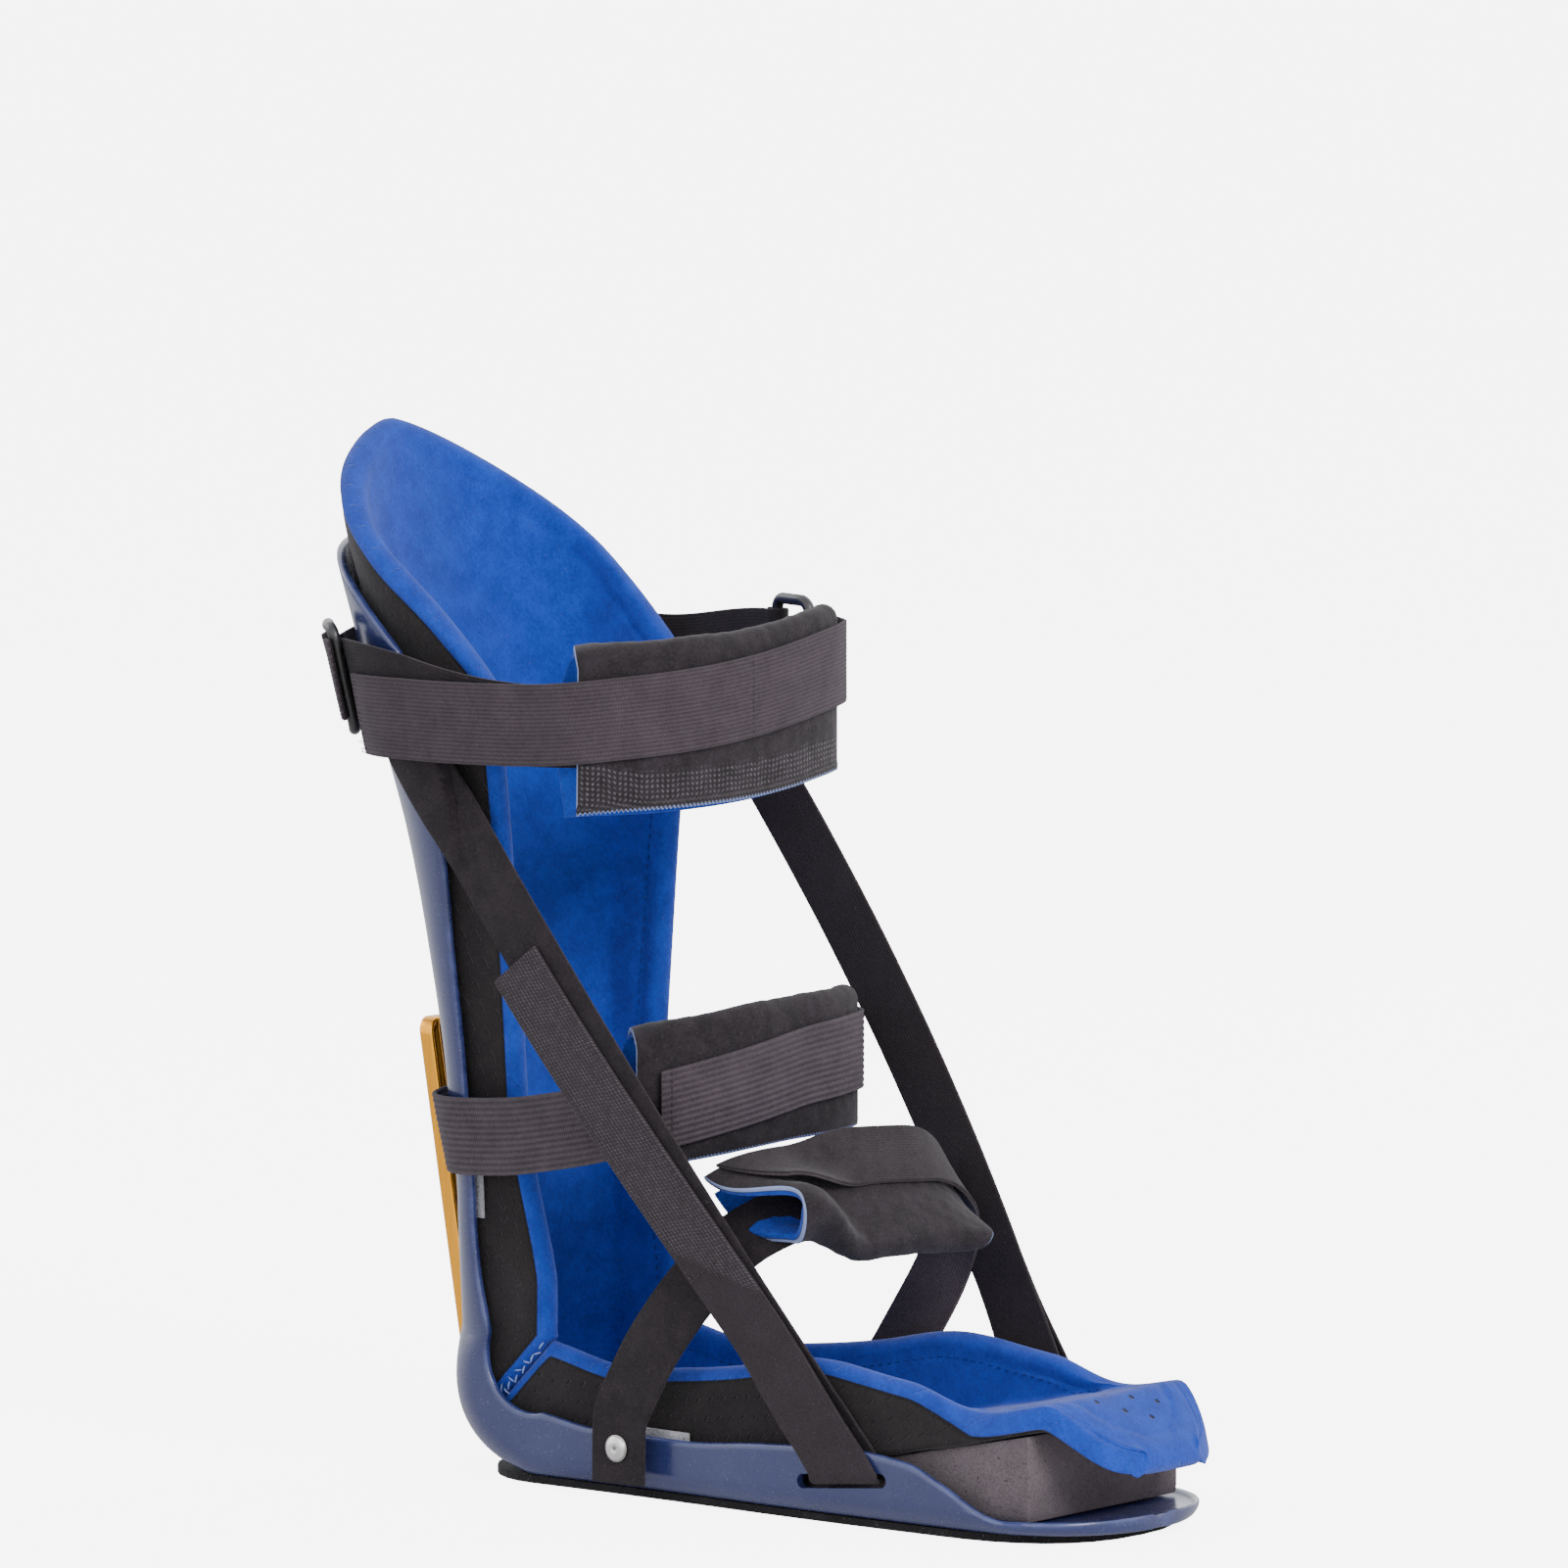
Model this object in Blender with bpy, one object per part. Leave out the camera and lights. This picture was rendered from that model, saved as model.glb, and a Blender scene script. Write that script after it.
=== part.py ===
"""Night splint: a rigid boot-shaped shell with a padded liner, a toe wedge, a metal back bar and padded straps.

Toes point to +X, the wearer's outer side is -Y (near), the inner side is +Y (far) and the sole stands on z = 0.
The origin lies on the sole's underside, below the middle of the heel. Sizes are in millimetres until placed.
"""
import math

import bmesh
import bpy
import numpy as np

MM = 0.001
GAP = 0.35                    # clearance between pieces that rest on each other

# Shell
SHELL_WALL = 3.0
SHELL_HEIGHT = 287.0          # rear top edge above the floor
SHELL_LENGTH = 253.0          # heel to toe tip
HEEL_BACK = 40.5              # origin to the back of the heel
HEEL_HALF_WIDTH = 41.0
CALF_HALF_WIDTH = 60.0
BALL_HALF_WIDTH = 45.0
LEG_SETBACK = 45.0            # how far the top leans back behind the heel
SIDE_WALL = 21.0              # greatest height of the foot's side wall above the plate's underside
TOE_LIP = 4.6                 # height of the rim around the toe
FOOT_CORNER = 6.0             # rounding between foot plate and side wall
TOE_ROUND = 45.0              # length over which the toe is rounded off
TOE_SQUARENESS = 2.5
BEND_X = 8.0                  # inside corner of the L, where leg and foot liner meet
BEND_Z = 46.0
HEEL_SQUARENESS = 2.7
TOP_DROP = 32.0               # how much lower the shell's top edge is at its two front corners

# Sole
SOLE_THICKNESS = 2.4
SOLE_INSET = 5.5
SOLE_BACK = 31.0
SOLE_FRONT_INSET = 7.0

# Liner
LINER_THICKNESS = 8.0
LINER_HEIGHT = 321.0
LINER_LEG_GAP = 2.2           # between leg liner and shell, taken up by the hook tabs
LINER_FOOT_GAP = 2.3          # between foot liner and side wall, where the diagonal straps pass
LINER_TOP_DROP = 76.0
LINER_FRONT = -3.5            # leg liner's front edge
LINER_TOE = 217.0
TOE_DROOP = 15.0
LINER_WALL = 47.5             # top edge of the foot liner at its highest point

# Wedge under the forefoot
WEDGE_BACK = 75.0
WEDGE_FRONT = 191.0
WEDGE_SIDE_INSET = 7.8        # from the shell's outer wall to the wedge's side
WEDGE_SEAT = 0.9              # between the shell's plate and the wedge
WEDGE_HEEL_HEIGHT = 1.6
WEDGE_TOE_HEIGHT = 25.8

# Straps
STRAP_THICKNESS = 1.4
CALF_STRAP = 25.0
ANKLE_STRAP = 24.0
INSTEP_STRAP = 20.0
DIAGONAL_STRAP = 20.0
DIAGONAL_THICKNESS = 1.2

CALF_HEIGHT = 235.0           # middle of the calf strap at the near side
CALF_RISE = 16.0              # how much higher it is at the far ring
CALF_REACH = 83.5             # from the middle of the calf section to the front of the loop
CALF_RING_LIFT = 10.0         # how much higher than the strap's free end the near ring sits
BACK_STRAP_HEIGHT = 246.5
ANKLE_HEIGHT = 106.0
ANKLE_REACH = 74.0
ANKLE_RISE = 26.0
ANKLE_SLACK = 2.4             # how far the ankle strap stands off the shell at the back
INSTEP_HEIGHT = 95.0
INSTEP_REACH = 101.0
INSTEP_MOUTH = 1.4            # how much wider the instep pad's fold opens at its near end, as a share

INSTEP_SLANT = 8.0            # how far the far instep strap's tip lies behind its own line
LAYER_GAP = 0.5               # between the layers of a strap and its pad
CALF_CENTRE = -26.0           # x of the middle of the calf loop
CALF_LEVEL = CALF_HEIGHT + 4  # height at which the calf loop's front outline is measured
CALF_CLEARANCE = DIAGONAL_THICKNESS + 3.2
ANKLE_CENTRE = -7.0
ANKLE_CLEARANCE = 0.05
ANKLE_PEAK_TURN = 28.0
LEG_TO_DIAGONAL = 2.2         # between the leg's side and a diagonal strap

# Turns round the leg in degrees from the front, positive to the far side
NEAR_RING_TURN = -128.5
FAR_RING_TURN = 44.0
FREE_END_TURN = -113.0
CALF_PAD_TURNS = (-41.0, 27.5)
ANKLE_PAD_TURNS = (-37.0, 27.0)
BACK_STRAP_TAIL = 6.0

# Pads round the straps
PAD_THICKNESS = 3.4
CALF_PAD_DROP = 4.5           # below the strap's middle, and as much again towards the far end
ANKLE_PAD_RISE = 3.0          # above the strap's middle at the near end
ANKLE_PAD_FALL = 6.5          # from there to the far end
INSTEP_PAD_AHEAD = 1.5
INSTEP_PAD_SHARES = (0.335, 0.665)
INSTEP_MOUTH_SHARE = 0.12     # of the strap's run, over which the pad's mouth closes
INSTEP_DRAW = 7.5             # how far the front's lower edge is drawn up at the mouth
CALF_PAD_HALF = 25.5
ANKLE_PAD_HALF = 21.5
INSTEP_PAD_HALF = 20.5

# Rings
RING_WIRE = 1.8               # radius of the ring's round bar
RING_WINDOW = 28.0
RING_SPACING = 17.0           # between the middles of its two upright bars
RING_CORNER = 3.2

# Layers, as offsets of their middles from the inner face of the strap that lies on the leg's outline
STRAP_MID = STRAP_THICKNESS / 2
BAR_CLEAR = RING_WIRE + GAP + STRAP_MID      # radius of a strap turned round a ring's bar
RING_OFFSET = STRAP_MID + BAR_CLEAR
PAD_BACK = -LAYER_GAP - PAD_THICKNESS / 2
PAD_FRONT = STRAP_THICKNESS + LAYER_GAP + PAD_THICKNESS / 2
OVER_PAD = PAD_FRONT + PAD_THICKNESS / 2 + LAYER_GAP + STRAP_MID
OVER_STRAP = STRAP_THICKNESS + LAYER_GAP + STRAP_MID

# Slots in the foot's side walls
SLOT_HEIGHT = 4.4
SLOT_LENGTH = 34.0
SLOT_BOTTOM = 11.9
SLOT_SLANT = 5.5              # degrees, rising towards the toes
NEAR_SLOT_X = 127.0
FAR_SLOT_X = 143.0
SLOT_STRAP_AHEAD = 1.5        # how far a strap's middle lies ahead of its slot's middle

# Rivets
RIVET_RADIUS = 4.0
RIVET_HEAD = 1.5
BAR_RIVET_LOW = 31.0          # heights of the two rivets on the bar
BAR_RIVET_HIGH = 52.0
INSTEP_RIVET_SHARE = 0.055    # of the instep strap's run, from either end

# Back bar
BAR_WIDTH = 28.0
BAR_DEPTH = 5.4
BAR_BOTTOM = 23.0
BAR_TOP = 137.0
BAR_LEAN = 0.168              # set-back for each millimetre of height above the heel
BAR_KNEE = 38.0               # height from which the bar leans back
BAR_RIBS = 6                  # on the front face and on the rear face
BAR_RIB_DEPTH = 1.1
BAR_MARGIN = 1.5              # plain strip beside the ribs
BAR_CHAMFER = 0.8

# Hook tabs between liner and shell
TAB_THICKNESS = 0.8
TAB_LENGTH = 18.0
TAB_HEIGHT = 15.0
TAB_SHOWS = 2.0               # how far a foot tab shows above the side wall
FOOT_TAB_X = 55.0
LEG_TAB_HEIGHT = 88.0

PLATE_BOTTOM = SOLE_THICKNESS + GAP
PLATE_TOP = PLATE_BOTTOM + SHELL_WALL
TOE_TIP = SHELL_LENGTH - HEEL_BACK

# Leg sections. height: share of SHELL_HEIGHT; setback: share of LEG_SETBACK; flare: share of the way from heel
# to calf half width; depth: from the back to the front edge, as a share of the half width.
LEG_ROWS = {
    "height": (0.160, 0.233, 0.293, 0.394, 0.453, 0.554, 0.693, 0.777, 0.909, 1.000, 1.130),
    "setback": (0.000, -0.030, -0.035, 0.030, 0.070, 0.180, 0.405, 0.573, 0.820, 1.000, 1.200),
    "flare": (0.000, 0.000, 0.020, 0.090, 0.150, 0.290, 0.500, 0.660, 0.880, 1.000, 1.060),
    "depth": (0.680, 0.536, 0.496, 0.514, 0.528, 0.572, 0.693, 0.720, 0.724, 0.742, 0.752),
}
# Foot sections. along: share of the way from the bend to the toe tip; width: share of BALL_HALF_WIDTH;
# wall: share of SIDE_WALL.
FOOT_ROWS = {
    "along": (0.00, 0.10, 0.27, 0.43, 0.60, 0.70, 0.76, 0.87, 1.00),
    "width": (0.911, 0.915, 0.940, 0.980, 1.00, 1.00, 1.00, 1.00, 1.00),
    "wall": (0.97, 0.83, 0.81, 0.93, 1.00, 0.90, 0.66, 0.22, 0.22),
}
# Foot liner's top edge. along: share of the way from the bend to the liner's toe; rim: share of LINER_WALL.
LINER_RIM_ROWS = {
    "along": (0.00, 0.126, 0.263, 0.34, 0.50, 0.624, 0.722, 0.88, 1.00),
    "rim": (0.92, 0.82, 0.87, 0.915, 1.03, 0.965, 0.91, 0.84, 0.84),
}
# Calf and ankle loops in plan, from the front (0 degrees) to both sides; reach is a share of the loop's reach.
CALF_LOOP_ROWS = {
    "turn": (-90.0, -58.0, -39.0, -20.0, 0.0, 15.7, 24.7, 29.5, 34.0, 42.0, 52.6, 70.7, 90.0),
    "reach": (None, 0.790, 0.893, 0.946, 0.967, 1.020, 1.057, 1.066, 1.027, 0.918, 0.840, 0.745, None),
}
ANKLE_LOOP_ROWS = {
    "turn": (-90.0, -70.7, -47.5, -30.1, -11.2, 3.6, 17.0, 26.0, 32.0, 47.1, 71.0, 90.0),
    "reach": (None, 0.627, 0.797, 0.885, 0.955, 0.988, 1.058, 1.080, 1.035, 0.800, 0.630, None),
}
# Height of the calf strap round its loop; rise: share of CALF_RISE.
CALF_LEVEL_ROWS = {
    "turn": (-180.0, -120.0, -58.0, -30.0, 0.0, 27.0, 44.0, 90.0, 180.0),
    "rise": (0.60, 0.00, 0.00, 0.20, 0.50, 0.90, 1.00, 0.95, 0.60),
}
# Instep strap from the near anchor over the foot to the far anchor. across: share of BALL_HALF_WIDTH;
# forward: share of INSTEP_REACH; up: share of INSTEP_HEIGHT; tilt: slope of the strap's width in degrees.
INSTEP_ROWS = {
    "across": (-1.055, -1.050, -1.030, -0.970, -0.800, -0.440, 0.000, 0.470, 0.820, 0.950, 0.975, 1.040, 1.055),
    "forward": (0.440, 0.440, 0.515, 0.655, 0.815, 0.930, 0.990, 1.035, 1.045, 0.945, 0.790, 0.655, 0.625),
    "up": (0.060, 0.235, 0.430, 0.660, 0.860, 0.955, 1.000, 0.985, 0.880, 0.660, 0.400, 0.200, 0.060),
    "tilt": (2.0, 8.0, 18.0, 24.0, 29.0, 42.0, 50.0, 50.0, 44.0, 32.0, 18.0, 8.0, 2.0),
}
# Diagonal straps. top: x, height and half width of the upper end; slot: x of the slot's middle; bow and bulge: how
# far the middle bends forward and outward; end: height of the outer layer's end; shift: how far back it lies there.
DIAGONAL_ROWS = {
    "name": ("diagonal_strap_near", "diagonal_strap_far"),
    "side": (-1, 1),
    "top": ((-39.0, CALF_HEIGHT, 51.0), (1.0, CALF_HEIGHT + CALF_RISE - 10, 51.9)),
    "slot": (NEAR_SLOT_X, FAR_SLOT_X),
    "bow": (0.0, 5.0),
    "bulge": (5.0, 8.5),
    "end": (162.0, 88.0),
    "shift": (8.0, 2.0),
}


def clear_scene():
    """Removes every object that the file starts with."""
    for item in list(bpy.data.objects):
        bpy.data.objects.remove(item)


def material(name, colour, roughness, metallic=0.0):
    """A Principled BSDF material of one colour."""
    made = bpy.data.materials.new(name)
    made.use_nodes = True
    shader = made.node_tree.nodes["Principled BSDF"]
    shader.inputs["Base Color"].default_value = (*colour, 1.0)
    shader.inputs["Roughness"].default_value = roughness
    shader.inputs["Metallic"].default_value = metallic
    return made


def smooth(rows_x, rows_y, x):
    """Value at x of the smooth curve through the rows (cubic pieces whose slopes never overshoot)."""
    rows_x = np.asarray(rows_x, float)
    rows_y = np.asarray(rows_y, float)
    step = np.diff(rows_x)
    chord = np.diff(rows_y) / step
    slope = np.zeros(len(rows_x))
    same_way = chord[1:] * chord[:-1] > 0
    mean = 2 * chord[1:] * chord[:-1] / np.where(same_way, chord[1:] + chord[:-1], 1)
    slope[1:-1] = np.where(same_way, mean, 0)
    slope[0], slope[-1] = chord[0], chord[-1]
    x = np.clip(np.asarray(x, float), rows_x[0], rows_x[-1])
    k = np.clip(np.searchsorted(rows_x, x, side="right") - 1, 0, len(step) - 1)
    t = (x - rows_x[k]) / step[k]
    start = (1 + 2 * t) * (1 - t) ** 2 * rows_y[k] + t * (1 - t) ** 2 * slope[k] * step[k]
    end = t * t * (3 - 2 * t) * rows_y[k + 1] + t * t * (t - 1) * slope[k + 1] * step[k]
    return start + end


def ease(value, low, high):
    """0 below low, 1 above high and a smooth step between."""
    t = np.clip((np.asarray(value, float) - low) / (high - low), 0, 1)
    return t * t * (3 - 2 * t)


def leg_section(z):
    """The leg's half-oval outer section at height z: back x, front-edge x and half width at the front edge."""
    share = np.asarray(z, float) / SHELL_HEIGHT
    row = LEG_ROWS["height"]
    back = -HEEL_BACK - LEG_SETBACK * smooth(row, LEG_ROWS["setback"], share)
    flare = smooth(row, LEG_ROWS["flare"], share)
    half_width = HEEL_HALF_WIDTH + (CALF_HALF_WIDTH - HEEL_HALF_WIDTH) * flare
    return back, back + half_width * smooth(row, LEG_ROWS["depth"], share), half_width


def toe_width(x, tip, length):
    """Share of the width left at x where an outline is rounded off towards its tip (a flattened oval)."""
    t = np.clip((np.asarray(x, float) - (tip - length)) / length, 0, 1)
    return (1 - t ** TOE_SQUARENESS) ** (1 / TOE_SQUARENESS)


def foot_section(x):
    """Outer section of the shell's foot at x: half width and height of the side wall's rim above the floor."""
    share = (np.asarray(x, float) - BEND_X) / (TOE_TIP - BEND_X)
    half_width = BALL_HALF_WIDTH * smooth(FOOT_ROWS["along"], FOOT_ROWS["width"], share)
    wall = SIDE_WALL * smooth(FOOT_ROWS["along"], FOOT_ROWS["wall"], share)
    return half_width, PLATE_BOTTOM + np.maximum(wall, TOE_LIP)


def u_section(half_width, corner, bottom, depth, rim, share, snap=0.0):
    """Point (across, outward) of a U-shaped section: flat bottom, quarter-oval corner and straight wall.

    share runs from -1 at one rim through 0 in the middle of the bottom to 1 at the other rim, by length; with
    snap 1 its columns meet the ends of the corner, however long the flat and the wall are.
    """
    steps = 24
    half_width, corner, bottom, depth, rim, share, snap = np.broadcast_arrays(
        *(np.asarray(v, float) for v in (half_width, corner, bottom, depth, rim, share, snap)))
    middle = bottom - depth
    end = np.arccos(np.clip((rim - middle) / depth, 0, 1))
    angle = end[..., None] * np.linspace(0, 1, steps)
    flat = np.maximum(half_width - corner, 0)[..., None]
    across = flat + corner[..., None] * np.sin(angle)
    outward = middle[..., None] + depth[..., None] * np.cos(angle)
    wall = np.minimum(rim, outward[..., -1])
    across = np.concatenate([np.zeros_like(flat), across, across[..., -1:]], axis=-1)
    outward = np.concatenate([bottom[..., None], outward, wall[..., None]], axis=-1)
    length = np.hypot(np.diff(across), np.diff(outward))
    run = np.concatenate([np.zeros_like(flat), np.cumsum(length, axis=-1)], axis=-1)
    size = np.abs(share)
    by_part = np.where(size < 0.4, run[..., 1] * size / 0.4, np.where(
        size < 0.7, run[..., 1] + (run[..., -2] - run[..., 1]) * (size - 0.4) / 0.3,
        run[..., -2] + (run[..., -1] - run[..., -2]) * (size - 0.7) / 0.3))
    target = ((1 - snap) * size * run[..., -1] + snap * by_part)[..., None]
    k = np.clip((run < target - 1e-9).sum(axis=-1, keepdims=True) - 1, 0, steps)
    pick = [np.take_along_axis(a, k + i, axis=-1)[..., 0] for a in (across, outward, run) for i in (0, 1)]
    t = (target[..., 0] - pick[4]) / np.maximum(pick[5] - pick[4], 1e-9)
    y = pick[0] + (pick[1] - pick[0]) * t
    return np.sign(share) * y, pick[2] + (pick[3] - pick[2]) * t


def slab(name, outer, inner, finish, close=False):
    """A closed body between two grids of points (rows x columns), optionally closed along its rows."""
    rows, columns = outer.shape[:2]
    points = np.concatenate([outer.reshape(-1, 3), inner.reshape(-1, 3)]) * MM
    base = rows * columns
    faces = []
    last = rows if close else rows - 1
    for i in range(last):
        n = (i + 1) % rows
        for j in range(columns - 1):
            a, b = i * columns + j, n * columns + j
            faces.append((a, b, b + 1, a + 1))
            faces.append((base + a, base + a + 1, base + b + 1, base + b))
        for j in (0, columns - 1):
            a, b = i * columns + j, n * columns + j
            faces.append((a, base + a, base + b, b))
    if not close:
        for i in (0, rows - 1):
            for j in range(columns - 1):
                a = i * columns + j
                faces.append((a, a + 1, base + a + 1, base + a))
    return solid(name, points.tolist(), faces, finish)


def solid(name, points, faces, finish):
    """An object from points in metres and faces, with its faces turned outward and its rounds shaded smooth."""
    mesh = bpy.data.meshes.new(name)
    mesh.from_pydata(points, [], faces)
    tidy = bmesh.new()
    tidy.from_mesh(mesh)
    bmesh.ops.recalc_face_normals(tidy, faces=tidy.faces)
    tidy.to_mesh(mesh)
    tidy.free()
    mesh.shade_smooth()
    mesh.set_sharp_from_angle(angle=math.radians(40))
    mesh.materials.append(finish)
    made = bpy.data.objects.new(name, mesh)
    bpy.context.scene.collection.objects.link(made)
    return made


def ribbon(name, grid, thickness, finish):
    """A strap or sheet: a Solidify modifier thickens the grid of its middle surface."""
    rows, columns = grid.shape[:2]
    faces = [(i * columns + j, (i + 1) * columns + j, (i + 1) * columns + j + 1, i * columns + j + 1)
             for i in range(rows - 1) for j in range(columns - 1)]
    mesh = bpy.data.meshes.new(name)
    mesh.from_pydata((grid.reshape(-1, 3) * MM).tolist(), [], faces)
    mesh.shade_smooth()
    mesh.materials.append(finish)
    made = bpy.data.objects.new(name, mesh)
    bpy.context.scene.collection.objects.link(made)
    thick = made.modifiers.new("thickness", "SOLIDIFY")
    thick.thickness = thickness * MM
    thick.offset = 0.0
    thick.use_even_offset = True
    return made


# The L-shaped run of sections: v < 0 is height above the bend, 0 to 90 the turn in degrees, above 90 the foot.

def place(v, y, outward, bend_x=BEND_X, bend_z=BEND_Z):
    """Point of a section at v from its across and outward coordinates, measured from the bend's corner."""
    turn = np.radians(np.clip(v, 0, 90))
    x = bend_x + np.maximum(v - 90, 0) - np.cos(turn) * outward
    z = bend_z + np.maximum(-v, 0) - np.sin(turn) * outward
    return np.stack(np.broadcast_arrays(x, y, z), axis=-1)


def shell_size(v):
    """Half width, corner, bottom, depth and rim of the shell's outer section at v."""
    back, front_edge, leg_width = leg_section(BEND_Z + np.maximum(-v, 0))
    x = BEND_X + np.maximum(v - 90, 0)
    foot_width, rim_height = foot_section(x)
    leg_bottom = BEND_X - back
    foot_bottom = BEND_Z - PLATE_BOTTOM
    turn = np.radians(np.clip(v, 0, 90))
    power = HEEL_SQUARENESS
    heel = ((np.cos(turn) / leg_bottom) ** power + (np.sin(turn) / foot_bottom) ** power) ** (-1 / power)
    blend = ease(v, 0, 90)
    turned = np.clip(v / 80, 0, 1)
    half_width = np.where(v <= 0, leg_width, foot_width * blend + leg_width * (1 - blend))
    corner = half_width * (1 - turned) + FOOT_CORNER * turned
    depth = (front_edge - back) * (1 - turned) + 1.2 * FOOT_CORNER * turned
    rim = (BEND_X - front_edge) * (1 - blend) + (BEND_Z - rim_height) * blend + 3 * np.sin(2 * turn)
    return half_width, corner, heel, depth, rim


def snap_at(v):
    """How far a section's columns are tied to its corners: not in the leg, fully in the foot."""
    return ease(v, 10, 80)


def shell_surface(v, share, inset):
    """Point of the shell's surface at v and share of the way to the rim, inset from its outer face."""
    half_width, corner, bottom, depth, rim = shell_size(v)
    toe = toe_width(BEND_X + v - 90, TOE_TIP, TOE_ROUND) * np.where(v > 90, 1, 0) + np.where(v > 90, 0, 1)
    half_width = np.maximum(half_width * toe - inset, 0.5)
    corner = np.minimum(np.maximum(corner - inset, 1.0), half_width)
    # Near the toe tip the plate rises to the lip, which closes the rim across the front.
    lip = ease(BEND_X + v - 90, TOE_TIP - 7, TOE_TIP - 3)
    floor = (bottom - inset) * (1 - lip) + (rim + 0.6) * lip if inset > 0 else bottom
    depth = np.minimum(np.maximum(depth - inset, 1.0), np.maximum(floor - rim, 0.3))
    return u_section(half_width, corner, floor, depth, rim, share, snap_at(v))


def leg_stations(top, count):
    """Section positions up the leg, from the top edge down to the bend."""
    return -np.linspace(top - BEND_Z, 0, count, endpoint=False)


def toe_stations(start, tip, length, count, last=0.995):
    """Section positions along the foot that close up towards the rounded toe."""
    straight = np.linspace(start, tip - length, count, endpoint=False)
    rounded = tip - length + length * last * np.sin(np.linspace(0, math.pi / 2, 8))
    return 90 + np.concatenate([straight, rounded]) - BEND_X


def lowered(v, share, top, drop, power, start):
    """v with the leg's upper sections lowered towards the front edge, by drop at the top edge."""
    height = BEND_Z + np.maximum(-v, 0)
    lift = np.clip((height - start) / (top - start), 0, 1) ** 1.5
    return v + drop * np.abs(share) ** power * lift


def build_shell(finish):
    """The boot-shaped plastic shell: leg trough, rounded heel and foot plate with side walls, with strap slots."""
    v = np.concatenate([leg_stations(SHELL_HEIGHT, 11), np.linspace(0, 90, 8),
                        toe_stations(BEND_X + 10, TOE_TIP, TOE_ROUND, 8)])
    share = np.linspace(-1, 1, 21)
    vv, ss = np.meshgrid(v, share, indexing="ij")
    vv = lowered(vv, ss, SHELL_HEIGHT, TOP_DROP, 3.2, CALF_HEIGHT - 60)
    faces = [place(vv, *shell_surface(vv, ss, inset)) for inset in (0.0, SHELL_WALL)]
    shell = slab("shell", faces[0], faces[1], finish)
    for side, x in ((-1, NEAR_SLOT_X), (1, FAR_SLOT_X)):
        half_width, _ = foot_section(x)
        size = (SLOT_LENGTH, 5 * SHELL_WALL, SLOT_HEIGHT)
        middle = (x, side * (half_width - SHELL_WALL / 2), SLOT_BOTTOM + SLOT_HEIGHT / 2)
        cutter = block("slot_cutter", size, middle, finish, 1.2)
        cutter.rotation_euler.y = -math.radians(SLOT_SLANT)
        cutter.hide_render = True
        cutter.display_type = "WIRE"
        cut = shell.modifiers.new("slot", "BOOLEAN")
        cut.operation = "DIFFERENCE"
        cut.object = cutter
    return shell


def block(name, size, middle, finish, rounding=0.0):
    """A box of the given size, its edges rounded by a Bevel modifier."""
    mesh = bpy.data.meshes.new(name)
    shape = bmesh.new()
    bmesh.ops.create_cube(shape, size=1.0)
    bmesh.ops.scale(shape, vec=[s * MM for s in size], verts=shape.verts)
    shape.to_mesh(mesh)
    shape.free()
    mesh.materials.append(finish)
    made = bpy.data.objects.new(name, mesh)
    made.location = [m * MM for m in middle]
    bpy.context.scene.collection.objects.link(made)
    if rounding:
        bevel = made.modifiers.new("rounding", "BEVEL")
        bevel.width = rounding * MM
        bevel.segments = 2
    return made


def build_sole(finish):
    """The rubber sole under the foot plate, its outline inside the shell's."""
    tip = TOE_TIP - SOLE_FRONT_INSET
    angle = np.linspace(0, math.pi / 2, 9)
    heel_width = HEEL_HALF_WIDTH - SOLE_INSET
    front = np.concatenate([np.linspace(20, tip - 45, 8, endpoint=False), tip - 45 + 45 * np.sin(angle)])
    half = (foot_section(front)[0] - SOLE_INSET) * toe_width(front, tip, 45)
    side = [(x, w) for x, w in zip(front, np.maximum(half, 0.0))]
    heel = [(-SOLE_BACK * math.cos(a), heel_width * math.sin(a)) for a in angle]
    outline = heel + side
    outline += [(x, -w) for x, w in reversed(outline[1:-1])]
    shape = bmesh.new()
    face = shape.faces.new([shape.verts.new((x * MM, y * MM, 0.0)) for x, y in outline])
    raised = bmesh.ops.extrude_face_region(shape, geom=[face])["geom"]
    moved = [v for v in raised if isinstance(v, bmesh.types.BMVert)]
    bmesh.ops.translate(shape, vec=(0, 0, SOLE_THICKNESS * MM), verts=moved)
    bmesh.ops.recalc_face_normals(shape, faces=shape.faces)
    mesh = bpy.data.meshes.new("sole")
    shape.to_mesh(mesh)
    shape.free()
    mesh.materials.append(finish)
    made = bpy.data.objects.new("sole", mesh)
    bpy.context.scene.collection.objects.link(made)
    return made


def wedge_top(x):
    """Height of the wedge's sloping top above the floor at x, with its line carried on past both ends."""
    rise = (WEDGE_TOE_HEIGHT - WEDGE_HEEL_HEIGHT) / (WEDGE_FRONT - WEDGE_BACK)
    return PLATE_TOP + WEDGE_SEAT + WEDGE_HEEL_HEIGHT + rise * (np.asarray(x, float) - WEDGE_BACK)


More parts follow.
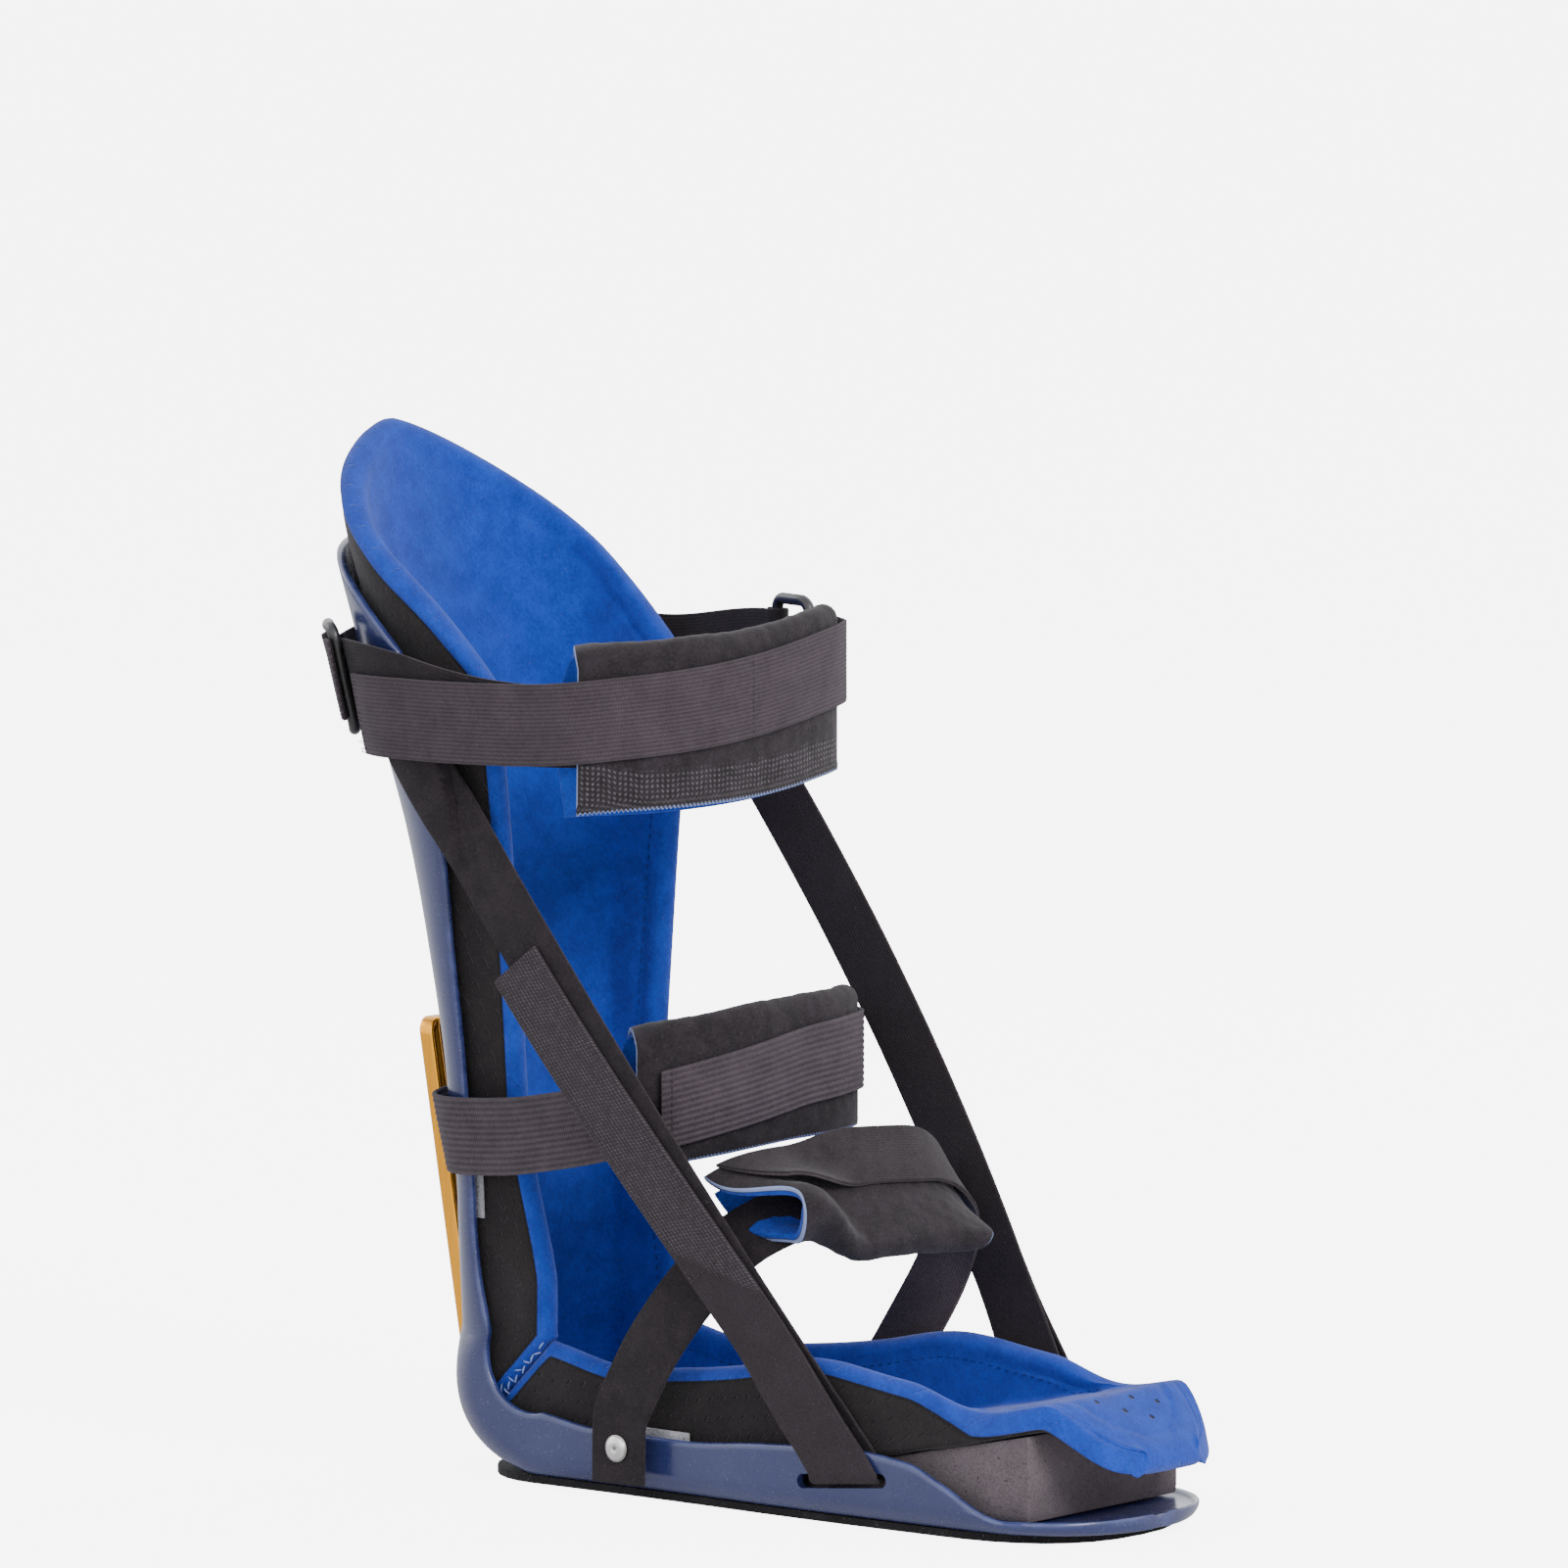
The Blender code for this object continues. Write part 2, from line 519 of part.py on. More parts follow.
def build_wedge(finish):
    """The foam wedge that lifts the forefoot: a block cut to a slope."""
    shape = bmesh.new()
    corners = [(WEDGE_BACK, PLATE_TOP + WEDGE_SEAT), (WEDGE_FRONT, PLATE_TOP + WEDGE_SEAT),
               (WEDGE_FRONT, float(wedge_top(WEDGE_FRONT))), (WEDGE_BACK, float(wedge_top(WEDGE_BACK)))]
    half = {x: float(foot_section(x)[0]) - WEDGE_SIDE_INSET for x, _ in corners}
    face = shape.faces.new([shape.verts.new((x * MM, -half[x] * MM, z * MM)) for x, z in corners])
    wide = bmesh.ops.extrude_face_region(shape, geom=[face])["geom"]
    for moved in (v for v in wide if isinstance(v, bmesh.types.BMVert)):
        moved.co.y = -moved.co.y
    bmesh.ops.recalc_face_normals(shape, faces=shape.faces)
    mesh = bpy.data.meshes.new("toe_wedge")
    shape.to_mesh(mesh)
    shape.free()
    mesh.materials.append(finish)
    made = bpy.data.objects.new("toe_wedge", mesh)
    bpy.context.scene.collection.objects.link(made)
    bevel = made.modifiers.new("rounding", "BEVEL")
    bevel.width = 1.0 * MM
    bevel.segments = 2
    return made


def liner_inset():
    """Distance from the shell's outer face to the leg liner's outer face."""
    return SHELL_WALL + LINER_LEG_GAP


def leg_liner_surface(v, share, inset):
    """Point of the leg liner at v and share, inset from its outer face."""
    half_width, corner, bottom, depth, _ = shell_size(v)
    total = liner_inset() + inset
    height = BEND_Z + np.maximum(-v, 0)
    front = LINER_FRONT + (BEND_X - LINER_FRONT) * (1 - ease(height, BEND_Z, BEND_Z + 70))
    rim = np.maximum(BEND_X - front, 1.6)
    return u_section(half_width - total, np.maximum(corner - total, 2), bottom - total,
                     np.maximum(depth - total, 2), rim, share, snap_at(v))


def build_leg_liner(finish):
    """The padded liner of the leg, from its high curved back edge down to the seam at the heel."""
    half_gap = 0.5 * GAP * math.sqrt(0.5) * 1.3
    v = np.concatenate([leg_stations(LINER_HEIGHT, 12), np.linspace(0, 45, 4)])
    share = np.linspace(-1, 1, 19)
    vv, ss = np.meshgrid(v, share, indexing="ij")
    vv = lowered(vv, ss, LINER_HEIGHT, LINER_TOP_DROP, 1.4, CALF_HEIGHT - 80)
    faces = [place(vv, *leg_liner_surface(vv, ss, inset), BEND_X - half_gap, BEND_Z + half_gap)
             for inset in (0.0, LINER_THICKNESS)]
    return slab("leg_liner", faces[0], faces[1], finish)


def foot_liner_surface(v, share, inset):
    """Point of the foot liner at v and share, inset from its outer face."""
    half_width, corner, bottom, depth, _ = shell_size(v)
    x = BEND_X + np.maximum(v - 90, 0)
    along = (x - BEND_X) / (LINER_TOE - BEND_X)
    side_gap = LINER_LEG_GAP + (LINER_FOOT_GAP - LINER_LEG_GAP) * ease(x, BEND_X, BEND_X + 30)
    total = SHELL_WALL + side_gap + inset
    droop = np.clip((x - WEDGE_FRONT - 4) / (LINER_TOE - WEDGE_FRONT - 4), 0, 1) ** 1.2
    under = np.maximum(PLATE_TOP, wedge_top(np.minimum(x, WEDGE_FRONT + 6)) + 0.5 * ease(x, 150, 185))
    under = under + GAP - TOE_DROOP * droop
    seam_blend = ease(v, 45, 90)
    floor = (bottom - liner_inset() - inset) * (1 - seam_blend) + (BEND_Z - under - inset) * seam_blend
    rim_height = LINER_WALL * smooth(LINER_RIM_ROWS["along"], LINER_RIM_ROWS["rim"], along)
    flat = ease(x, WEDGE_FRONT - 45, WEDGE_FRONT - 5)
    rim_height = rim_height * (1 - flat) + (under + LINER_THICKNESS) * flat
    rim = np.where(v < 90, 1.6 * (1 - seam_blend) + (BEND_Z - rim_height) * seam_blend, BEND_Z - rim_height)
    rim = np.maximum(rim, BEND_Z - np.maximum(rim_height, under + LINER_THICKNESS))
    width = np.maximum(half_width * toe_width(x, LINER_TOE, TOE_ROUND) - total, 0.8)
    corner = np.minimum(np.maximum(corner - total, 2.0), width)
    depth = np.minimum(np.maximum(depth - total, 2.0), np.maximum(floor - rim, 0.2))
    return u_section(width, corner, floor, depth, np.minimum(rim, floor - 0.05), share, snap_at(v))


def build_foot_liner(finish):
    """The padded liner of the foot: a tray with side walls that rides up on the wedge and droops at the toes."""
    half_gap = 0.5 * GAP * math.sqrt(0.5) * 1.3
    v = np.concatenate([np.linspace(45, 90, 4),
                        toe_stations(BEND_X + 10, LINER_TOE, TOE_ROUND, 9, last=0.97)])
    share = np.linspace(-1, 1, 19)
    vv, ss = np.meshgrid(v, share, indexing="ij")
    faces = [place(vv, *foot_liner_surface(vv, ss, inset), BEND_X + half_gap, BEND_Z - half_gap)
             for inset in (0.0, LINER_THICKNESS)]
    return slab("foot_liner", faces[0], faces[1], finish)


def rear_outline(turn, z, centre, clearance):
    """Where a ray from the loop's centre meets the shell's section at z, widened by the clearance."""
    back, front_edge, half_width = leg_section(z)
    deep, wide = front_edge - back + clearance, half_width + clearance
    angle = np.radians(180.0 - np.abs(turn))
    cos, sin = np.cos(angle), np.sin(angle)
    ahead = centre - front_edge
    a = (cos / deep) ** 2 + (sin / wide) ** 2
    b = ahead * cos / deep ** 2
    on_oval = (b + np.sqrt(np.maximum(b * b - a * ((ahead / deep) ** 2 - 1), 0))) / a
    on_side = wide / np.maximum(sin, 1e-6)
    beyond = on_side * cos > ahead
    reach = np.where(beyond, on_oval, on_side)
    return centre - reach * cos, np.sign(turn) * reach * sin


def loop_point(rows, reach, centre, clearance, level, turn, offset, z):
    """Point of a leg loop: round the back it follows the shell at height z, in front its own outline.

    turn is in degrees from the front, positive to the far side; offset is measured outward from the loop.
    """
    turn = np.asarray(turn, float)
    z = np.asarray(z, float)

    def outline(angle):
        wrapped = (angle + 180.0) % 360.0 - 180.0
        rear_x, rear_y = rear_outline(np.where(np.abs(wrapped) < 90, 90.0, wrapped), z, centre, clearance)
        side, level_side = leg_section(z)[2] + clearance, float(leg_section(level)[2]) + clearance
        shares = [level_side / reach if r is None else r for r in rows["reach"]]
        radius = reach * smooth(rows["turn"], shares, wrapped)
        radius = radius * (1 + (side / level_side - 1) * ease(np.abs(wrapped), 30, 90))
        radians = np.radians(wrapped)
        front = np.abs(wrapped) < 90
        return (np.where(front, centre + radius * np.cos(radians), rear_x),
                np.where(front, radius * np.sin(radians), rear_y))

    x, y = outline(turn)
    x1, y1 = outline(turn + 0.5)
    x0, y0 = outline(turn - 0.5)
    tangent = np.hypot(x1 - x0, y1 - y0)
    nx, ny = (y1 - y0) / tangent, -(x1 - x0) / tangent
    return np.stack(np.broadcast_arrays(x + offset * nx, y + offset * ny, z), axis=-1)


def calf_point(turn, offset, z):
    """Point of the calf loop."""
    return loop_point(CALF_LOOP_ROWS, CALF_REACH, CALF_CENTRE, CALF_CLEARANCE, CALF_LEVEL, turn, offset, z)


def ankle_point(turn, offset, z):
    """Point of the ankle loop, which stands off the shell at the back and more so at its upper edge."""
    wrapped = np.abs((np.asarray(turn, float) + 180.0) % 360.0 - 180.0)
    slack = ANKLE_SLACK * ease(wrapped, 88, 125) * (1 + (np.asarray(z, float) - ANKLE_HEIGHT) / 25.0)
    return loop_point(ANKLE_LOOP_ROWS, ANKLE_REACH, ANKLE_CENTRE, ANKLE_CLEARANCE, ANKLE_HEIGHT,
                      turn, offset + slack, z)


def calf_level(turn):
    """Height of the calf strap's middle, which rises towards the far ring."""
    wrapped = (np.asarray(turn, float) + 180.0) % 360.0 - 180.0
    return CALF_HEIGHT + CALF_RISE * smooth(CALF_LEVEL_ROWS["turn"], CALF_LEVEL_ROWS["rise"], wrapped)


def calf_pad_level(turn):
    """Height of the calf pad's middle, lower than the strap's."""
    return calf_level(turn) - CALF_PAD_DROP * (1 + ease(turn, *CALF_PAD_TURNS))


def ankle_level(turn):
    """Height of the ankle strap's middle, which climbs from the heel to the front of the ankle."""
    turn = np.asarray(turn, float)
    return ANKLE_HEIGHT + ANKLE_RISE * (0.5 * (1 + np.cos(np.radians(turn - ANKLE_PEAK_TURN)))) ** 2.5


def ankle_pad_level(turn):
    """Height of the ankle pad's middle."""
    return ankle_level(turn) + ANKLE_PAD_RISE - ANKLE_PAD_FALL * ease(turn, *ANKLE_PAD_TURNS)


def band(point, middle, turn, offset, width):
    """Grid of a strap round a leg loop: a row for each turn, two points across its width."""
    turn = np.asarray(turn, float)
    offset = np.broadcast_to(np.asarray(offset, float), turn.shape)
    middle = np.broadcast_to(np.asarray(middle, float), turn.shape)
    across = np.array([-0.5, 0.5]) * width
    return point(turn[:, None], offset[:, None], middle[:, None] + across[None, :])


def per_degree(turn, z):
    """Length of the calf loop for one degree at the given turn and height."""
    return float(np.linalg.norm(calf_point(turn + 0.5, 0.0, z) - calf_point(turn - 0.5, 0.0, z)))


def turn_back(turn, z, forward, outward, steps=7):
    """Turns and offsets of a half circle round a ring's bar at turn, inside to outside or the other way."""
    angle = np.linspace(0, math.pi, steps)
    reach = BAR_CLEAR / per_degree(turn, z) * forward
    return turn + reach * np.sin(angle), RING_OFFSET - outward * BAR_CLEAR * np.cos(angle)


def build_ring(name, turn, half, middle_z, finish):
    """A rectangular ring of round bar: its path is a rounded rectangle in the calf loop's surface."""
    tall = RING_WINDOW / 2 + RING_WIRE
    path = []
    for side_turn, side_z, start in ((1, 1, 0), (-1, 1, 90), (-1, -1, 180), (1, -1, 270)):
        for a in np.radians(start + np.linspace(0, 90, 4)):
            share = 1 - RING_CORNER / (RING_SPACING / 2)
            path.append((turn + half * (side_turn * share + (1 - share) * math.cos(a)),
                         middle_z + side_z * (tall - RING_CORNER) + RING_CORNER * math.sin(a)))
    turns, heights = np.array(path).T
    centre = calf_point(turns, np.full(len(path), RING_OFFSET), heights)
    ahead = np.roll(centre, -1, axis=0) - np.roll(centre, 1, axis=0)
    ahead /= np.linalg.norm(ahead, axis=1)[:, None]
    out = calf_point(turns, np.full(len(path), RING_OFFSET + 1), heights) - centre
    beside = np.cross(ahead, out)
    beside /= np.linalg.norm(beside, axis=1)[:, None]
    out = np.cross(beside, ahead)
    sides = 8
    spin = np.linspace(0, 2 * math.pi, sides, endpoint=False)
    rim = centre[:, None] + RING_WIRE * (np.cos(spin)[None, :, None] * out[:, None]
                                         + np.sin(spin)[None, :, None] * beside[:, None])
    rows = len(path)
    faces = [(i * sides + j, ((i + 1) % rows) * sides + j, ((i + 1) % rows) * sides + (j + 1) % sides,
              i * sides + (j + 1) % sides) for i in range(rows) for j in range(sides)]
    return solid(name, (rim.reshape(-1, 3) * MM).tolist(), faces, finish)


def build_calf_straps(webbing, elastic, plastic):
    """The calf loop: a back strap between two rings, and the front strap sewn to the near ring, led through its
    pad and the far ring and folded back over the pad."""
    near_z = CALF_HEIGHT + CALF_RING_LIFT
    far_z = float(calf_level(FAR_RING_TURN))
    near_half = RING_SPACING / 2 / per_degree(NEAR_RING_TURN, near_z)
    far_half = RING_SPACING / 2 / per_degree(FAR_RING_TURN, far_z)
    build_ring("calf_ring_near", NEAR_RING_TURN, near_half, near_z, plastic)
    build_ring("calf_ring_far", FAR_RING_TURN, far_half, far_z, plastic)

    first, last = NEAR_RING_TURN - near_half, FAR_RING_TURN + far_half - 360
    start = turn_back(first, near_z, 1, -1)
    end = turn_back(last, far_z, -1, 1)
    turns = np.concatenate([[first - BACK_STRAP_TAIL], start[0], np.linspace(first - 5, last + 5, 22), end[0],
                            [last + BACK_STRAP_TAIL]])
    offsets = np.concatenate([[RING_OFFSET + BAR_CLEAR], start[1], np.full(22, STRAP_MID), end[1],
                              [RING_OFFSET + BAR_CLEAR]])
    middle = near_z + (BACK_STRAP_HEIGHT - near_z) * ease(-turns, -first, -first + 30)
    middle = middle + (far_z - BACK_STRAP_HEIGHT) * ease(-turns, -last - 40, -last)
    ribbon("calf_back_strap", band(calf_point, middle, turns, offsets, CALF_STRAP), STRAP_THICKNESS, webbing)

    first, last = NEAR_RING_TURN + near_half, FAR_RING_TURN - far_half
    start = turn_back(first, near_z, -1, -1)
    end = turn_back(last, far_z, 1, 1)
    inner = np.linspace(first + 3, last - 3, 30)
    outer = np.linspace(last - 4, FREE_END_TURN, 34)
    drop = ease(-outer, -CALF_PAD_TURNS[0] + 1, -CALF_PAD_TURNS[0] + 14)
    turns = np.concatenate([[first + 3], start[0], inner, end[0], outer])
    offsets = np.concatenate([[RING_OFFSET + BAR_CLEAR], start[1], np.full(30, STRAP_MID), end[1],
                              OVER_PAD + (OVER_STRAP - OVER_PAD) * drop])
    lift = CALF_RING_LIFT * (1 - ease(inner, -115, -50)) - 4 * ease(inner, -60, -15) * (1 - ease(inner, 12, 30))
    ends = np.full(len(start[0]) + 1, CALF_RING_LIFT)
    middle = calf_level(turns) + np.concatenate([ends, lift, np.zeros(len(end[0]) + len(outer))])
    middle[:len(ends)] = near_z
    ribbon("calf_front_strap", band(calf_point, middle, turns, offsets, CALF_STRAP), STRAP_THICKNESS, elastic)


def pad_section(half, steps=5):
    """Offsets and heights of a folded pad's middle surface: up its back, over the fold and down its front."""
    fold = (PAD_FRONT - PAD_BACK) / 2
    middle = (PAD_FRONT + PAD_BACK) / 2
    angle = np.linspace(math.pi, 0, steps)
    back = [(PAD_BACK, h) for h in np.linspace(-half, half - fold, 2, endpoint=False)]
    over = list(zip(middle + fold * np.cos(angle), half - fold + fold * np.sin(angle)))
    front = [(PAD_FRONT, h) for h in np.linspace(half - fold, -half * 0.94, 3)[1:]]
    return np.array(back + over + front).T


def build_leg_pad(name, point, level, turns, half, finish):
    """A folded pad round the front of a leg strap."""
    offsets, heights = pad_section(half)
    turn = np.linspace(*turns, 13)
    grid = point(turn[:, None], offsets[None, :], level(turn)[:, None] + heights[None, :])
    return ribbon(name, grid, PAD_THICKNESS, finish)


def build_ankle_strap(elastic):
    """The ankle strap: from inside its pad, round the heel inside the back bar, and over the pad again."""
    turns = np.concatenate([np.linspace(8, -90, 20), np.linspace(-98, -262, 20), np.linspace(-270, -391, 26)])
    offsets = STRAP_MID + (OVER_PAD - STRAP_MID) * ease(-turns, 300, 324)
    grid = band(ankle_point, ankle_level(turns), turns, offsets, ANKLE_STRAP)
    ribbon("ankle_strap", grid, STRAP_THICKNESS, elastic)


def instep_frame(s):
    """Middle of the instep strap's inner face, its width direction and its outward normal at share s."""
    rows = np.linspace(0, 1, len(INSTEP_ROWS["across"]))

    def path(at):
        return np.stack([INSTEP_REACH * smooth(rows, INSTEP_ROWS["forward"], at),
                         BALL_HALF_WIDTH * smooth(rows, INSTEP_ROWS["across"], at),
                         INSTEP_HEIGHT * smooth(rows, INSTEP_ROWS["up"], at)], axis=-1)

    middle = path(s)
    along = path(np.minimum(s + 0.01, 1)) - path(np.maximum(s - 0.01, 0))
    along /= np.linalg.norm(along, axis=-1, keepdims=True)
    tilt = np.radians(smooth(rows, INSTEP_ROWS["tilt"], s))
    width = np.stack([np.cos(tilt), np.zeros_like(tilt), -np.sin(tilt)], axis=-1)
    width -= (width * along).sum(-1, keepdims=True) * along
    width /= np.linalg.norm(width, axis=-1, keepdims=True)
    normal = np.cross(width, along)
    return middle, width, normal


def instep_grid(s, offset, across):
    """Points of the instep strap or its pad at shares s, offsets outward and distances across its width."""
    middle, width, normal = instep_frame(np.asarray(s, float))
    return middle[:, None] + width[:, None] * across[..., None] + normal[:, None] * offset[..., None]


def instep_mouth(s):
    """How far the folded instep pad opens at its near end: 0 where it is closed."""
    return INSTEP_MOUTH * (1 - ease(s, INSTEP_PAD_SHARES[0], INSTEP_PAD_SHARES[0] + INSTEP_MOUTH_SHARE))


def build_instep(webbing, padding):
    """The instep strap in two parts, from an anchor on each side wall, and its folded pad."""
    across = np.linspace(-0.5, 0.5, 3)[None, :] * INSTEP_STRAP
    near = np.linspace(0, 0.47, 22)
    ribbon("instep_strap_near", instep_grid(near, np.full((22, 1), STRAP_MID), across), STRAP_THICKNESS, webbing)
    far = np.linspace(1, 0.35, 32)
    over = 1 - ease(far, 0.69, 0.80)
    lift = STRAP_MID + (OVER_PAD - STRAP_MID) * over + (PAD_FRONT - PAD_BACK) * instep_mouth(far) * over
    lift = lift + 1.2 * ease(far, 0.52, 0.62) * over
    slanted = across - INSTEP_SLANT * (1 - ease(far, 0.6, 0.8))[:, None]
    ribbon("instep_strap_far", instep_grid(far, lift[:, None], slanted),
           STRAP_THICKNESS, webbing)
    offsets, heights = pad_section(INSTEP_PAD_HALF)
    s = np.linspace(*INSTEP_PAD_SHARES, 13)
    opened = PAD_BACK + (offsets[None, :] - PAD_BACK) * (1 + instep_mouth(s)[:, None])
    run = np.concatenate([[0], np.cumsum(np.hypot(np.diff(offsets), np.diff(heights)))])
    drawn = INSTEP_DRAW * instep_mouth(s)[:, None] / INSTEP_MOUTH * ease(run / run[-1], 0.5, 0.95)[None, :]
    ribbon("instep_pad", instep_grid(s, opened, heights[None, :] + INSTEP_PAD_AHEAD + drawn), PAD_THICKNESS,
           padding)


def side_surface(x, z):
    """Half width that a strap lying against the leg must clear at (x, z): the shell, or the liner before it."""
    back, front_edge, half_width = leg_section(z)
    share = np.clip((front_edge - x) / (front_edge - back), 0, 1)
    return np.where(x < front_edge + 9, half_width * np.sqrt(1 - share ** 2), half_width - SHELL_WALL)


def build_diagonal(name, side, top, slot_x, bow, bulge, end_height, shift, webbing):
    """A diagonal strap: down the leg, inside the foot's wall, out through the slot and back up over itself."""
    wall = float(foot_section(slot_x)[0])
    fold_half = SHELL_WALL / 2 + LAYER_GAP + DIAGONAL_THICKNESS / 2
    inside = wall - SHELL_WALL / 2 - fold_half
    slot_top = SLOT_BOTTOM + SLOT_HEIGHT
    rim = float(foot_section(slot_x)[1])
    strap_x = slot_x + SLOT_STRAP_AHEAD

    def centre_x(z):
        t = (z - slot_top) / (top[1] - slot_top)
        return strap_x + (top[0] - strap_x) * t + bow * 4 * t * (1 - t)

    def layer(z, spread, is_outer):
        t = np.clip((z - rim) / (top[1] - rim), 0, 1)
        straight = inside + (top[2] - inside) * t + bulge * 4 * t * (1 - t)
        slope = math.atan2(top[1] - slot_top, strap_x - top[0])
        square = ease(z, rim, rim + 45)
        cross_x = spread * ((1 - square) / math.sin(slope) + square * math.sin(slope))
        cross_z = spread * square * math.cos(slope)
        x = centre_x(z) + cross_x - shift * is_outer * ease(z, rim, end_height)
        height = z + cross_z
        height = height + math.tan(math.radians(SLOT_SLANT)) * cross_x * (1 - square)
        if is_outer:
            close = DIAGONAL_THICKNESS + LAYER_GAP
            y = straight + close + (2 * fold_half - close) * (1 - ease(z, rim + 2, rim + 36))
        else:
            y = np.maximum(straight, side_surface(x, height) + LEG_TO_DIAGONAL + DIAGONAL_THICKNESS / 2)
        return np.stack(np.broadcast_arrays(x, side * y, height), axis=-1)

    across = np.linspace(-0.5, 0.5, 3)[None, :] * DIAGONAL_STRAP
    down = np.concatenate([np.linspace(top[1], rim + 8, 18), np.linspace(rim, slot_top, 3)])
    inner = layer(down[:, None], across, False)
    angle = np.linspace(0, math.pi, 7)[1:-1]
    base = layer(np.full((1, 1), slot_top), across, False)
    fold = base + np.stack([np.zeros_like(angle), side * fold_half * (1 - np.cos(angle)),
                            -fold_half * np.sin(angle)], axis=-1)[:, None]
    up = np.concatenate([np.linspace(slot_top, rim, 3), np.linspace(rim + 7, end_height, 14)])
    outer = layer(up[:, None], across, True)
    ribbon(name, np.concatenate([inner, fold, outer]), DIAGONAL_THICKNESS, webbing)


def bar_front(z):
    """Position of the bar's front face at height z: upright at the heel, then leaning back."""
    return -HEEL_BACK - 1.5 * GAP - BAR_LEAN * max(z - BAR_KNEE, 0.0)


def build_bar(finish):
    """The ribbed metal bar behind the heel: its section drawn once and carried up the lean."""
    half = BAR_WIDTH / 2
    flat = half - BAR_MARGIN
    y = np.linspace(-flat, flat, 4 * BAR_RIBS + 1)
    deep = BAR_DEPTH / 2 - BAR_RIB_DEPTH * (0.5 + 0.5 * np.cos(math.pi * BAR_RIBS * (y + flat) / flat))
    edge = BAR_DEPTH / 2 - BAR_CHAMFER
    section = [(v, -d) for v, d in zip(y, deep)] + [(half, -edge), (half, edge)]
    section += [(v, d) for v, d in zip(y[::-1], deep)] + [(-half, edge), (-half, -edge)]
    heights = (BAR_BOTTOM, BAR_BOTTOM + 3, BAR_KNEE, BAR_TOP - 4, BAR_TOP - 1.2, BAR_TOP)
    squeeze = (0.7, 1.0, 1.0, 1.0, 0.9, 0.6)
    points = []
    for z, s in zip(heights, squeeze):
        front = bar_front(z)
        points += [((front - BAR_DEPTH / 2 + d * s) * MM, w * (0.5 + 0.5 * s) * MM, z * MM) for w, d in section]
    n = len(section)
    faces = [(r * n + i, r * n + (i + 1) % n, (r + 1) * n + (i + 1) % n, (r + 1) * n + i)
             for r in range(len(heights) - 1) for i in range(n)]
    faces += [tuple(range(n)), tuple((len(heights) - 1) * n + i for i in reversed(range(n)))]
    return solid("back_bar", points, faces, finish)


def build_rivet(name, middle, normal, finish):
    """A low domed rivet head of which the flat side faces against the normal."""
    sides = 12
    profile = [(RIVET_RADIUS, 0.0), (RIVET_RADIUS, 0.4 * RIVET_HEAD), (0.6 * RIVET_RADIUS, 0.9 * RIVET_HEAD)]
    normal = np.array(normal, float) / np.linalg.norm(normal)
    side = np.cross(normal, (0, 0, 1.0) if abs(normal[2]) < 0.9 else (1.0, 0, 0))
    side /= np.linalg.norm(side)
    other = np.cross(normal, side)
    spin = np.linspace(0, 2 * math.pi, sides, endpoint=False)
    points = [np.array(middle) + r * (math.cos(a) * side + math.sin(a) * other) + h * normal
              for r, h in profile for a in spin]
    points.append(np.array(middle) + RIVET_HEAD * normal)
    rows = len(profile)
    faces = [(k * sides + j, k * sides + (j + 1) % sides, (k + 1) * sides + (j + 1) % sides, (k + 1) * sides + j)
             for k in range(rows - 1) for j in range(sides)]
    faces += [((rows - 1) * sides + j, (rows - 1) * sides + (j + 1) % sides, rows * sides) for j in range(sides)]
    faces.append(tuple(reversed(range(sides))))
    return solid(name, [tuple(p * MM) for p in points], faces, finish)


def build_rivets(steel):
    """Rivet heads: two on the back bar, one on each instep anchor and one where the back strap meets the shell."""
    for number, z, lean in ((1, BAR_RIVET_LOW, 0.0), (2, BAR_RIVET_HIGH, BAR_LEAN)):
        build_rivet(f"bar_rivet_{number}", (bar_front(z) - BAR_DEPTH - GAP, 0, z), (-1, 0, -lean), steel)
    for name, share in (("instep_rivet_near", INSTEP_RIVET_SHARE), ("instep_rivet_far", 1 - INSTEP_RIVET_SHARE)):
        middle, _, normal = instep_frame(np.array([share]))
        build_rivet(name, middle[0] + normal[0] * (STRAP_THICKNESS + GAP), normal[0], steel)
    z = BACK_STRAP_HEIGHT
    slope = (leg_section(z - 1)[0] - leg_section(z + 1)[0]) / 2
    build_rivet("back_strap_rivet", calf_point(180.0, STRAP_THICKNESS + LAYER_GAP, z), (-1, 0, -slope), steel)


def build_tabs(white):
    """Hook tabs between liner and shell: a pair in the foot and a pair in the leg, which show at the shell's edge."""
    share_steps = np.linspace(-0.5, 0.5, 5)
    for side, word in ((-1, "near"), (1, "far")):
        x = FOOT_TAB_X + share_steps * TAB_LENGTH
        half_width, rim = foot_section(x)
        y = side * (half_width - SHELL_WALL - GAP - TAB_THICKNESS / 2)
        top = rim + TAB_SHOWS
        grid = np.stack([np.stack([x, y, z], axis=-1) for z in (top - TAB_HEIGHT * 0.45, top)], axis=1)
        ribbon(f"foot_tab_{word}", grid, TAB_THICKNESS, white)
        height = LEG_TAB_HEIGHT + share_steps * TAB_HEIGHT
        back, edge, half = leg_section(height)
        inset = SHELL_WALL + GAP + TAB_THICKNESS / 2
        rows = []
        for ahead in (1.5, -3.5, -8.0):
            reach = np.clip(-ahead / (edge - back - inset), 0, 1)
            rows.append(np.stack([edge + ahead, side * (half - inset) * np.sqrt(1 - reach ** 2), height], axis=-1))
        ribbon(f"leg_tab_{word}", np.stack(rows, axis=1), TAB_THICKNESS, white)


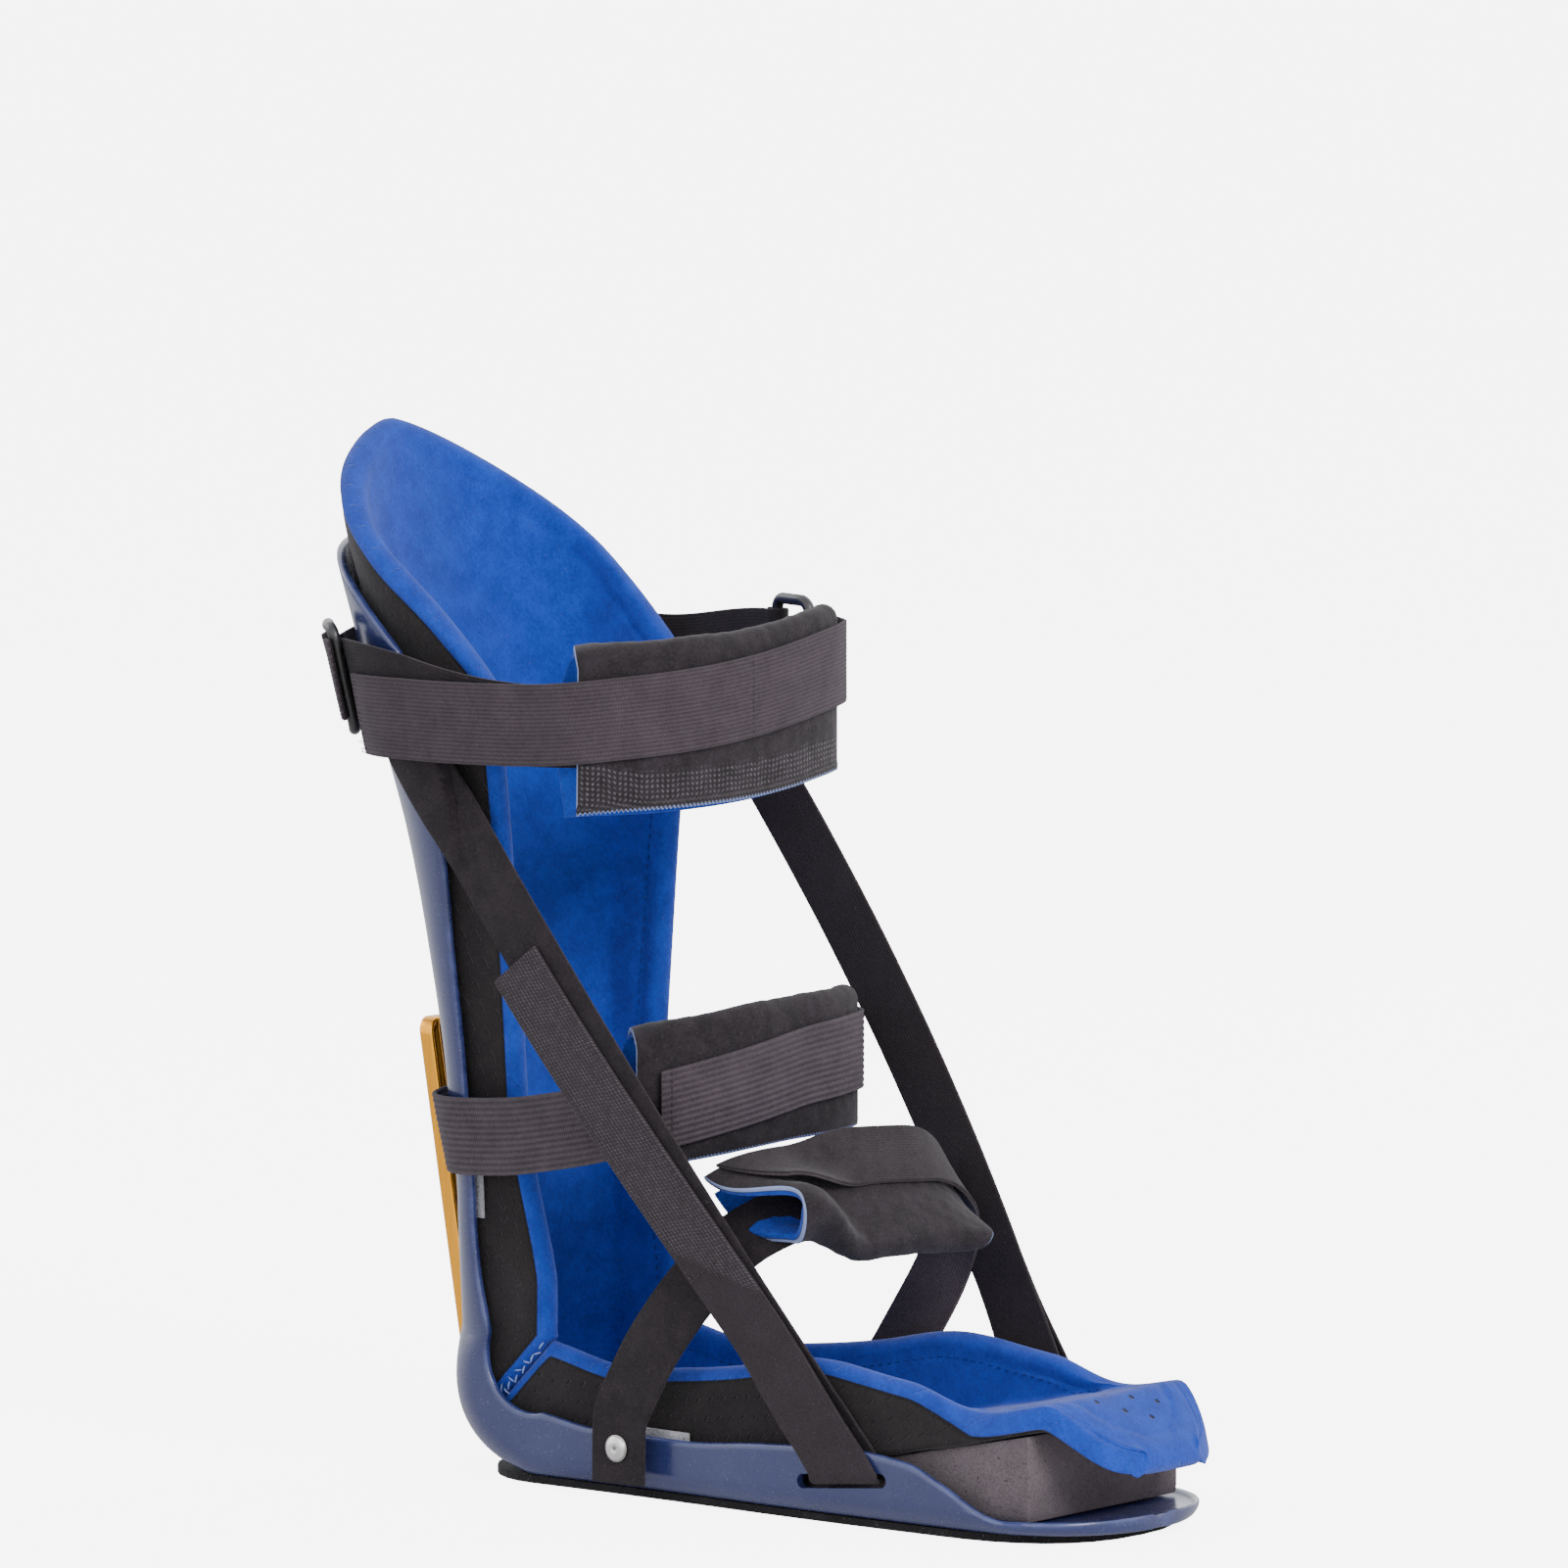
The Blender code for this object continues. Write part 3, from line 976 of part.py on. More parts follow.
def main():
    """Builds every piece."""
    clear_scene()
    navy = material("navy_plastic", (0.045, 0.075, 0.230), 0.35)
    rubber = material("black_rubber", (0.020, 0.020, 0.022), 0.8)
    foam = material("grey_foam", (0.055, 0.050, 0.055), 0.9)
    liner = material("liner_fabric", (0.020, 0.090, 0.560), 0.85)
    padding = material("pad_fabric", (0.022, 0.019, 0.022), 0.9)
    elastic = material("elastic_webbing", (0.060, 0.050, 0.056), 0.85)
    webbing = material("strap_webbing", (0.030, 0.026, 0.030), 0.85)
    plastic = material("ring_plastic", (0.015, 0.015, 0.015), 0.4)
    steel = material("rivet_steel", (0.75, 0.74, 0.72), 0.25, 1.0)
    gold = material("gold_aluminium", (0.83, 0.50, 0.10), 0.28, 1.0)
    white = material("tab_white", (0.70, 0.70, 0.72), 0.8)

    build_shell(navy)
    build_sole(rubber)
    build_wedge(foam)
    build_leg_liner(liner)
    build_foot_liner(liner)
    build_tabs(white)
    build_bar(gold)
    build_calf_straps(webbing, elastic, plastic)
    build_leg_pad("calf_pad", calf_point, calf_pad_level, CALF_PAD_TURNS, CALF_PAD_HALF, padding)
    build_ankle_strap(elastic)
    build_leg_pad("ankle_pad", ankle_point, ankle_pad_level, ANKLE_PAD_TURNS, ANKLE_PAD_HALF, padding)
    build_instep(webbing, padding)
    for row in zip(*DIAGONAL_ROWS.values()):
        build_diagonal(*row, webbing)
    build_rivets(steel)


main()
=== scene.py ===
"""Looks of a right foot's night splint: moulded shell, padded liner, foam wedge, gold back bar and soft straps.

Toes point to +X, the outer (near) side is -Y and +Z is up. Shapes are worked out in millimetres in the same
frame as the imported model, and become metres when a mesh is made.
"""

import logging
import math
from dataclasses import dataclass, field
from enum import Enum
from typing import Any, Callable, Mapping, Sequence

import bmesh
import bpy
import numpy as np
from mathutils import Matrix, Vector


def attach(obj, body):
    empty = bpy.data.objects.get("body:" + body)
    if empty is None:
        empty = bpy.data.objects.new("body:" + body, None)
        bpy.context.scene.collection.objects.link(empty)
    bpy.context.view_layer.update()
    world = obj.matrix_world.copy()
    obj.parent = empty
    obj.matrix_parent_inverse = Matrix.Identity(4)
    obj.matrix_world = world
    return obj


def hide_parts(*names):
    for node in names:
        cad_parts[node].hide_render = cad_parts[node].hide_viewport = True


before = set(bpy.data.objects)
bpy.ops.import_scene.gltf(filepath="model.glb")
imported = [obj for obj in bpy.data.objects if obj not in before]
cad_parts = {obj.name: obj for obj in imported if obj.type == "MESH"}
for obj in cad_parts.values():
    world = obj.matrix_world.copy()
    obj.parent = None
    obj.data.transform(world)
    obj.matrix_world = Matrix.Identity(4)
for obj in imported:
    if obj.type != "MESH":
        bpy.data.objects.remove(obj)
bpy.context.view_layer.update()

LOG = logging.getLogger("night_splint")
MM = 0.001
Array = np.ndarray
Rows = Mapping[str, Sequence[float | None]]
Relief = Callable[[Array, Array, Array, int], Array]


# Curves and steps

def smooth(rows_x: Sequence[float], rows_y: Sequence[float], x: Array | float) -> Array:
    """Value at x of the curve through the rows: cubic pieces whose slopes are the harmonic mean of the chords'.

    Args:
        rows_x: Rising places of the rows.
        rows_y: Values of the rows.
        x: Where the curve is read.

    Returns:
        The curve's values, which never overshoot the rows.
    """
    at, value = np.asarray(rows_x, float), np.asarray(rows_y, float)
    step = np.diff(at)
    chord = np.diff(value) / step
    same_way = chord[1:] * chord[:-1] > 0
    mean = 2 * chord[1:] * chord[:-1] / np.where(same_way, chord[1:] + chord[:-1], 1)
    slope = np.concatenate([chord[:1], np.where(same_way, mean, 0), chord[-1:]])
    x = np.clip(np.asarray(x, float), at[0], at[-1])
    k = np.clip(np.searchsorted(at, x, side="right") - 1, 0, len(step) - 1)
    t = (x - at[k]) / step[k]
    start = (1 + 2 * t) * (1 - t) ** 2 * value[k] + t * (1 - t) ** 2 * slope[k] * step[k]
    return start + t * t * (3 - 2 * t) * value[k + 1] + t * t * (t - 1) * slope[k + 1] * step[k]


def ease(value: Array | float, low: float, high: float) -> Array:
    """0 below low, 1 above high and 3t^2 - 2t^3 between them."""
    t = np.clip((np.asarray(value, float) - low) / (high - low), 0, 1)
    return t * t * (3 - 2 * t)


def bump_at(value: Array, centre: float, width: float) -> Array:
    """A bell of height 1: the value is exp(-((value - centre) / width)^2)."""
    return np.exp(-((value - centre) / width) ** 2)


def spaced(count: int, border: Array | float, steps: int = 4) -> Array:
    """Places from 0 to 1 that close up over a border at both ends, a row for each border.

    Formula: border * (1 - cos(a)) for a from 0 to 90 degrees, even steps, then the same mirrored.

    Args:
        count: Even places between the borders.
        border: Width of the border as a share of the whole.
        steps: Places inside each border.

    Returns:
        An array of rows by places.
    """
    border = np.minimum(np.atleast_1d(np.asarray(border, float)), 0.45)[:, None]
    first = border * (1 - np.cos(np.linspace(0, math.pi / 2, steps + 1)[:-1]))[None]
    middle = border + (1 - 2 * border) * np.linspace(0, 1, count)[None]
    return np.concatenate([first, middle, 1 - first[:, ::-1]], axis=1)


def wander(x: Array, y: Array, seed: int, pitch: float) -> Array:
    """Smooth uneven relief between about -1 and 1: a sum of five sine waves of seeded direction and phase.

    Args:
        x: First coordinate in millimetres.
        y: Second coordinate in millimetres.
        seed: Picks the waves.
        pitch: Typical length of a wave in millimetres.

    Returns:
        The relief at each place.
    """
    dice = np.random.default_rng(seed)
    total = np.zeros(np.broadcast(x, y).shape)
    for turn, phase, scale in zip(dice.uniform(0, math.pi, 5), dice.uniform(0, 6.28, 5), dice.uniform(0.6, 1.7, 5)):
        total += np.sin((x * math.cos(turn) + y * math.sin(turn)) * 2 * math.pi / (pitch * scale) + phase)
    return total / 3.0


# Meshes

def run_along(points: Array, axis: int) -> Array:
    """Length run along one direction of a grid: the summed distances between neighbours."""
    step = np.linalg.norm(np.diff(points, axis=axis), axis=-1)
    zero = np.zeros_like(np.take(step, [0], axis=axis))
    return np.concatenate([zero, np.cumsum(step, axis=axis)], axis=axis)


def grid_normals(points: Array) -> Array:
    """Unit normals of a grid: the cross product of its differences along rows and along columns."""
    normal = np.cross(np.gradient(points, axis=0), np.gradient(points, axis=1))
    return normal / np.maximum(np.linalg.norm(normal, axis=-1, keepdims=True), 1e-9)


def border_ring(rows: int, columns: int) -> Array:
    """Numbers of a grid's border points, in order round it."""
    number = np.arange(rows * columns).reshape(rows, columns)
    return np.concatenate([number[0, :], number[1:, -1], number[-1, -2::-1], number[-2:0:-1, 0]])


def make_object(name: str, points: Array, faces: Sequence[Sequence[int]], sharp: float = 50.0) -> bpy.types.Object:
    """An object at the origin from points in millimetres.

    Args:
        name: Name of the object.
        points: Points in millimetres, n by 3.
        faces: Point numbers of each face.
        sharp: Edges that turn by more degrees than this stay sharp.

    Returns:
        The object, linked into the scene, with its faces turned outward.
    """
    mesh = bpy.data.meshes.new(name)
    mesh.from_pydata((np.asarray(points) * MM).tolist(), [], faces)
    made = bpy.data.objects.new(name, mesh)
    bpy.context.scene.collection.objects.link(made)
    tidy_mesh(mesh, [])
    mesh.shade_smooth()
    mesh.set_sharp_from_angle(angle=math.radians(sharp))
    return made


def tidy_mesh(mesh: bpy.types.Mesh, merged: Sequence[int]) -> None:
    """Merges the listed points where they coincide, and turns the faces outward."""
    tidy = bmesh.new()
    tidy.from_mesh(mesh)
    tidy.verts.ensure_lookup_table()
    if len(merged):
        bmesh.ops.remove_doubles(tidy, verts=[tidy.verts[i] for i in merged], dist=2e-6)
    bmesh.ops.recalc_face_normals(tidy, faces=tidy.faces)
    tidy.to_mesh(mesh)
    tidy.free()


def write_layers(mesh: bpy.types.Mesh, along: Array, across: Array, values: Mapping[str, Array]) -> None:
    """Gives a mesh a UV map in metres and named values at its points."""
    uv = mesh.uv_layers.new(name="cloth")
    corner = np.zeros(len(mesh.loops), np.int32)
    mesh.loops.foreach_get("vertex_index", corner)
    uv.data.foreach_set("uv", (np.stack([along, across], axis=-1)[corner] * MM).ravel())
    for key, value in values.items():
        layer = mesh.attributes.new(key, "FLOAT", "POINT")
        layer.data.foreach_set("value", np.asarray(value, np.float32).ravel())


def make_wall(name: str, at_depth: Callable[[Array], Array], shape: tuple[int, int], thickness: float,
              rounding: float, relief: Relief | None = None, outline: bool = True,
              round_ends: bool = True) -> bpy.types.Object:
    """A closed wall of even thickness t between two faces whose borders are rounded by r.

    Formula: at a distance d from the border each face stands t/2 - r + sqrt(r^2 - (r - min(d, r))^2) from the
    middle surface, plus its relief.

    Args:
        name: Name of the object.
        at_depth: Points of the wall at depths from 0, its first face, to its thickness.
        shape: Rows and columns of the grid.
        thickness: Of the wall, in millimetres.
        rounding: Radius of its borders.
        relief: Height added to a face, from the distance to the border, the two runs and the face, +1 or -1.
        outline: Distances are straight to the outline; otherwise they run along rows and columns.
        round_ends: Rounds the first and last row as well.

    Returns:
        The object, with a UV map in metres and the values side (0 first face, 1 second) and edge (millimetres).
    """
    middle = at_depth(np.full(shape, thickness / 2))
    run_u, run_v = run_along(middle, 0), run_along(middle, 1)
    ring = border_ring(*shape)
    to_side = np.minimum(run_v, run_v[:, -1:] - run_v)
    to_end = np.minimum(run_u, run_u[-1:] - run_u)
    if outline:
        flat = middle.reshape(-1, 3)
        rim = flat[ring]
        square = (flat ** 2).sum(1)[:, None] + (rim ** 2).sum(1)[None] - 2 * flat @ rim.T
        edge = np.sqrt(np.maximum(square.min(axis=1), 0)).reshape(shape)
        edge.reshape(-1)[ring] = 0.0
    else:
        edge = np.minimum(to_side, to_end) if round_ends else to_side
    near = np.clip(edge, 0, rounding)
    half = thickness / 2 - rounding + np.sqrt(np.maximum(rounding ** 2 - (rounding - near) ** 2, 0))
    centred = run_v - run_v[:, -1:] / 2
    raised = [relief(edge, run_u, centred, s) if relief else 0.0 for s in (1, -1)]
    faces_at = [at_depth(thickness / 2 - half - raised[0]), at_depth(thickness / 2 + half + raised[1])]
    rows, columns = shape
    base = rows * columns
    a = (np.arange(rows - 1)[:, None] * columns + np.arange(columns - 1)[None]).ravel()
    quads = np.stack([a, a + 1, a + columns + 1, a + columns], axis=1)
    after = np.roll(ring, -1)
    strip = np.stack([after, ring, ring + base, after + base], axis=1)
    closed = rounding > thickness / 2 - 1e-6 and (outline or round_ends)
    faces = np.concatenate([quads, base + quads[:, ::-1]] + ([] if closed else [strip]))
    mesh = bpy.data.meshes.new(name)
    mesh.from_pydata((np.concatenate([f.reshape(-1, 3) for f in faces_at]) * MM).tolist(), [], faces.tolist())
    both = [np.concatenate([v.ravel(), v.ravel()]) for v in (run_u, centred, edge)]
    side = np.concatenate([np.zeros(base), np.ones(base)])
    write_layers(mesh, both[0], both[1], {"edge": both[2], "side": side})
    tidy_mesh(mesh, np.concatenate([ring, ring + base]).tolist())
    made = bpy.data.objects.new(name, mesh)
    bpy.context.scene.collection.objects.link(made)
    mesh.shade_smooth()
    mesh.set_sharp_from_angle(angle=math.radians(55))
    return made


def make_ribbon(name: str, middle: Array, thickness: float, rounding: float, relief: Relief | None = None,
                round_ends: bool = False, flip: bool = False) -> bpy.types.Object:
    """A strap or folded cloth: a wall offset along the normals of its middle surface's grid.

    Args:
        name: Name of the object.
        middle: Grid of the middle surface, rows by columns by 3.
        thickness: Of the cloth.
        rounding: Radius of its selvedges.
        relief: As in make_wall.
        round_ends: Rounds the two ends as well.
        flip: Swaps the first and the second face.

    Returns:
        The object.
    """
    normal = grid_normals(middle) * (-1 if flip else 1)

    def at_depth(depth: Array) -> Array:
        """Points at a depth below the first face."""
        return middle + normal * (thickness / 2 - depth)[..., None]

    return make_wall(name, at_depth, middle.shape[:2], thickness, rounding, relief, False, round_ends)


def make_tube(name: str, path: Array, radius: Array | float, sides: int, closed: bool) -> bpy.types.Object:
    """A tube of round section along a path: each ring is the path's point plus r (cos a, sin a) in its own frame.

    Args:
        name: Name of the object.
        path: Points of the centre line, n by 3.
        radius: Of the tube, one value or one for each point.
        sides: Points of a ring.
        closed: Joins the end to the start.

    Returns:
        The object.
    """
    points, faces = tube_parts(path, radius, sides, closed)
    made = make_object(name, points, faces)
    write_layers(made.data, points[:, 0], points[:, 2], {})
    return made


def tube_parts(path: Array, radius: Array | float, sides: int, closed: bool) -> tuple[Array, list[list[int]]]:
    """Points and faces of a tube; see make_tube."""
    count = len(path)
    ahead = np.roll(path, -1, 0) - np.roll(path, 1, 0) if closed else np.gradient(path, axis=0)
    ahead = ahead / np.linalg.norm(ahead, axis=1, keepdims=True)
    spread = np.cov(path.T)
    across = np.linalg.eigh(spread)[1][:, 0]
    beside = np.cross(ahead, across)
    beside /= np.linalg.norm(beside, axis=1, keepdims=True)
    up = np.cross(beside, ahead)
    spin = np.linspace(0, 2 * math.pi, sides, endpoint=False)
    radius = np.broadcast_to(np.asarray(radius, float), (count,))[:, None, None]
    ring = path[:, None] + radius * (np.cos(spin)[None, :, None] * up[:, None]
                                     + np.sin(spin)[None, :, None] * beside[:, None])
    rows = count if closed else count - 1
    i, j = np.meshgrid(np.arange(rows), np.arange(sides), indexing="ij")
    n, k = (i + 1) % count, (j + 1) % sides
    faces = np.stack([i * sides + j, n * sides + j, n * sides + k, i * sides + k], axis=-1).reshape(-1, 4).tolist()
    if not closed:
        faces += [list(range(sides)), list(range((count - 1) * sides, count * sides))]
    return ring.reshape(-1, 3), faces


def make_stitches(name: str, runs: Sequence[tuple[Array, Array]], length: float, pitch: float,
                  radius: float) -> bpy.types.Object:
    """A row of thread stitches along each run, as one mesh of small arched grains with tapering ends.

    Formula: along its axis a grain of length l has the radius r sin(pi t)^0.5 and rises by r sin(pi t).

    Args:
        name: Name of the object.
        runs: Pairs of a polyline and its outward normals, both n by 3.
        length: Of a stitch.
        pitch: Distance between stitches.
        radius: Of the thread.

    Returns:
        The object.
    """
    sides, steps = 6, 5
    t = np.linspace(0.04, 0.96, steps)
    swell = np.sin(math.pi * t)
    spin = np.linspace(0, 2 * math.pi, sides, endpoint=False)
    points, faces = [], []
    grain_size = sides * steps
    i, j = np.meshgrid(np.arange(steps - 1), np.arange(sides), indexing="ij")
    side_faces = np.stack([i * sides + j, (i + 1) * sides + j, (i + 1) * sides + (j + 1) % sides,
                           i * sides + (j + 1) % sides], axis=-1).reshape(-1, 4)
    total = 0
    for line, outward in runs:
        run = run_along(line, 0)
        places = np.arange(pitch / 2, run[-1], pitch)
        middle, out = (np.stack([np.interp(places, run, a[:, k]) for k in range(3)], -1) for a in (line, outward))
        ahead = np.stack([np.interp(places + 0.5, run, line[:, k]) - np.interp(places - 0.5, run, line[:, k])
                          for k in range(3)], -1)
        ahead /= np.maximum(np.linalg.norm(ahead, axis=1, keepdims=True), 1e-9)
        out /= np.maximum(np.linalg.norm(out, axis=1, keepdims=True), 1e-9)
        beside = np.cross(ahead, out)
        core = (middle[:, None] + ahead[:, None] * ((t - 0.5) * length)[None, :, None]
                + out[:, None] * (radius * (swell - 0.3))[None, :, None])
        wide = (radius * np.sqrt(swell))[None, :, None, None]
        ring = core[:, :, None] + wide * (np.cos(spin)[None, None, :, None] * out[:, None, None]
                                          + np.sin(spin)[None, None, :, None] * beside[:, None, None])
        points.append(ring.reshape(-1, 3))
        starts = total + np.arange(len(places)) * grain_size
        faces += (side_faces[None] + starts[:, None, None]).reshape(-1, 4).tolist()
        for cap in (np.arange(sides), np.arange(grain_size - sides, grain_size)):
            faces += (cap[None] + starts[:, None]).tolist()
        total += len(places) * grain_size
    made = make_object(name, np.concatenate(points), faces)
    write_layers(made.data, np.zeros(total), np.zeros(total), {})
    return made


def settle(piece: bpy.types.Object, slot: str, *nodes: str) -> bpy.types.Object:
    """Lets a piece ride on the only body, hides the CAD nodes that it stands for, and reports it."""
    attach(piece, "root")
    if nodes:
        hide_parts(*nodes)
    LOG.info("%s: %d faces", piece.name, len(piece.data.polygons))
    return piece


# Shader graphs

def srgb(code: str) -> tuple[float, float, float, float]:
    """Linear colour of a six-digit screen colour such as 3d4a80."""
    parts = [int(code[i:i + 2], 16) / 255 for i in (0, 2, 4)]
    linear = [c / 12.92 if c <= 0.04045 else ((c + 0.055) / 1.055) ** 2.4 for c in parts]
    return (*linear, 1.0)


class Graph:
    """A shader tree with short calls that add a node and link its inputs."""

    def __init__(self, tree: bpy.types.NodeTree) -> None:
        """Wraps a tree."""
        self.tree = tree

    def feed(self, socket: bpy.types.NodeSocket, value: Any) -> None:
        """Links a socket to another, or sets its value."""
        if isinstance(value, bpy.types.NodeSocket):
            self.tree.links.new(value, socket)
        elif value is not None:
            socket.default_value = value

    def node(self, kind: str, inputs: Mapping[str | int, Any] | None = None, **settings: Any) -> bpy.types.Node:
        """Adds a node.

        Args:
            kind: Its type.
            inputs: Values or sockets for its inputs, by name or number.
            settings: Its properties.

        Returns:
            The node.
        """
        made = self.tree.nodes.new(kind)
        for key, value in settings.items():
            setattr(made, key, value)
        for key, value in (inputs or {}).items():
            self.feed(made.inputs[key], value)
        return made

    def math(self, operation: str, *values: Any, clamp: bool = False) -> bpy.types.NodeSocket:
        """Result of a math node."""
        return self.node("ShaderNodeMath", dict(enumerate(values)), operation=operation, use_clamp=clamp).outputs[0]

    def mix(self, factor: Any, first: Any, second: Any, blend: str = "MIX") -> bpy.types.NodeSocket:
        """Mix of two colours."""
        made = self.node("ShaderNodeMix", data_type="RGBA", blend_type=blend, clamp_factor=True)
        for number, value in ((0, factor), (6, first), (7, second)):
            self.feed(made.inputs[number], value)
        return made.outputs[2]

    def between(self, value: Any, low: float, high: float, start: float = 0.0, end: float = 1.0) -> Any:
        """A smooth step from start at low to end at high."""
        return self.node("ShaderNodeMapRange", {0: value, 1: low, 2: high, 3: start, 4: end},
                         interpolation_type="SMOOTHSTEP").outputs[0]

    def noise(self, vector: Any, scale: Any, detail: float = 3.0, roughness: float = 0.6) -> bpy.types.NodeSocket:
        """Value of a noise texture, from 0 to 1."""
        return self.node("ShaderNodeTexNoise", {"Vector": vector, "Scale": scale, "Detail": detail,
                                                "Roughness": roughness}).outputs[0]

    def wave(self, value: Any, pitch: Any) -> bpy.types.NodeSocket:
        """0.5 + 0.5 cos(2 pi value / pitch)."""
        turn = self.math("MULTIPLY", self.math("DIVIDE", value, pitch), 2 * math.pi)
        return self.math("MULTIPLY_ADD", self.math("COSINE", turn), 0.5, 0.5)


def new_group(name: str, inputs: Sequence[tuple[str, str, Any]],
              outputs: Sequence[str]) -> tuple[Graph, bpy.types.NodeTree, Mapping[str, Any], bpy.types.Node]:
    """Starts a shader node group.

    Args:
        name: Of the group.
        inputs: Name, kind (Float or Vector) and default of each input.
        outputs: Names of its float outputs.

    Returns:
        Its graph, its tree, its input sockets by name and its output node.
    """
    tree = bpy.data.node_groups.new(name, "ShaderNodeTree")
    for label, kind, default in inputs:
        socket = tree.interface.new_socket(label, in_out="INPUT", socket_type=f"NodeSocket{kind}")
        if default is not None:
            socket.default_value = default
    for label in outputs:
        tree.interface.new_socket(label, in_out="OUTPUT", socket_type="NodeSocketFloat")
    graph = Graph(tree)
    entry = graph.node("NodeGroupInput")
    leave = graph.node("NodeGroupOutput")
    return graph, tree, {label: entry.outputs[label] for label, _, _ in inputs}, leave


class Effects:
    """Shader node groups that several materials share, each built once."""

    def __init__(self) -> None:
        """Builds the groups."""
        self.fuzz = self.build_fuzz()
        self.weave = self.build_weave()
        self.holes = self.build_holes()
        self.hooks = self.build_hooks()
        self.wear = self.build_wear()
        self.dust = self.build_dust()

    @staticmethod
    def build_fuzz() -> bpy.types.NodeTree:
        """Brushed fibres: fine noise stretched one way over a coarser one."""
        graph, tree, given, leave = new_group("brushed_fibres", [("Vector", "Vector", None), ("Scale", "Float", 900.0)],
                                              ["Tone", "Height"])
        fine = graph.noise(given["Vector"], given["Scale"], 4.0, 0.7)
        coarse = graph.noise(given["Vector"], graph.math("MULTIPLY", given["Scale"], 0.13), 2.0)
        pile = graph.noise(given["Vector"], graph.math("MULTIPLY", given["Scale"], 2.3), 1.0)
        graph.feed(leave.inputs["Tone"], graph.math("MULTIPLY_ADD", coarse, 0.45, graph.math("MULTIPLY", fine, 0.55)))
        graph.feed(leave.inputs["Height"], graph.math("MULTIPLY_ADD", pile, 0.4, fine))
        return tree

    @staticmethod
    def build_weave() -> bpy.types.NodeTree:
        """Woven threads: cross threads that pass over and under in turn between lengthwise cords."""
        graph, tree, given, leave = new_group(
            "woven_threads", [("U", "Float", 0.0), ("V", "Float", 0.0), ("Cross Pitch", "Float", 0.0009),
                              ("Cord Pitch", "Float", 0.0012)], ["Tone", "Height"])
        cross = graph.wave(given["U"], given["Cross Pitch"])
        cord = graph.wave(given["V"], given["Cord Pitch"])
        twice = graph.math("MULTIPLY", given["Cord Pitch"], 2.0)
        turn = graph.wave(graph.math("ADD", given["U"], graph.math("MULTIPLY", given["Cross Pitch"], 0.5)),
                          given["Cross Pitch"])
        over = graph.math("GREATER_THAN", graph.wave(given["V"], twice), 0.5)
        thread = graph.math("ADD", graph.math("MULTIPLY", cross, over),
                            graph.math("MULTIPLY", turn, graph.math("SUBTRACT", 1.0, over)))
        graph.feed(leave.inputs["Tone"], graph.math("MULTIPLY_ADD", cord, 0.5, graph.math("MULTIPLY", thread, 0.5)))
        graph.feed(leave.inputs["Height"], graph.math("MULTIPLY_ADD", cord, 0.6, graph.math("MULTIPLY", thread, 0.5)))
        return tree

    @staticmethod
    def build_holes() -> bpy.types.NodeTree:
        """Punched holes on a staggered lattice: 1 inside each disc, 0 outside."""
        graph, tree, given, leave = new_group(
            "punched_holes", [("U", "Float", 0.0), ("V", "Float", 0.0), ("Pitch", "Float", 0.006),
                              ("Radius", "Float", 0.0006)], ["Mask"])
        row = graph.math("FLOOR", graph.math("DIVIDE", given["V"], given["Pitch"]))
        shift = graph.math("MULTIPLY", graph.math("MULTIPLY", graph.math("MODULO", row, 2.0), 0.5), given["Pitch"])
        cells = []
        for value in (graph.math("ADD", given["U"], shift), given["V"]):
            share = graph.math("FRACT", graph.math("DIVIDE", value, given["Pitch"]))
            cells.append(graph.math("MULTIPLY", graph.math("SUBTRACT", share, 0.5), given["Pitch"]))
        far = graph.math("SQRT", graph.math("ADD", graph.math("POWER", cells[0], 2.0),
                                            graph.math("POWER", cells[1], 2.0)))
        ratio = graph.math("DIVIDE", far, given["Radius"])
        graph.feed(leave.inputs["Mask"], graph.between(ratio, 0.75, 1.15, 1.0, 0.0))
        return tree

    @staticmethod
    def build_hooks() -> bpy.types.NodeTree:
        """Moulded hooks: small round heads in a square lattice, uneven from head to head."""
        graph, tree, given, leave = new_group(
            "hook_heads", [("U", "Float", 0.0), ("V", "Float", 0.0), ("Vector", "Vector", None),
                           ("Pitch", "Float", 0.0013)], ["Tone", "Height"])
        lattice = graph.math("MULTIPLY", graph.wave(given["U"], given["Pitch"]), graph.wave(given["V"], given["Pitch"]))
        uneven = graph.noise(given["Vector"], 420.0, 2.0)
        heads = graph.math("MULTIPLY", graph.math("POWER", lattice, 1.5), graph.between(uneven, 0.3, 0.7, 0.35, 1.0))
        graph.feed(leave.inputs["Tone"], heads)
        graph.feed(leave.inputs["Height"], heads)
        return tree

    @staticmethod
    def build_wear() -> bpy.types.NodeTree:
        """Rubbed edges: 1 on the border, broken up by noise, falling to 0 within the width."""
        graph, tree, given, leave = new_group(
            "edge_wear", [("Vector", "Vector", None), ("Edge", "Float", 10.0), ("Width", "Float", 1.5)], ["Mask"])
        broken = graph.between(graph.noise(given["Vector"], 90.0, 4.0), 0.35, 0.7)
        near = graph.math("SUBTRACT", 1.0, graph.math("DIVIDE", given["Edge"], given["Width"]), clamp=True)
        graph.feed(leave.inputs["Mask"], graph.math("MULTIPLY", near, broken))
        return tree

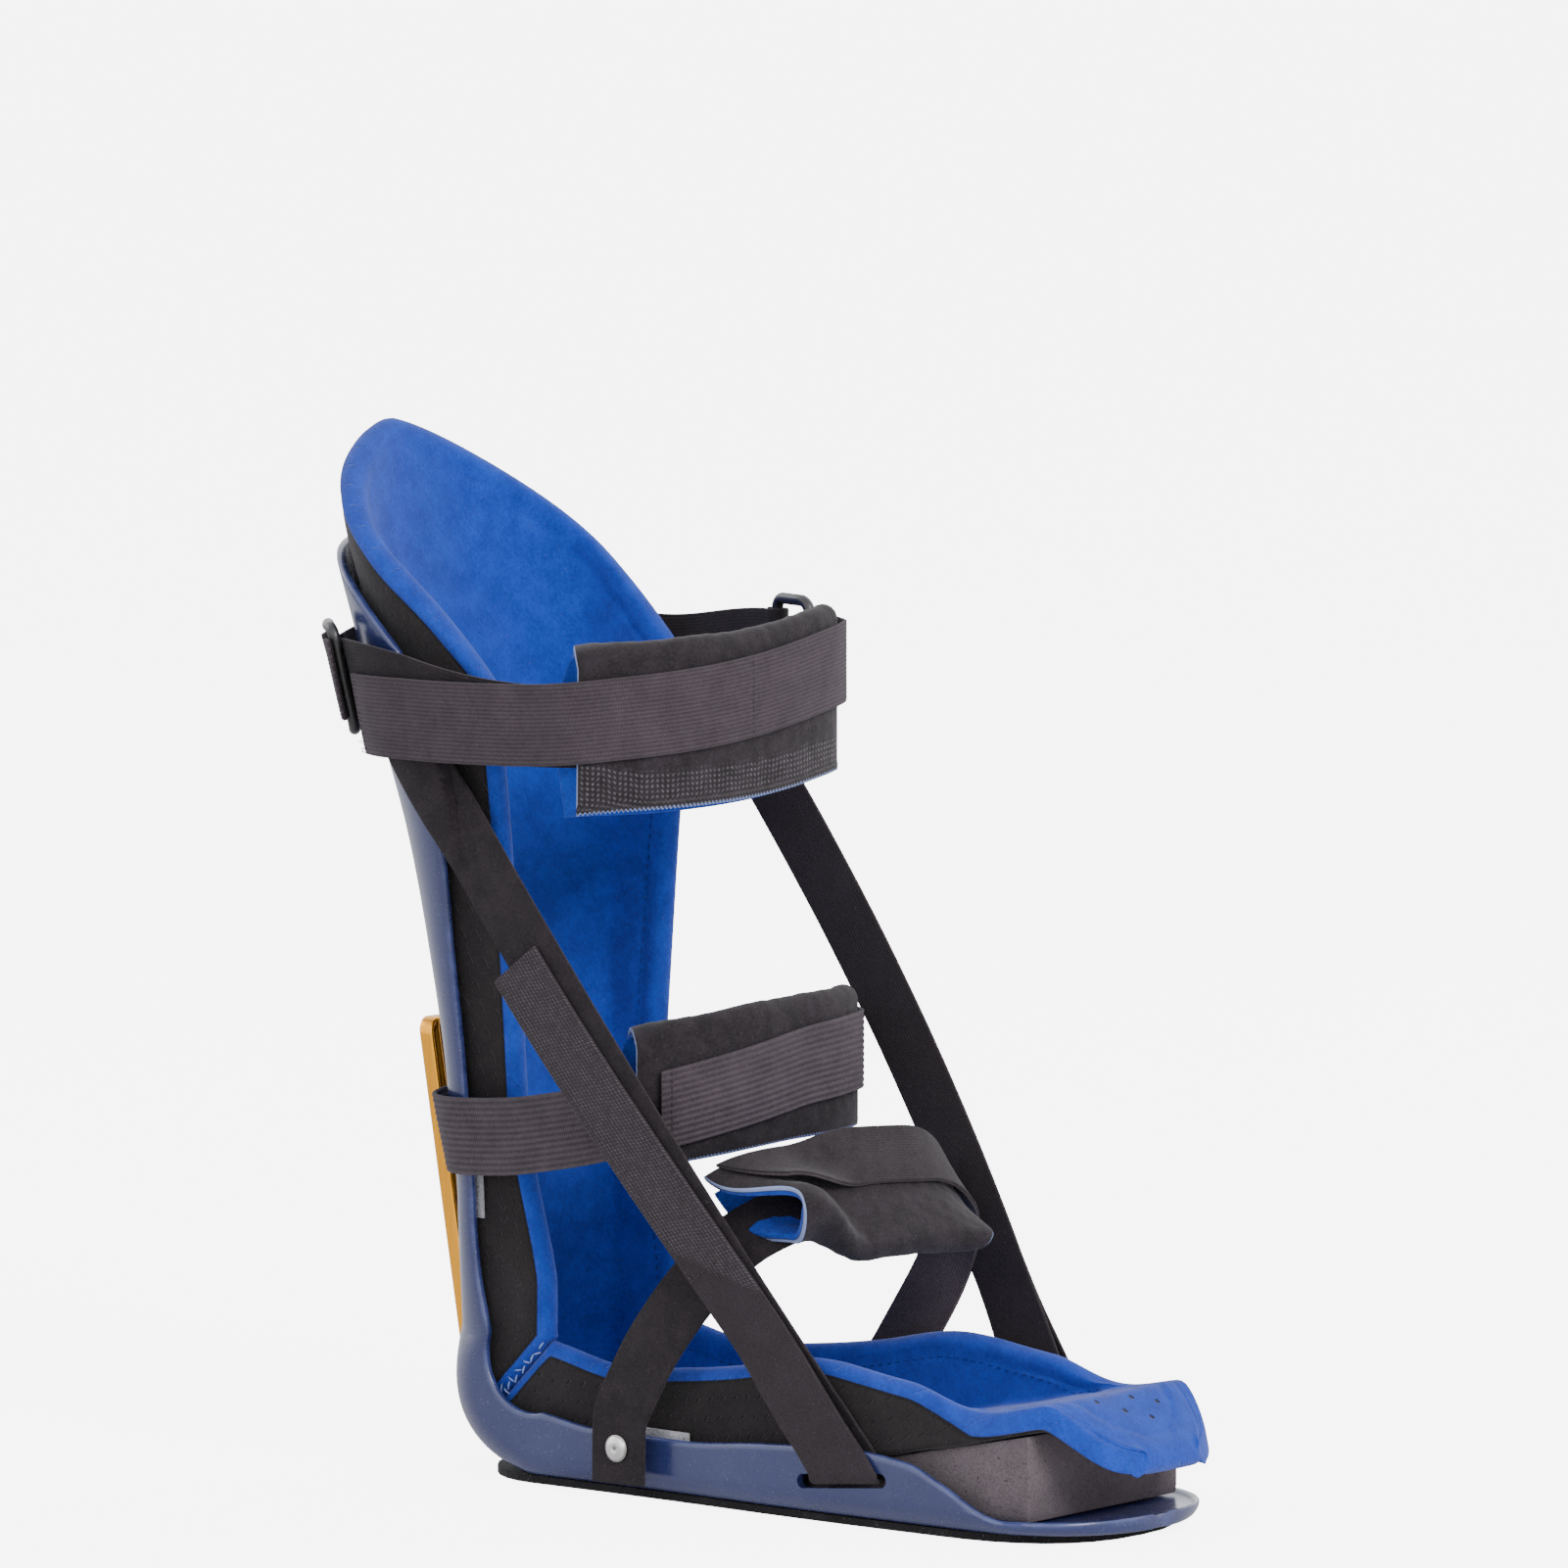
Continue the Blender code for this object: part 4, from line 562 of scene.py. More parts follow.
    @staticmethod
    def build_dust() -> bpy.types.NodeTree:
        """Dust and lint: sparse bright specks over a faint uneven film."""
        graph, tree, given, leave = new_group("dust_film", [("Vector", "Vector", None), ("Amount", "Float", 0.5)],
                                              ["Mask"])
        film = graph.between(graph.noise(given["Vector"], 35.0, 5.0), 0.45, 0.8, 0.0, 0.25)
        speck = graph.between(graph.noise(given["Vector"], 1400.0, 0.0), 0.76, 0.8)
        graph.feed(leave.inputs["Mask"], graph.math("MULTIPLY", graph.math("ADD", film, speck), given["Amount"]))
        return tree


EFFECTS = Effects()


class Surface:
    """One material under construction: its graph, its shader and the coordinates that its patterns read."""

    def __init__(self, name: str, roughness: float, **constants: Any) -> None:
        """Starts a material with a plain shader whose constant inputs are set by keyword."""
        self.material = bpy.data.materials.new(name)
        self.material.use_nodes = True
        tree = self.material.node_tree
        tree.nodes.clear()
        self.graph = Graph(tree)
        self.shader = self.graph.node("ShaderNodeBsdfPrincipled", {"Roughness": roughness})
        for key, value in constants.items():
            self.shader.inputs[key.replace("_", " ").title().replace("Ior", "IOR")].default_value = value
        out = self.graph.node("ShaderNodeOutputMaterial")
        tree.links.new(self.shader.outputs[0], out.inputs[0])
        self.place = self.graph.node("ShaderNodeTexCoord").outputs["Object"]

    def value(self, name: str) -> bpy.types.NodeSocket:
        """A value stored at the piece's points."""
        return self.graph.node("ShaderNodeAttribute", attribute_name=name).outputs["Fac"]

    def cloth(self) -> tuple[bpy.types.NodeSocket, bpy.types.NodeSocket]:
        """The two runs of the piece's UV map, in metres."""
        split = self.graph.node("ShaderNodeSeparateXYZ", {0: self.graph.node("ShaderNodeUVMap", uv_map="cloth")
                                                          .outputs[0]})
        return split.outputs[0], split.outputs[1]

    def group(self, tree: bpy.types.NodeTree, **inputs: Any) -> bpy.types.Node:
        """Places a node group; underscores in input names stand for spaces."""
        named = {key.replace("_", " ") if len(key) > 1 else key: value for key, value in inputs.items()}
        return self.graph.node("ShaderNodeGroup", named, node_tree=tree)

    def finish(self, colour: Any, roughness: Any, height: Any, strength: float, distance: float) -> bpy.types.Material:
        """Links the varying colour, roughness and relief to the shader.

        Args:
            colour: Base colour.
            roughness: Its roughness.
            height: Relief from 0 to 1.
            strength: Of the bump.
            distance: Height of the relief in metres.

        Returns:
            The material.
        """
        self.graph.feed(self.shader.inputs["Base Color"], colour)
        self.graph.feed(self.shader.inputs["Roughness"], roughness)
        bump = self.graph.node("ShaderNodeBump", {"Height": height, "Strength": strength, "Distance": distance})
        self.graph.feed(self.shader.inputs["Normal"], bump.outputs[0])
        return self.material


@dataclass(frozen=True)
class PlasticFinish:
    """Moulded plastic: mottled colour, faint ripples, lighter rubbed edges and a little dust."""

    name: str
    colour: str
    light: str
    roughness: float = 0.3
    coat: float = 0.3
    wear: float = 0.5

    def build(self) -> bpy.types.Material:
        """The material."""
        made = Surface(self.name, self.roughness, coat_weight=self.coat, coat_roughness=0.18, ior=1.5)
        graph, place = made.graph, made.place
        cloudy = graph.noise(place, 14.0, 4.0)
        grain = graph.noise(place, 2600.0, 2.0)
        wear = made.group(EFFECTS.wear, Vector=place, Edge=made.value("edge"), Width=1.6).outputs[0]
        dust = made.group(EFFECTS.dust, Vector=place, Amount=0.25).outputs[0]
        colour = graph.mix(graph.between(cloudy, 0.3, 0.75, 0.0, 0.16), srgb(self.colour), srgb(self.light))
        colour = graph.mix(graph.math("MULTIPLY", wear, self.wear), colour, srgb(self.light))
        colour = graph.mix(graph.math("MULTIPLY", dust, 0.5), colour, srgb("b9bcc8"))
        rough = graph.math("MULTIPLY_ADD", graph.noise(place, 45.0, 4.0), 0.16, self.roughness - 0.06)
        rough = graph.math("MULTIPLY_ADD", dust, 0.4, rough)
        height = graph.math("MULTIPLY_ADD", grain, 0.12, graph.noise(place, 60.0, 1.0))
        return made.finish(colour, rough, height, 0.25, 0.0004)


@dataclass(frozen=True)
class MetalFinish:
    """Metal with lengthwise drawing lines, and painted shade darkening its hollows, told by the value hollow."""

    name: str
    colour: str
    shade_and_streak: str
    # Dark colour: painted shade in the hollows, and also the tone of the real drawing lines.
    roughness: float
    streak: float = 1.0

    def build(self) -> bpy.types.Material:
        """The material."""
        made = Surface(self.name, self.roughness, metallic=1.0, coat_weight=0.1, coat_roughness=0.1)
        graph, place = made.graph, made.place
        drawn = graph.node("ShaderNodeMapping", {"Vector": place, "Scale": (900.0, 900.0, 18.0)}).outputs[0]
        lines = graph.noise(drawn, self.streak, 3.0)
        hollow = made.value("hollow")
        # Painted shade: the colour darkens towards the dark colour where the value hollow is high (grooves, dimples,
        # creases), broken up by noise.
        shade_and_streak = graph.math("MULTIPLY", hollow, graph.between(graph.noise(place, 60.0, 3.0), 0.1, 0.7, 0.75, 1.0))
        colour = graph.mix(shade_and_streak, srgb(self.colour), srgb(self.shade_and_streak))
        colour = graph.mix(graph.between(lines, 0.35, 0.8, 0.0, 0.25), colour, srgb(self.shade_and_streak))
        rough = graph.math("MULTIPLY_ADD", lines, 0.16, self.roughness - 0.06)
        return made.finish(colour, rough, lines, 0.12, 0.0001)


@dataclass(frozen=True)
class FoamFinish:
    """Cut foam or rubber: fine closed cells, a few larger pores and soft cloudy shading."""

    name: str
    colour: str
    light: str
    roughness: float = 0.9
    cell: float = 1500.0

    def build(self) -> bpy.types.Material:
        """The material."""
        made = Surface(self.name, self.roughness, specular_ior_level=0.25)
        graph, place = made.graph, made.place
        cells = graph.node("ShaderNodeTexVoronoi", {"Vector": place, "Scale": self.cell}).outputs["Distance"]
        pores = graph.between(graph.noise(place, self.cell * 0.45, 2.0), 0.66, 0.74)
        cloudy = graph.noise(place, 40.0, 5.0)
        dust = made.group(EFFECTS.dust, Vector=place, Amount=0.35).outputs[0]
        colour = graph.mix(graph.between(cloudy, 0.3, 0.7), srgb(self.colour), srgb(self.light))
        colour = graph.mix(graph.between(cells, 0.1, 0.6, 0.35, 0.0), colour, srgb("1c1a1c"))
        colour = graph.mix(graph.math("MULTIPLY", pores, 0.7), colour, srgb("1c1a1c"))
        colour = graph.mix(dust, colour, srgb("8d888c"))
        height = graph.math("SUBTRACT", cells, pores)
        rough = graph.math("MULTIPLY_ADD", pores, 0.08, self.roughness - 0.04)
        return made.finish(colour, rough, height, 0.5, 0.0003)


class Pattern(Enum):
    """What covers a cloth's outer face."""

    PILE = "pile"
    RIBS = "ribs"
    TWILL = "twill"
    HOOKS = "hooks"
    PUNCHED = "punched"


@dataclass(frozen=True)
class ClothFinish:
    """Cloth with an outer and an inner face of their own colours.

    wrap is how far in millimetres the inner face's colour reaches round the edge, with painted shade in the sunk seam
    just past it, and cut the colour of a raw edge.
    """

    name: str
    outer: str
    outer_light: str
    inner: str
    inner_light: str
    pattern: Pattern
    cross_pitch: float = 0.0009
    cord_pitch: float = 0.0012
    wrap: float = 0.0
    cut: str | None = None
    sheen: float = 0.25
    relief: float = 0.00035
    patch: bool = False
    patch_pitch: float = 0.0016
    patch_light: str = "8b858d"
    holes: float = 0.0

    def build(self) -> bpy.types.Material:
        """The material."""
        made = Surface(self.name, 0.9, sheen_weight=self.sheen, sheen_roughness=0.5, specular_ior_level=0.2)
        graph, place = made.graph, made.place
        u, v = made.cloth()
        side, edge = made.value("side"), made.value("edge")
        fuzz = made.group(EFFECTS.fuzz, Vector=place, Scale=1000.0)
        weave = made.group(EFFECTS.weave, U=u, V=v, Cross_Pitch=self.cross_pitch, Cord_Pitch=self.cord_pitch)
        tone = graph.between(fuzz.outputs["Tone"], 0.32, 0.68)
        height = fuzz.outputs["Height"]
        if self.pattern in (Pattern.RIBS, Pattern.TWILL):
            tone = graph.math("MULTIPLY_ADD", weave.outputs["Tone"], 0.7, graph.math("MULTIPLY", tone, 0.3))
            height = graph.math("MULTIPLY_ADD", weave.outputs["Height"], 1.0, graph.math("MULTIPLY", height, 0.25))
        if self.pattern is Pattern.HOOKS:
            hooks = made.group(EFFECTS.hooks, U=u, V=v, Vector=place, Pitch=0.0012)
            tone = graph.math("MULTIPLY_ADD", tone, 0.35, graph.math("MULTIPLY", hooks.outputs["Tone"], 0.75))
            height = graph.math("MULTIPLY_ADD", hooks.outputs["Height"], 1.6, height)
        if self.patch:
            hooks = made.group(EFFECTS.hooks, U=u, V=v, Vector=place, Pitch=self.patch_pitch)
            heads = graph.math("MULTIPLY", hooks.outputs["Tone"], made.value("patch"))
            height = graph.math("MULTIPLY_ADD", heads, 1.5, height)
        outer = graph.mix(tone, srgb(self.outer), srgb(self.outer_light))
        if self.patch:
            outer = graph.mix(graph.math("MULTIPLY", heads, 0.62), outer, srgb(self.patch_light))
        inner = graph.mix(graph.between(fuzz.outputs["Tone"], 0.3, 0.7), srgb(self.inner), srgb(self.inner_light))
        if self.pattern is Pattern.PUNCHED:
            punched = made.group(EFFECTS.holes, U=u, V=v, Pitch=0.0052, Radius=0.0006).outputs[0]
            outer = graph.mix(graph.math("MULTIPLY", punched, 0.85), outer, srgb("0a090a"))
            height = graph.math("MULTIPLY_ADD", graph.math("MULTIPLY", punched, graph.between(side, 0.4, 0.6, 1.0, 0.0)),
                                -2.0, height)
        within = graph.between(side, 0.45, 0.55)
        if self.wrap:
            within = graph.math("MAXIMUM", within, graph.between(edge, self.wrap - 0.25, self.wrap + 0.25, 1.0, 0.0))
        if self.holes:
            toe = made.group(EFFECTS.holes, U=u, V=v, Pitch=self.holes, Radius=0.00105)
            inside = graph.between(edge, 10.5, 11.5)
            hole = graph.math("MULTIPLY", graph.math("MULTIPLY", toe.outputs[0], made.value("toe")),
                              graph.math("MULTIPLY", inside, graph.between(side, 0.45, 0.55)))
            inner = graph.mix(graph.math("MULTIPLY", hole, 0.96), inner, srgb("06070c"))
            height = graph.math("MULTIPLY_ADD", hole, -3.0, height)
        colour = graph.mix(within, outer, inner)
        if self.wrap:
            # Painted shade: the sunk seam just past the wrapped edge is darkened near black on the outer face.
            seam = graph.math("MULTIPLY", graph.between(edge, self.wrap - 0.1, self.wrap + 0.25),
                              graph.between(edge, self.wrap + 0.5, self.wrap + 1.1, 1.0, 0.0))
            seam = graph.math("MULTIPLY", seam, graph.between(side, 0.45, 0.55, 0.8, 0.0))
            colour = graph.mix(seam, colour, srgb("070709"))
        if self.cut:
            raw = graph.between(edge, 0.28, 0.5, 1.0, 0.0)
            raw = graph.math("MULTIPLY", raw, graph.between(side, 0.3, 0.45, 1.0, 0.0))
            colour = graph.mix(raw, colour, srgb(self.cut))
        dust = made.group(EFFECTS.dust, Vector=place, Amount=0.3).outputs[0]
        colour = graph.mix(graph.math("MULTIPLY", dust, 0.5), colour, srgb("77727a"))
        rough = graph.math("MULTIPLY_ADD", tone, 0.12, 0.82)
        return made.finish(colour, rough, height, 0.6, self.relief)


NAVY = PlasticFinish("navy_shell", "232d61", "4b5896", 0.25, 0.45, 0.8)
BLACK_PLASTIC = PlasticFinish("black_ring_plastic", "131214", "3a383c", 0.38, 0.1, 0.4)
# The second colour of gold and steel is painted shade in the bar's grooves and the rivets' dimples, and also the tone
# of the drawing lines.
GOLD = MetalFinish("gold_anodised", "f0a62e", "5a2c06", 0.26)
STEEL = MetalFinish("nickel_rivet", "d9d8d4", "4a4845", 0.22, 0.4)
FOAM = FoamFinish("grey_foam", "655d61", "776e72", 0.92, 1500.0)
RUBBER = FoamFinish("sole_rubber", "1c1b1d", "29282a", 0.8, 2400.0)
LINER = ClothFinish("liner_cloth", "171416", "2c2728", "173ba4", "2853cc", Pattern.PUNCHED, wrap=3.4, sheen=0.2)
FOOT_LINER = ClothFinish("foot_liner_cloth", "171416", "2c2728", "173ba4", "2853cc", Pattern.PUNCHED, wrap=3.4,
                         sheen=0.2, holes=0.0095)
PAD = ClothFinish("pad_cloth", "1a171a", "373136", "12389c", "2558d0", Pattern.PILE, cut="9fb0e2", sheen=0.15)
NET_PAD = ClothFinish("netted_pad_cloth", "1a171a", "373136", "12389c", "2558d0", Pattern.PILE, cut="9fb0e2",
                      sheen=0.15, patch=True, patch_pitch=0.0016, patch_light="8d878f")
ELASTIC = ClothFinish("ribbed_elastic", "262126", "625960", "2e282d", "4b444a", Pattern.RIBS, 0.0008, 0.0019,
                      sheen=0.08, relief=0.00025)
WEBBING = ClothFinish("plain_webbing", "1c191c", "393236", "1c191c", "322c30", Pattern.TWILL, 0.0008, 0.001,
                      sheen=0.06, relief=0.0002)
PATCHED = ClothFinish("hook_webbing", "221e21", "423b40", "1c191c", "322c30", Pattern.TWILL, 0.0008, 0.001,
                      sheen=0.06, relief=0.00025, patch=True, patch_pitch=0.0012, patch_light="8b858d")
HOOK_TAB = FoamFinish("white_hook_tab", "b4b4ba", "f0f0f2", 0.85, 1300.0)
DARK_THREAD = FoamFinish("dark_thread", "2b272b", "4d474c", 0.8, 3000.0)
BLUE_THREAD = FoamFinish("blue_thread", "0f2a78", "1d44ab", 0.8, 3000.0)
PALE_THREAD = FoamFinish("pale_thread", "7f9be6", "b9c9f6", 0.8, 3000.0)


class Wardrobe:
    """Every material, built once and handed out by its finish."""

    def __init__(self) -> None:
        """Starts empty."""
        self.made: dict[str, bpy.types.Material] = {}

    def dress(self, piece: bpy.types.Object, finish: PlasticFinish | MetalFinish | FoamFinish | ClothFinish) -> None:
        """Puts a finish on a piece in place of whatever it wore."""
        if finish.name not in self.made:
            self.made[finish.name] = finish.build()
        piece.data.materials.clear()
        piece.data.materials.append(self.made[finish.name])


WARDROBE = Wardrobe()


# Shared form of the shell, the liner and what is shaped to them

LEG_ROWS: Rows = {
    "height": (0.160, 0.233, 0.293, 0.394, 0.453, 0.554, 0.693, 0.777, 0.909, 1.000, 1.130),
    "setback": (0.000, -0.030, -0.035, 0.030, 0.070, 0.180, 0.405, 0.573, 0.820, 1.000, 1.200),
    "flare": (0.000, 0.000, 0.020, 0.090, 0.150, 0.290, 0.500, 0.660, 0.880, 1.000, 1.060),
    "depth": (0.680, 0.536, 0.496, 0.514, 0.528, 0.572, 0.693, 0.720, 0.724, 0.742, 0.752),
}
FOOT_ROWS: Rows = {
    "along": (0.00, 0.10, 0.27, 0.43, 0.60, 0.70, 0.76, 0.87, 1.00),
    "width": (0.911, 0.915, 0.940, 0.980, 1.00, 1.00, 1.00, 1.00, 1.00),
    "wall": (0.97, 0.83, 0.81, 0.93, 1.00, 0.90, 0.66, 0.22, 0.22),
}
LINER_RIM_ROWS: Rows = {
    "along": (0.00, 0.126, 0.263, 0.34, 0.50, 0.624, 0.722, 0.88, 1.00),
    "rim": (0.92, 0.82, 0.87, 0.915, 1.03, 0.965, 0.91, 0.84, 0.84),
}
CALF_ROWS: Rows = {
    "turn": (-90.0, -58.0, -39.0, -20.0, 0.0, 15.7, 24.7, 29.5, 34.0, 42.0, 52.6, 70.7, 90.0),
    "reach": (None, 0.790, 0.893, 0.946, 0.967, 1.020, 1.057, 1.066, 1.027, 0.918, 0.840, 0.745, None),
}
CALF_LEVEL_ROWS: Rows = {
    "turn": (-180.0, -120.0, -58.0, -30.0, 0.0, 27.0, 44.0, 90.0, 180.0),
    "rise": (0.60, 0.00, 0.00, 0.20, 0.50, 0.90, 1.00, 0.95, 0.60),
}
ANKLE_ROWS: Rows = {
    "turn": (-90.0, -70.7, -47.5, -30.1, -11.2, 3.6, 17.0, 26.0, 32.0, 47.1, 71.0, 90.0),
    "reach": (None, 0.627, 0.797, 0.885, 0.955, 0.988, 1.058, 1.080, 1.035, 0.800, 0.630, None),
}
INSTEP_ROWS: Rows = {
    "across": (-1.055, -1.050, -1.030, -0.970, -0.800, -0.440, 0.000, 0.470, 0.820, 0.950, 0.975, 1.040, 1.055),
    "forward": (0.440, 0.440, 0.515, 0.655, 0.815, 0.930, 0.990, 1.035, 1.045, 0.945, 0.790, 0.655, 0.625),
    "up": (0.060, 0.235, 0.430, 0.660, 0.860, 0.955, 1.000, 0.985, 0.880, 0.660, 0.400, 0.200, 0.060),
    "tilt": (2.0, 8.0, 18.0, 24.0, 29.0, 42.0, 50.0, 50.0, 44.0, 32.0, 18.0, 8.0, 2.0),
}


def u_section(half_width: Array, corner: Array, bottom: Array, depth: Array, rim: Array, share: Array,
              snap: Array) -> tuple[Array, Array]:
    """Point of a U-shaped section: a flat bottom, a quarter-oval corner and a straight wall on both sides.

    Formula: the corner is (flat + c sin a, bottom - d + d cos a); share picks the point by length, and with snap 1
    it meets the corner's ends at 0.4 and 0.7.

    Args:
        half_width: Of the section.
        corner: Width of the oval corner.
        bottom: Outward distance of the bottom.
        depth: Depth of the oval corner.
        rim: Outward distance at which the wall ends.
        share: From -1 at one rim through 0 at the bottom to 1 at the other.
        snap: How far the columns are tied to the corner's ends.

    Returns:
        The point's distances across and outward.
    """
    steps = 40
    half_width, corner, bottom, depth, rim, share, snap = np.broadcast_arrays(
        *(np.asarray(v, float) for v in (half_width, corner, bottom, depth, rim, share, snap)))
    middle = bottom - depth
    angle = np.arccos(np.clip((rim - middle) / depth, 0, 1))[..., None] * np.linspace(0, 1, steps)
    flat = np.maximum(half_width - corner, 0)[..., None]
    across = flat + corner[..., None] * np.sin(angle)
    outward = middle[..., None] + depth[..., None] * np.cos(angle)
    wall = np.minimum(rim, outward[..., -1])
    across = np.concatenate([np.zeros_like(flat), across, across[..., -1:]], axis=-1)
    outward = np.concatenate([bottom[..., None], outward, wall[..., None]], axis=-1)
    length = np.hypot(np.diff(across), np.diff(outward))
    run = np.concatenate([np.zeros_like(flat), np.cumsum(length, axis=-1)], axis=-1)
    size = np.abs(share)
    by_part = np.where(size < 0.4, run[..., 1] * size / 0.4, np.where(
        size < 0.7, run[..., 1] + (run[..., -2] - run[..., 1]) * (size - 0.4) / 0.3,
        run[..., -2] + (run[..., -1] - run[..., -2]) * (size - 0.7) / 0.3))
    target = ((1 - snap) * size * run[..., -1] + snap * by_part)[..., None]
    k = np.clip((run < target - 1e-9).sum(axis=-1, keepdims=True) - 1, 0, steps)
    pick = [np.take_along_axis(a, k + i, axis=-1)[..., 0] for a in (across, outward, run) for i in (0, 1)]
    t = (target[..., 0] - pick[4]) / np.maximum(pick[5] - pick[4], 1e-9)
    return np.sign(share) * (pick[0] + (pick[1] - pick[0]) * t), pick[2] + (pick[3] - pick[2]) * t


@dataclass(frozen=True)
class BootForm:
    """Sizes and sections of the boot, in millimetres.

    A place v runs down the leg (negative: height above the bend), round the heel (0 to 90 degrees) and along the
    foot (90 and more); share runs across from rim to rim.
    """

    wall: float = 3.0
    height: float = 287.0
    length: float = 253.0
    heel_back: float = 40.5
    heel_half: float = 41.0
    calf_half: float = 60.0
    ball_half: float = 45.0
    setback: float = 45.0
    side_wall: float = 21.0
    toe_lip: float = 4.6
    corner: float = 6.0
    toe_round: float = 45.0
    toe_power: float = 2.5
    heel_power: float = 2.7
    bend_x: float = 8.0
    bend_z: float = 46.0
    plate_bottom: float = 2.75
    calf_level: float = 235.0
    liner_gap: float = 2.2

    @property
    def plate_top(self) -> float:
        """Height of the plate's upper face."""
        return self.plate_bottom + self.wall

    @property
    def tip(self) -> float:
        """Place of the shell's toe."""
        return self.length - self.heel_back

    def leg(self, z: Array | float) -> tuple[Array, Array, Array]:
        """The leg's half-oval section at height z: back, front edge and half width."""
        share = np.asarray(z, float) / self.height
        row = LEG_ROWS["height"]
        back = -self.heel_back - self.setback * smooth(row, LEG_ROWS["setback"], share)
        half = self.heel_half + (self.calf_half - self.heel_half) * smooth(row, LEG_ROWS["flare"], share)
        return back, back + half * smooth(row, LEG_ROWS["depth"], share), half

    def foot(self, x: Array | float) -> tuple[Array, Array]:
        """The foot's section at x: half width and height of the rim."""
        share = (np.asarray(x, float) - self.bend_x) / (self.tip - self.bend_x)
        half = self.ball_half * smooth(FOOT_ROWS["along"], FOOT_ROWS["width"], share)
        wall = self.side_wall * smooth(FOOT_ROWS["along"], FOOT_ROWS["wall"], share)
        return half, self.plate_bottom + np.maximum(wall, self.toe_lip)

    def toe(self, x: Array, tip: float) -> Array:
        """Share of the width left towards a rounded tip: (1 - t^n)^(1/n)."""
        t = np.clip((np.asarray(x, float) - (tip - self.toe_round)) / self.toe_round, 0, 1)
        return (1 - t ** self.toe_power) ** (1 / self.toe_power)

    def section(self, v: Array) -> tuple[Array, Array, Array, Array, Array]:
        """Half width, corner, bottom, depth and rim of the shell's outer section at v."""
        back, front, leg_width = self.leg(self.bend_z + np.maximum(-v, 0))
        foot_width, rim_height = self.foot(self.bend_x + np.maximum(v - 90, 0))
        turn = np.radians(np.clip(v, 0, 90))
        power = self.heel_power
        heel = ((np.cos(turn) / (self.bend_x - back)) ** power
                + (np.sin(turn) / (self.bend_z - self.plate_bottom)) ** power) ** (-1 / power)
        blend = ease(v, 0, 90)
        turned = np.clip(v / 80, 0, 1)
        half = np.where(v <= 0, leg_width, foot_width * blend + leg_width * (1 - blend))
        corner = half * (1 - turned) + self.corner * turned
        depth = (front - back) * (1 - turned) + 1.2 * self.corner * turned
        rim = (self.bend_x - front) * (1 - blend) + (self.bend_z - rim_height) * blend + 3 * np.sin(2 * turn)
        return half, corner, heel, depth, rim

    def place(self, v: Array, y: Array, outward: Array, shift: float = 0.0) -> Array:
        """Point at v from its distances across and outward, measured from the bend's corner, which may be shifted."""
        turn = np.radians(np.clip(v, 0, 90))
        x = self.bend_x + shift + np.maximum(v - 90, 0) - np.cos(turn) * outward
        z = self.bend_z - shift + np.maximum(-v, 0) - np.sin(turn) * outward
        return np.stack(np.broadcast_arrays(x, y, z), axis=-1)

    def lowered(self, v: Array, share: Array, top: float, drop: float, power: float, start: float) -> Array:
        """v with the leg's upper rows lowered towards the front edge by drop |share|^power at the top."""
        lift = np.clip((self.bend_z + np.maximum(-v, 0) - start) / (top - start), 0, 1) ** 1.5
        return v + drop * np.abs(share) ** power * lift


FORM = BootForm()


def grid_of(v: Array, half_length: Array, count: int, border: float) -> tuple[Array, Array]:
    """Rows and columns of a wall whose columns close up over a border of the given width at both rims."""
    share = 2 * spaced(count, border / (2 * half_length)) - 1
    return np.broadcast_to(v[:, None], share.shape), share


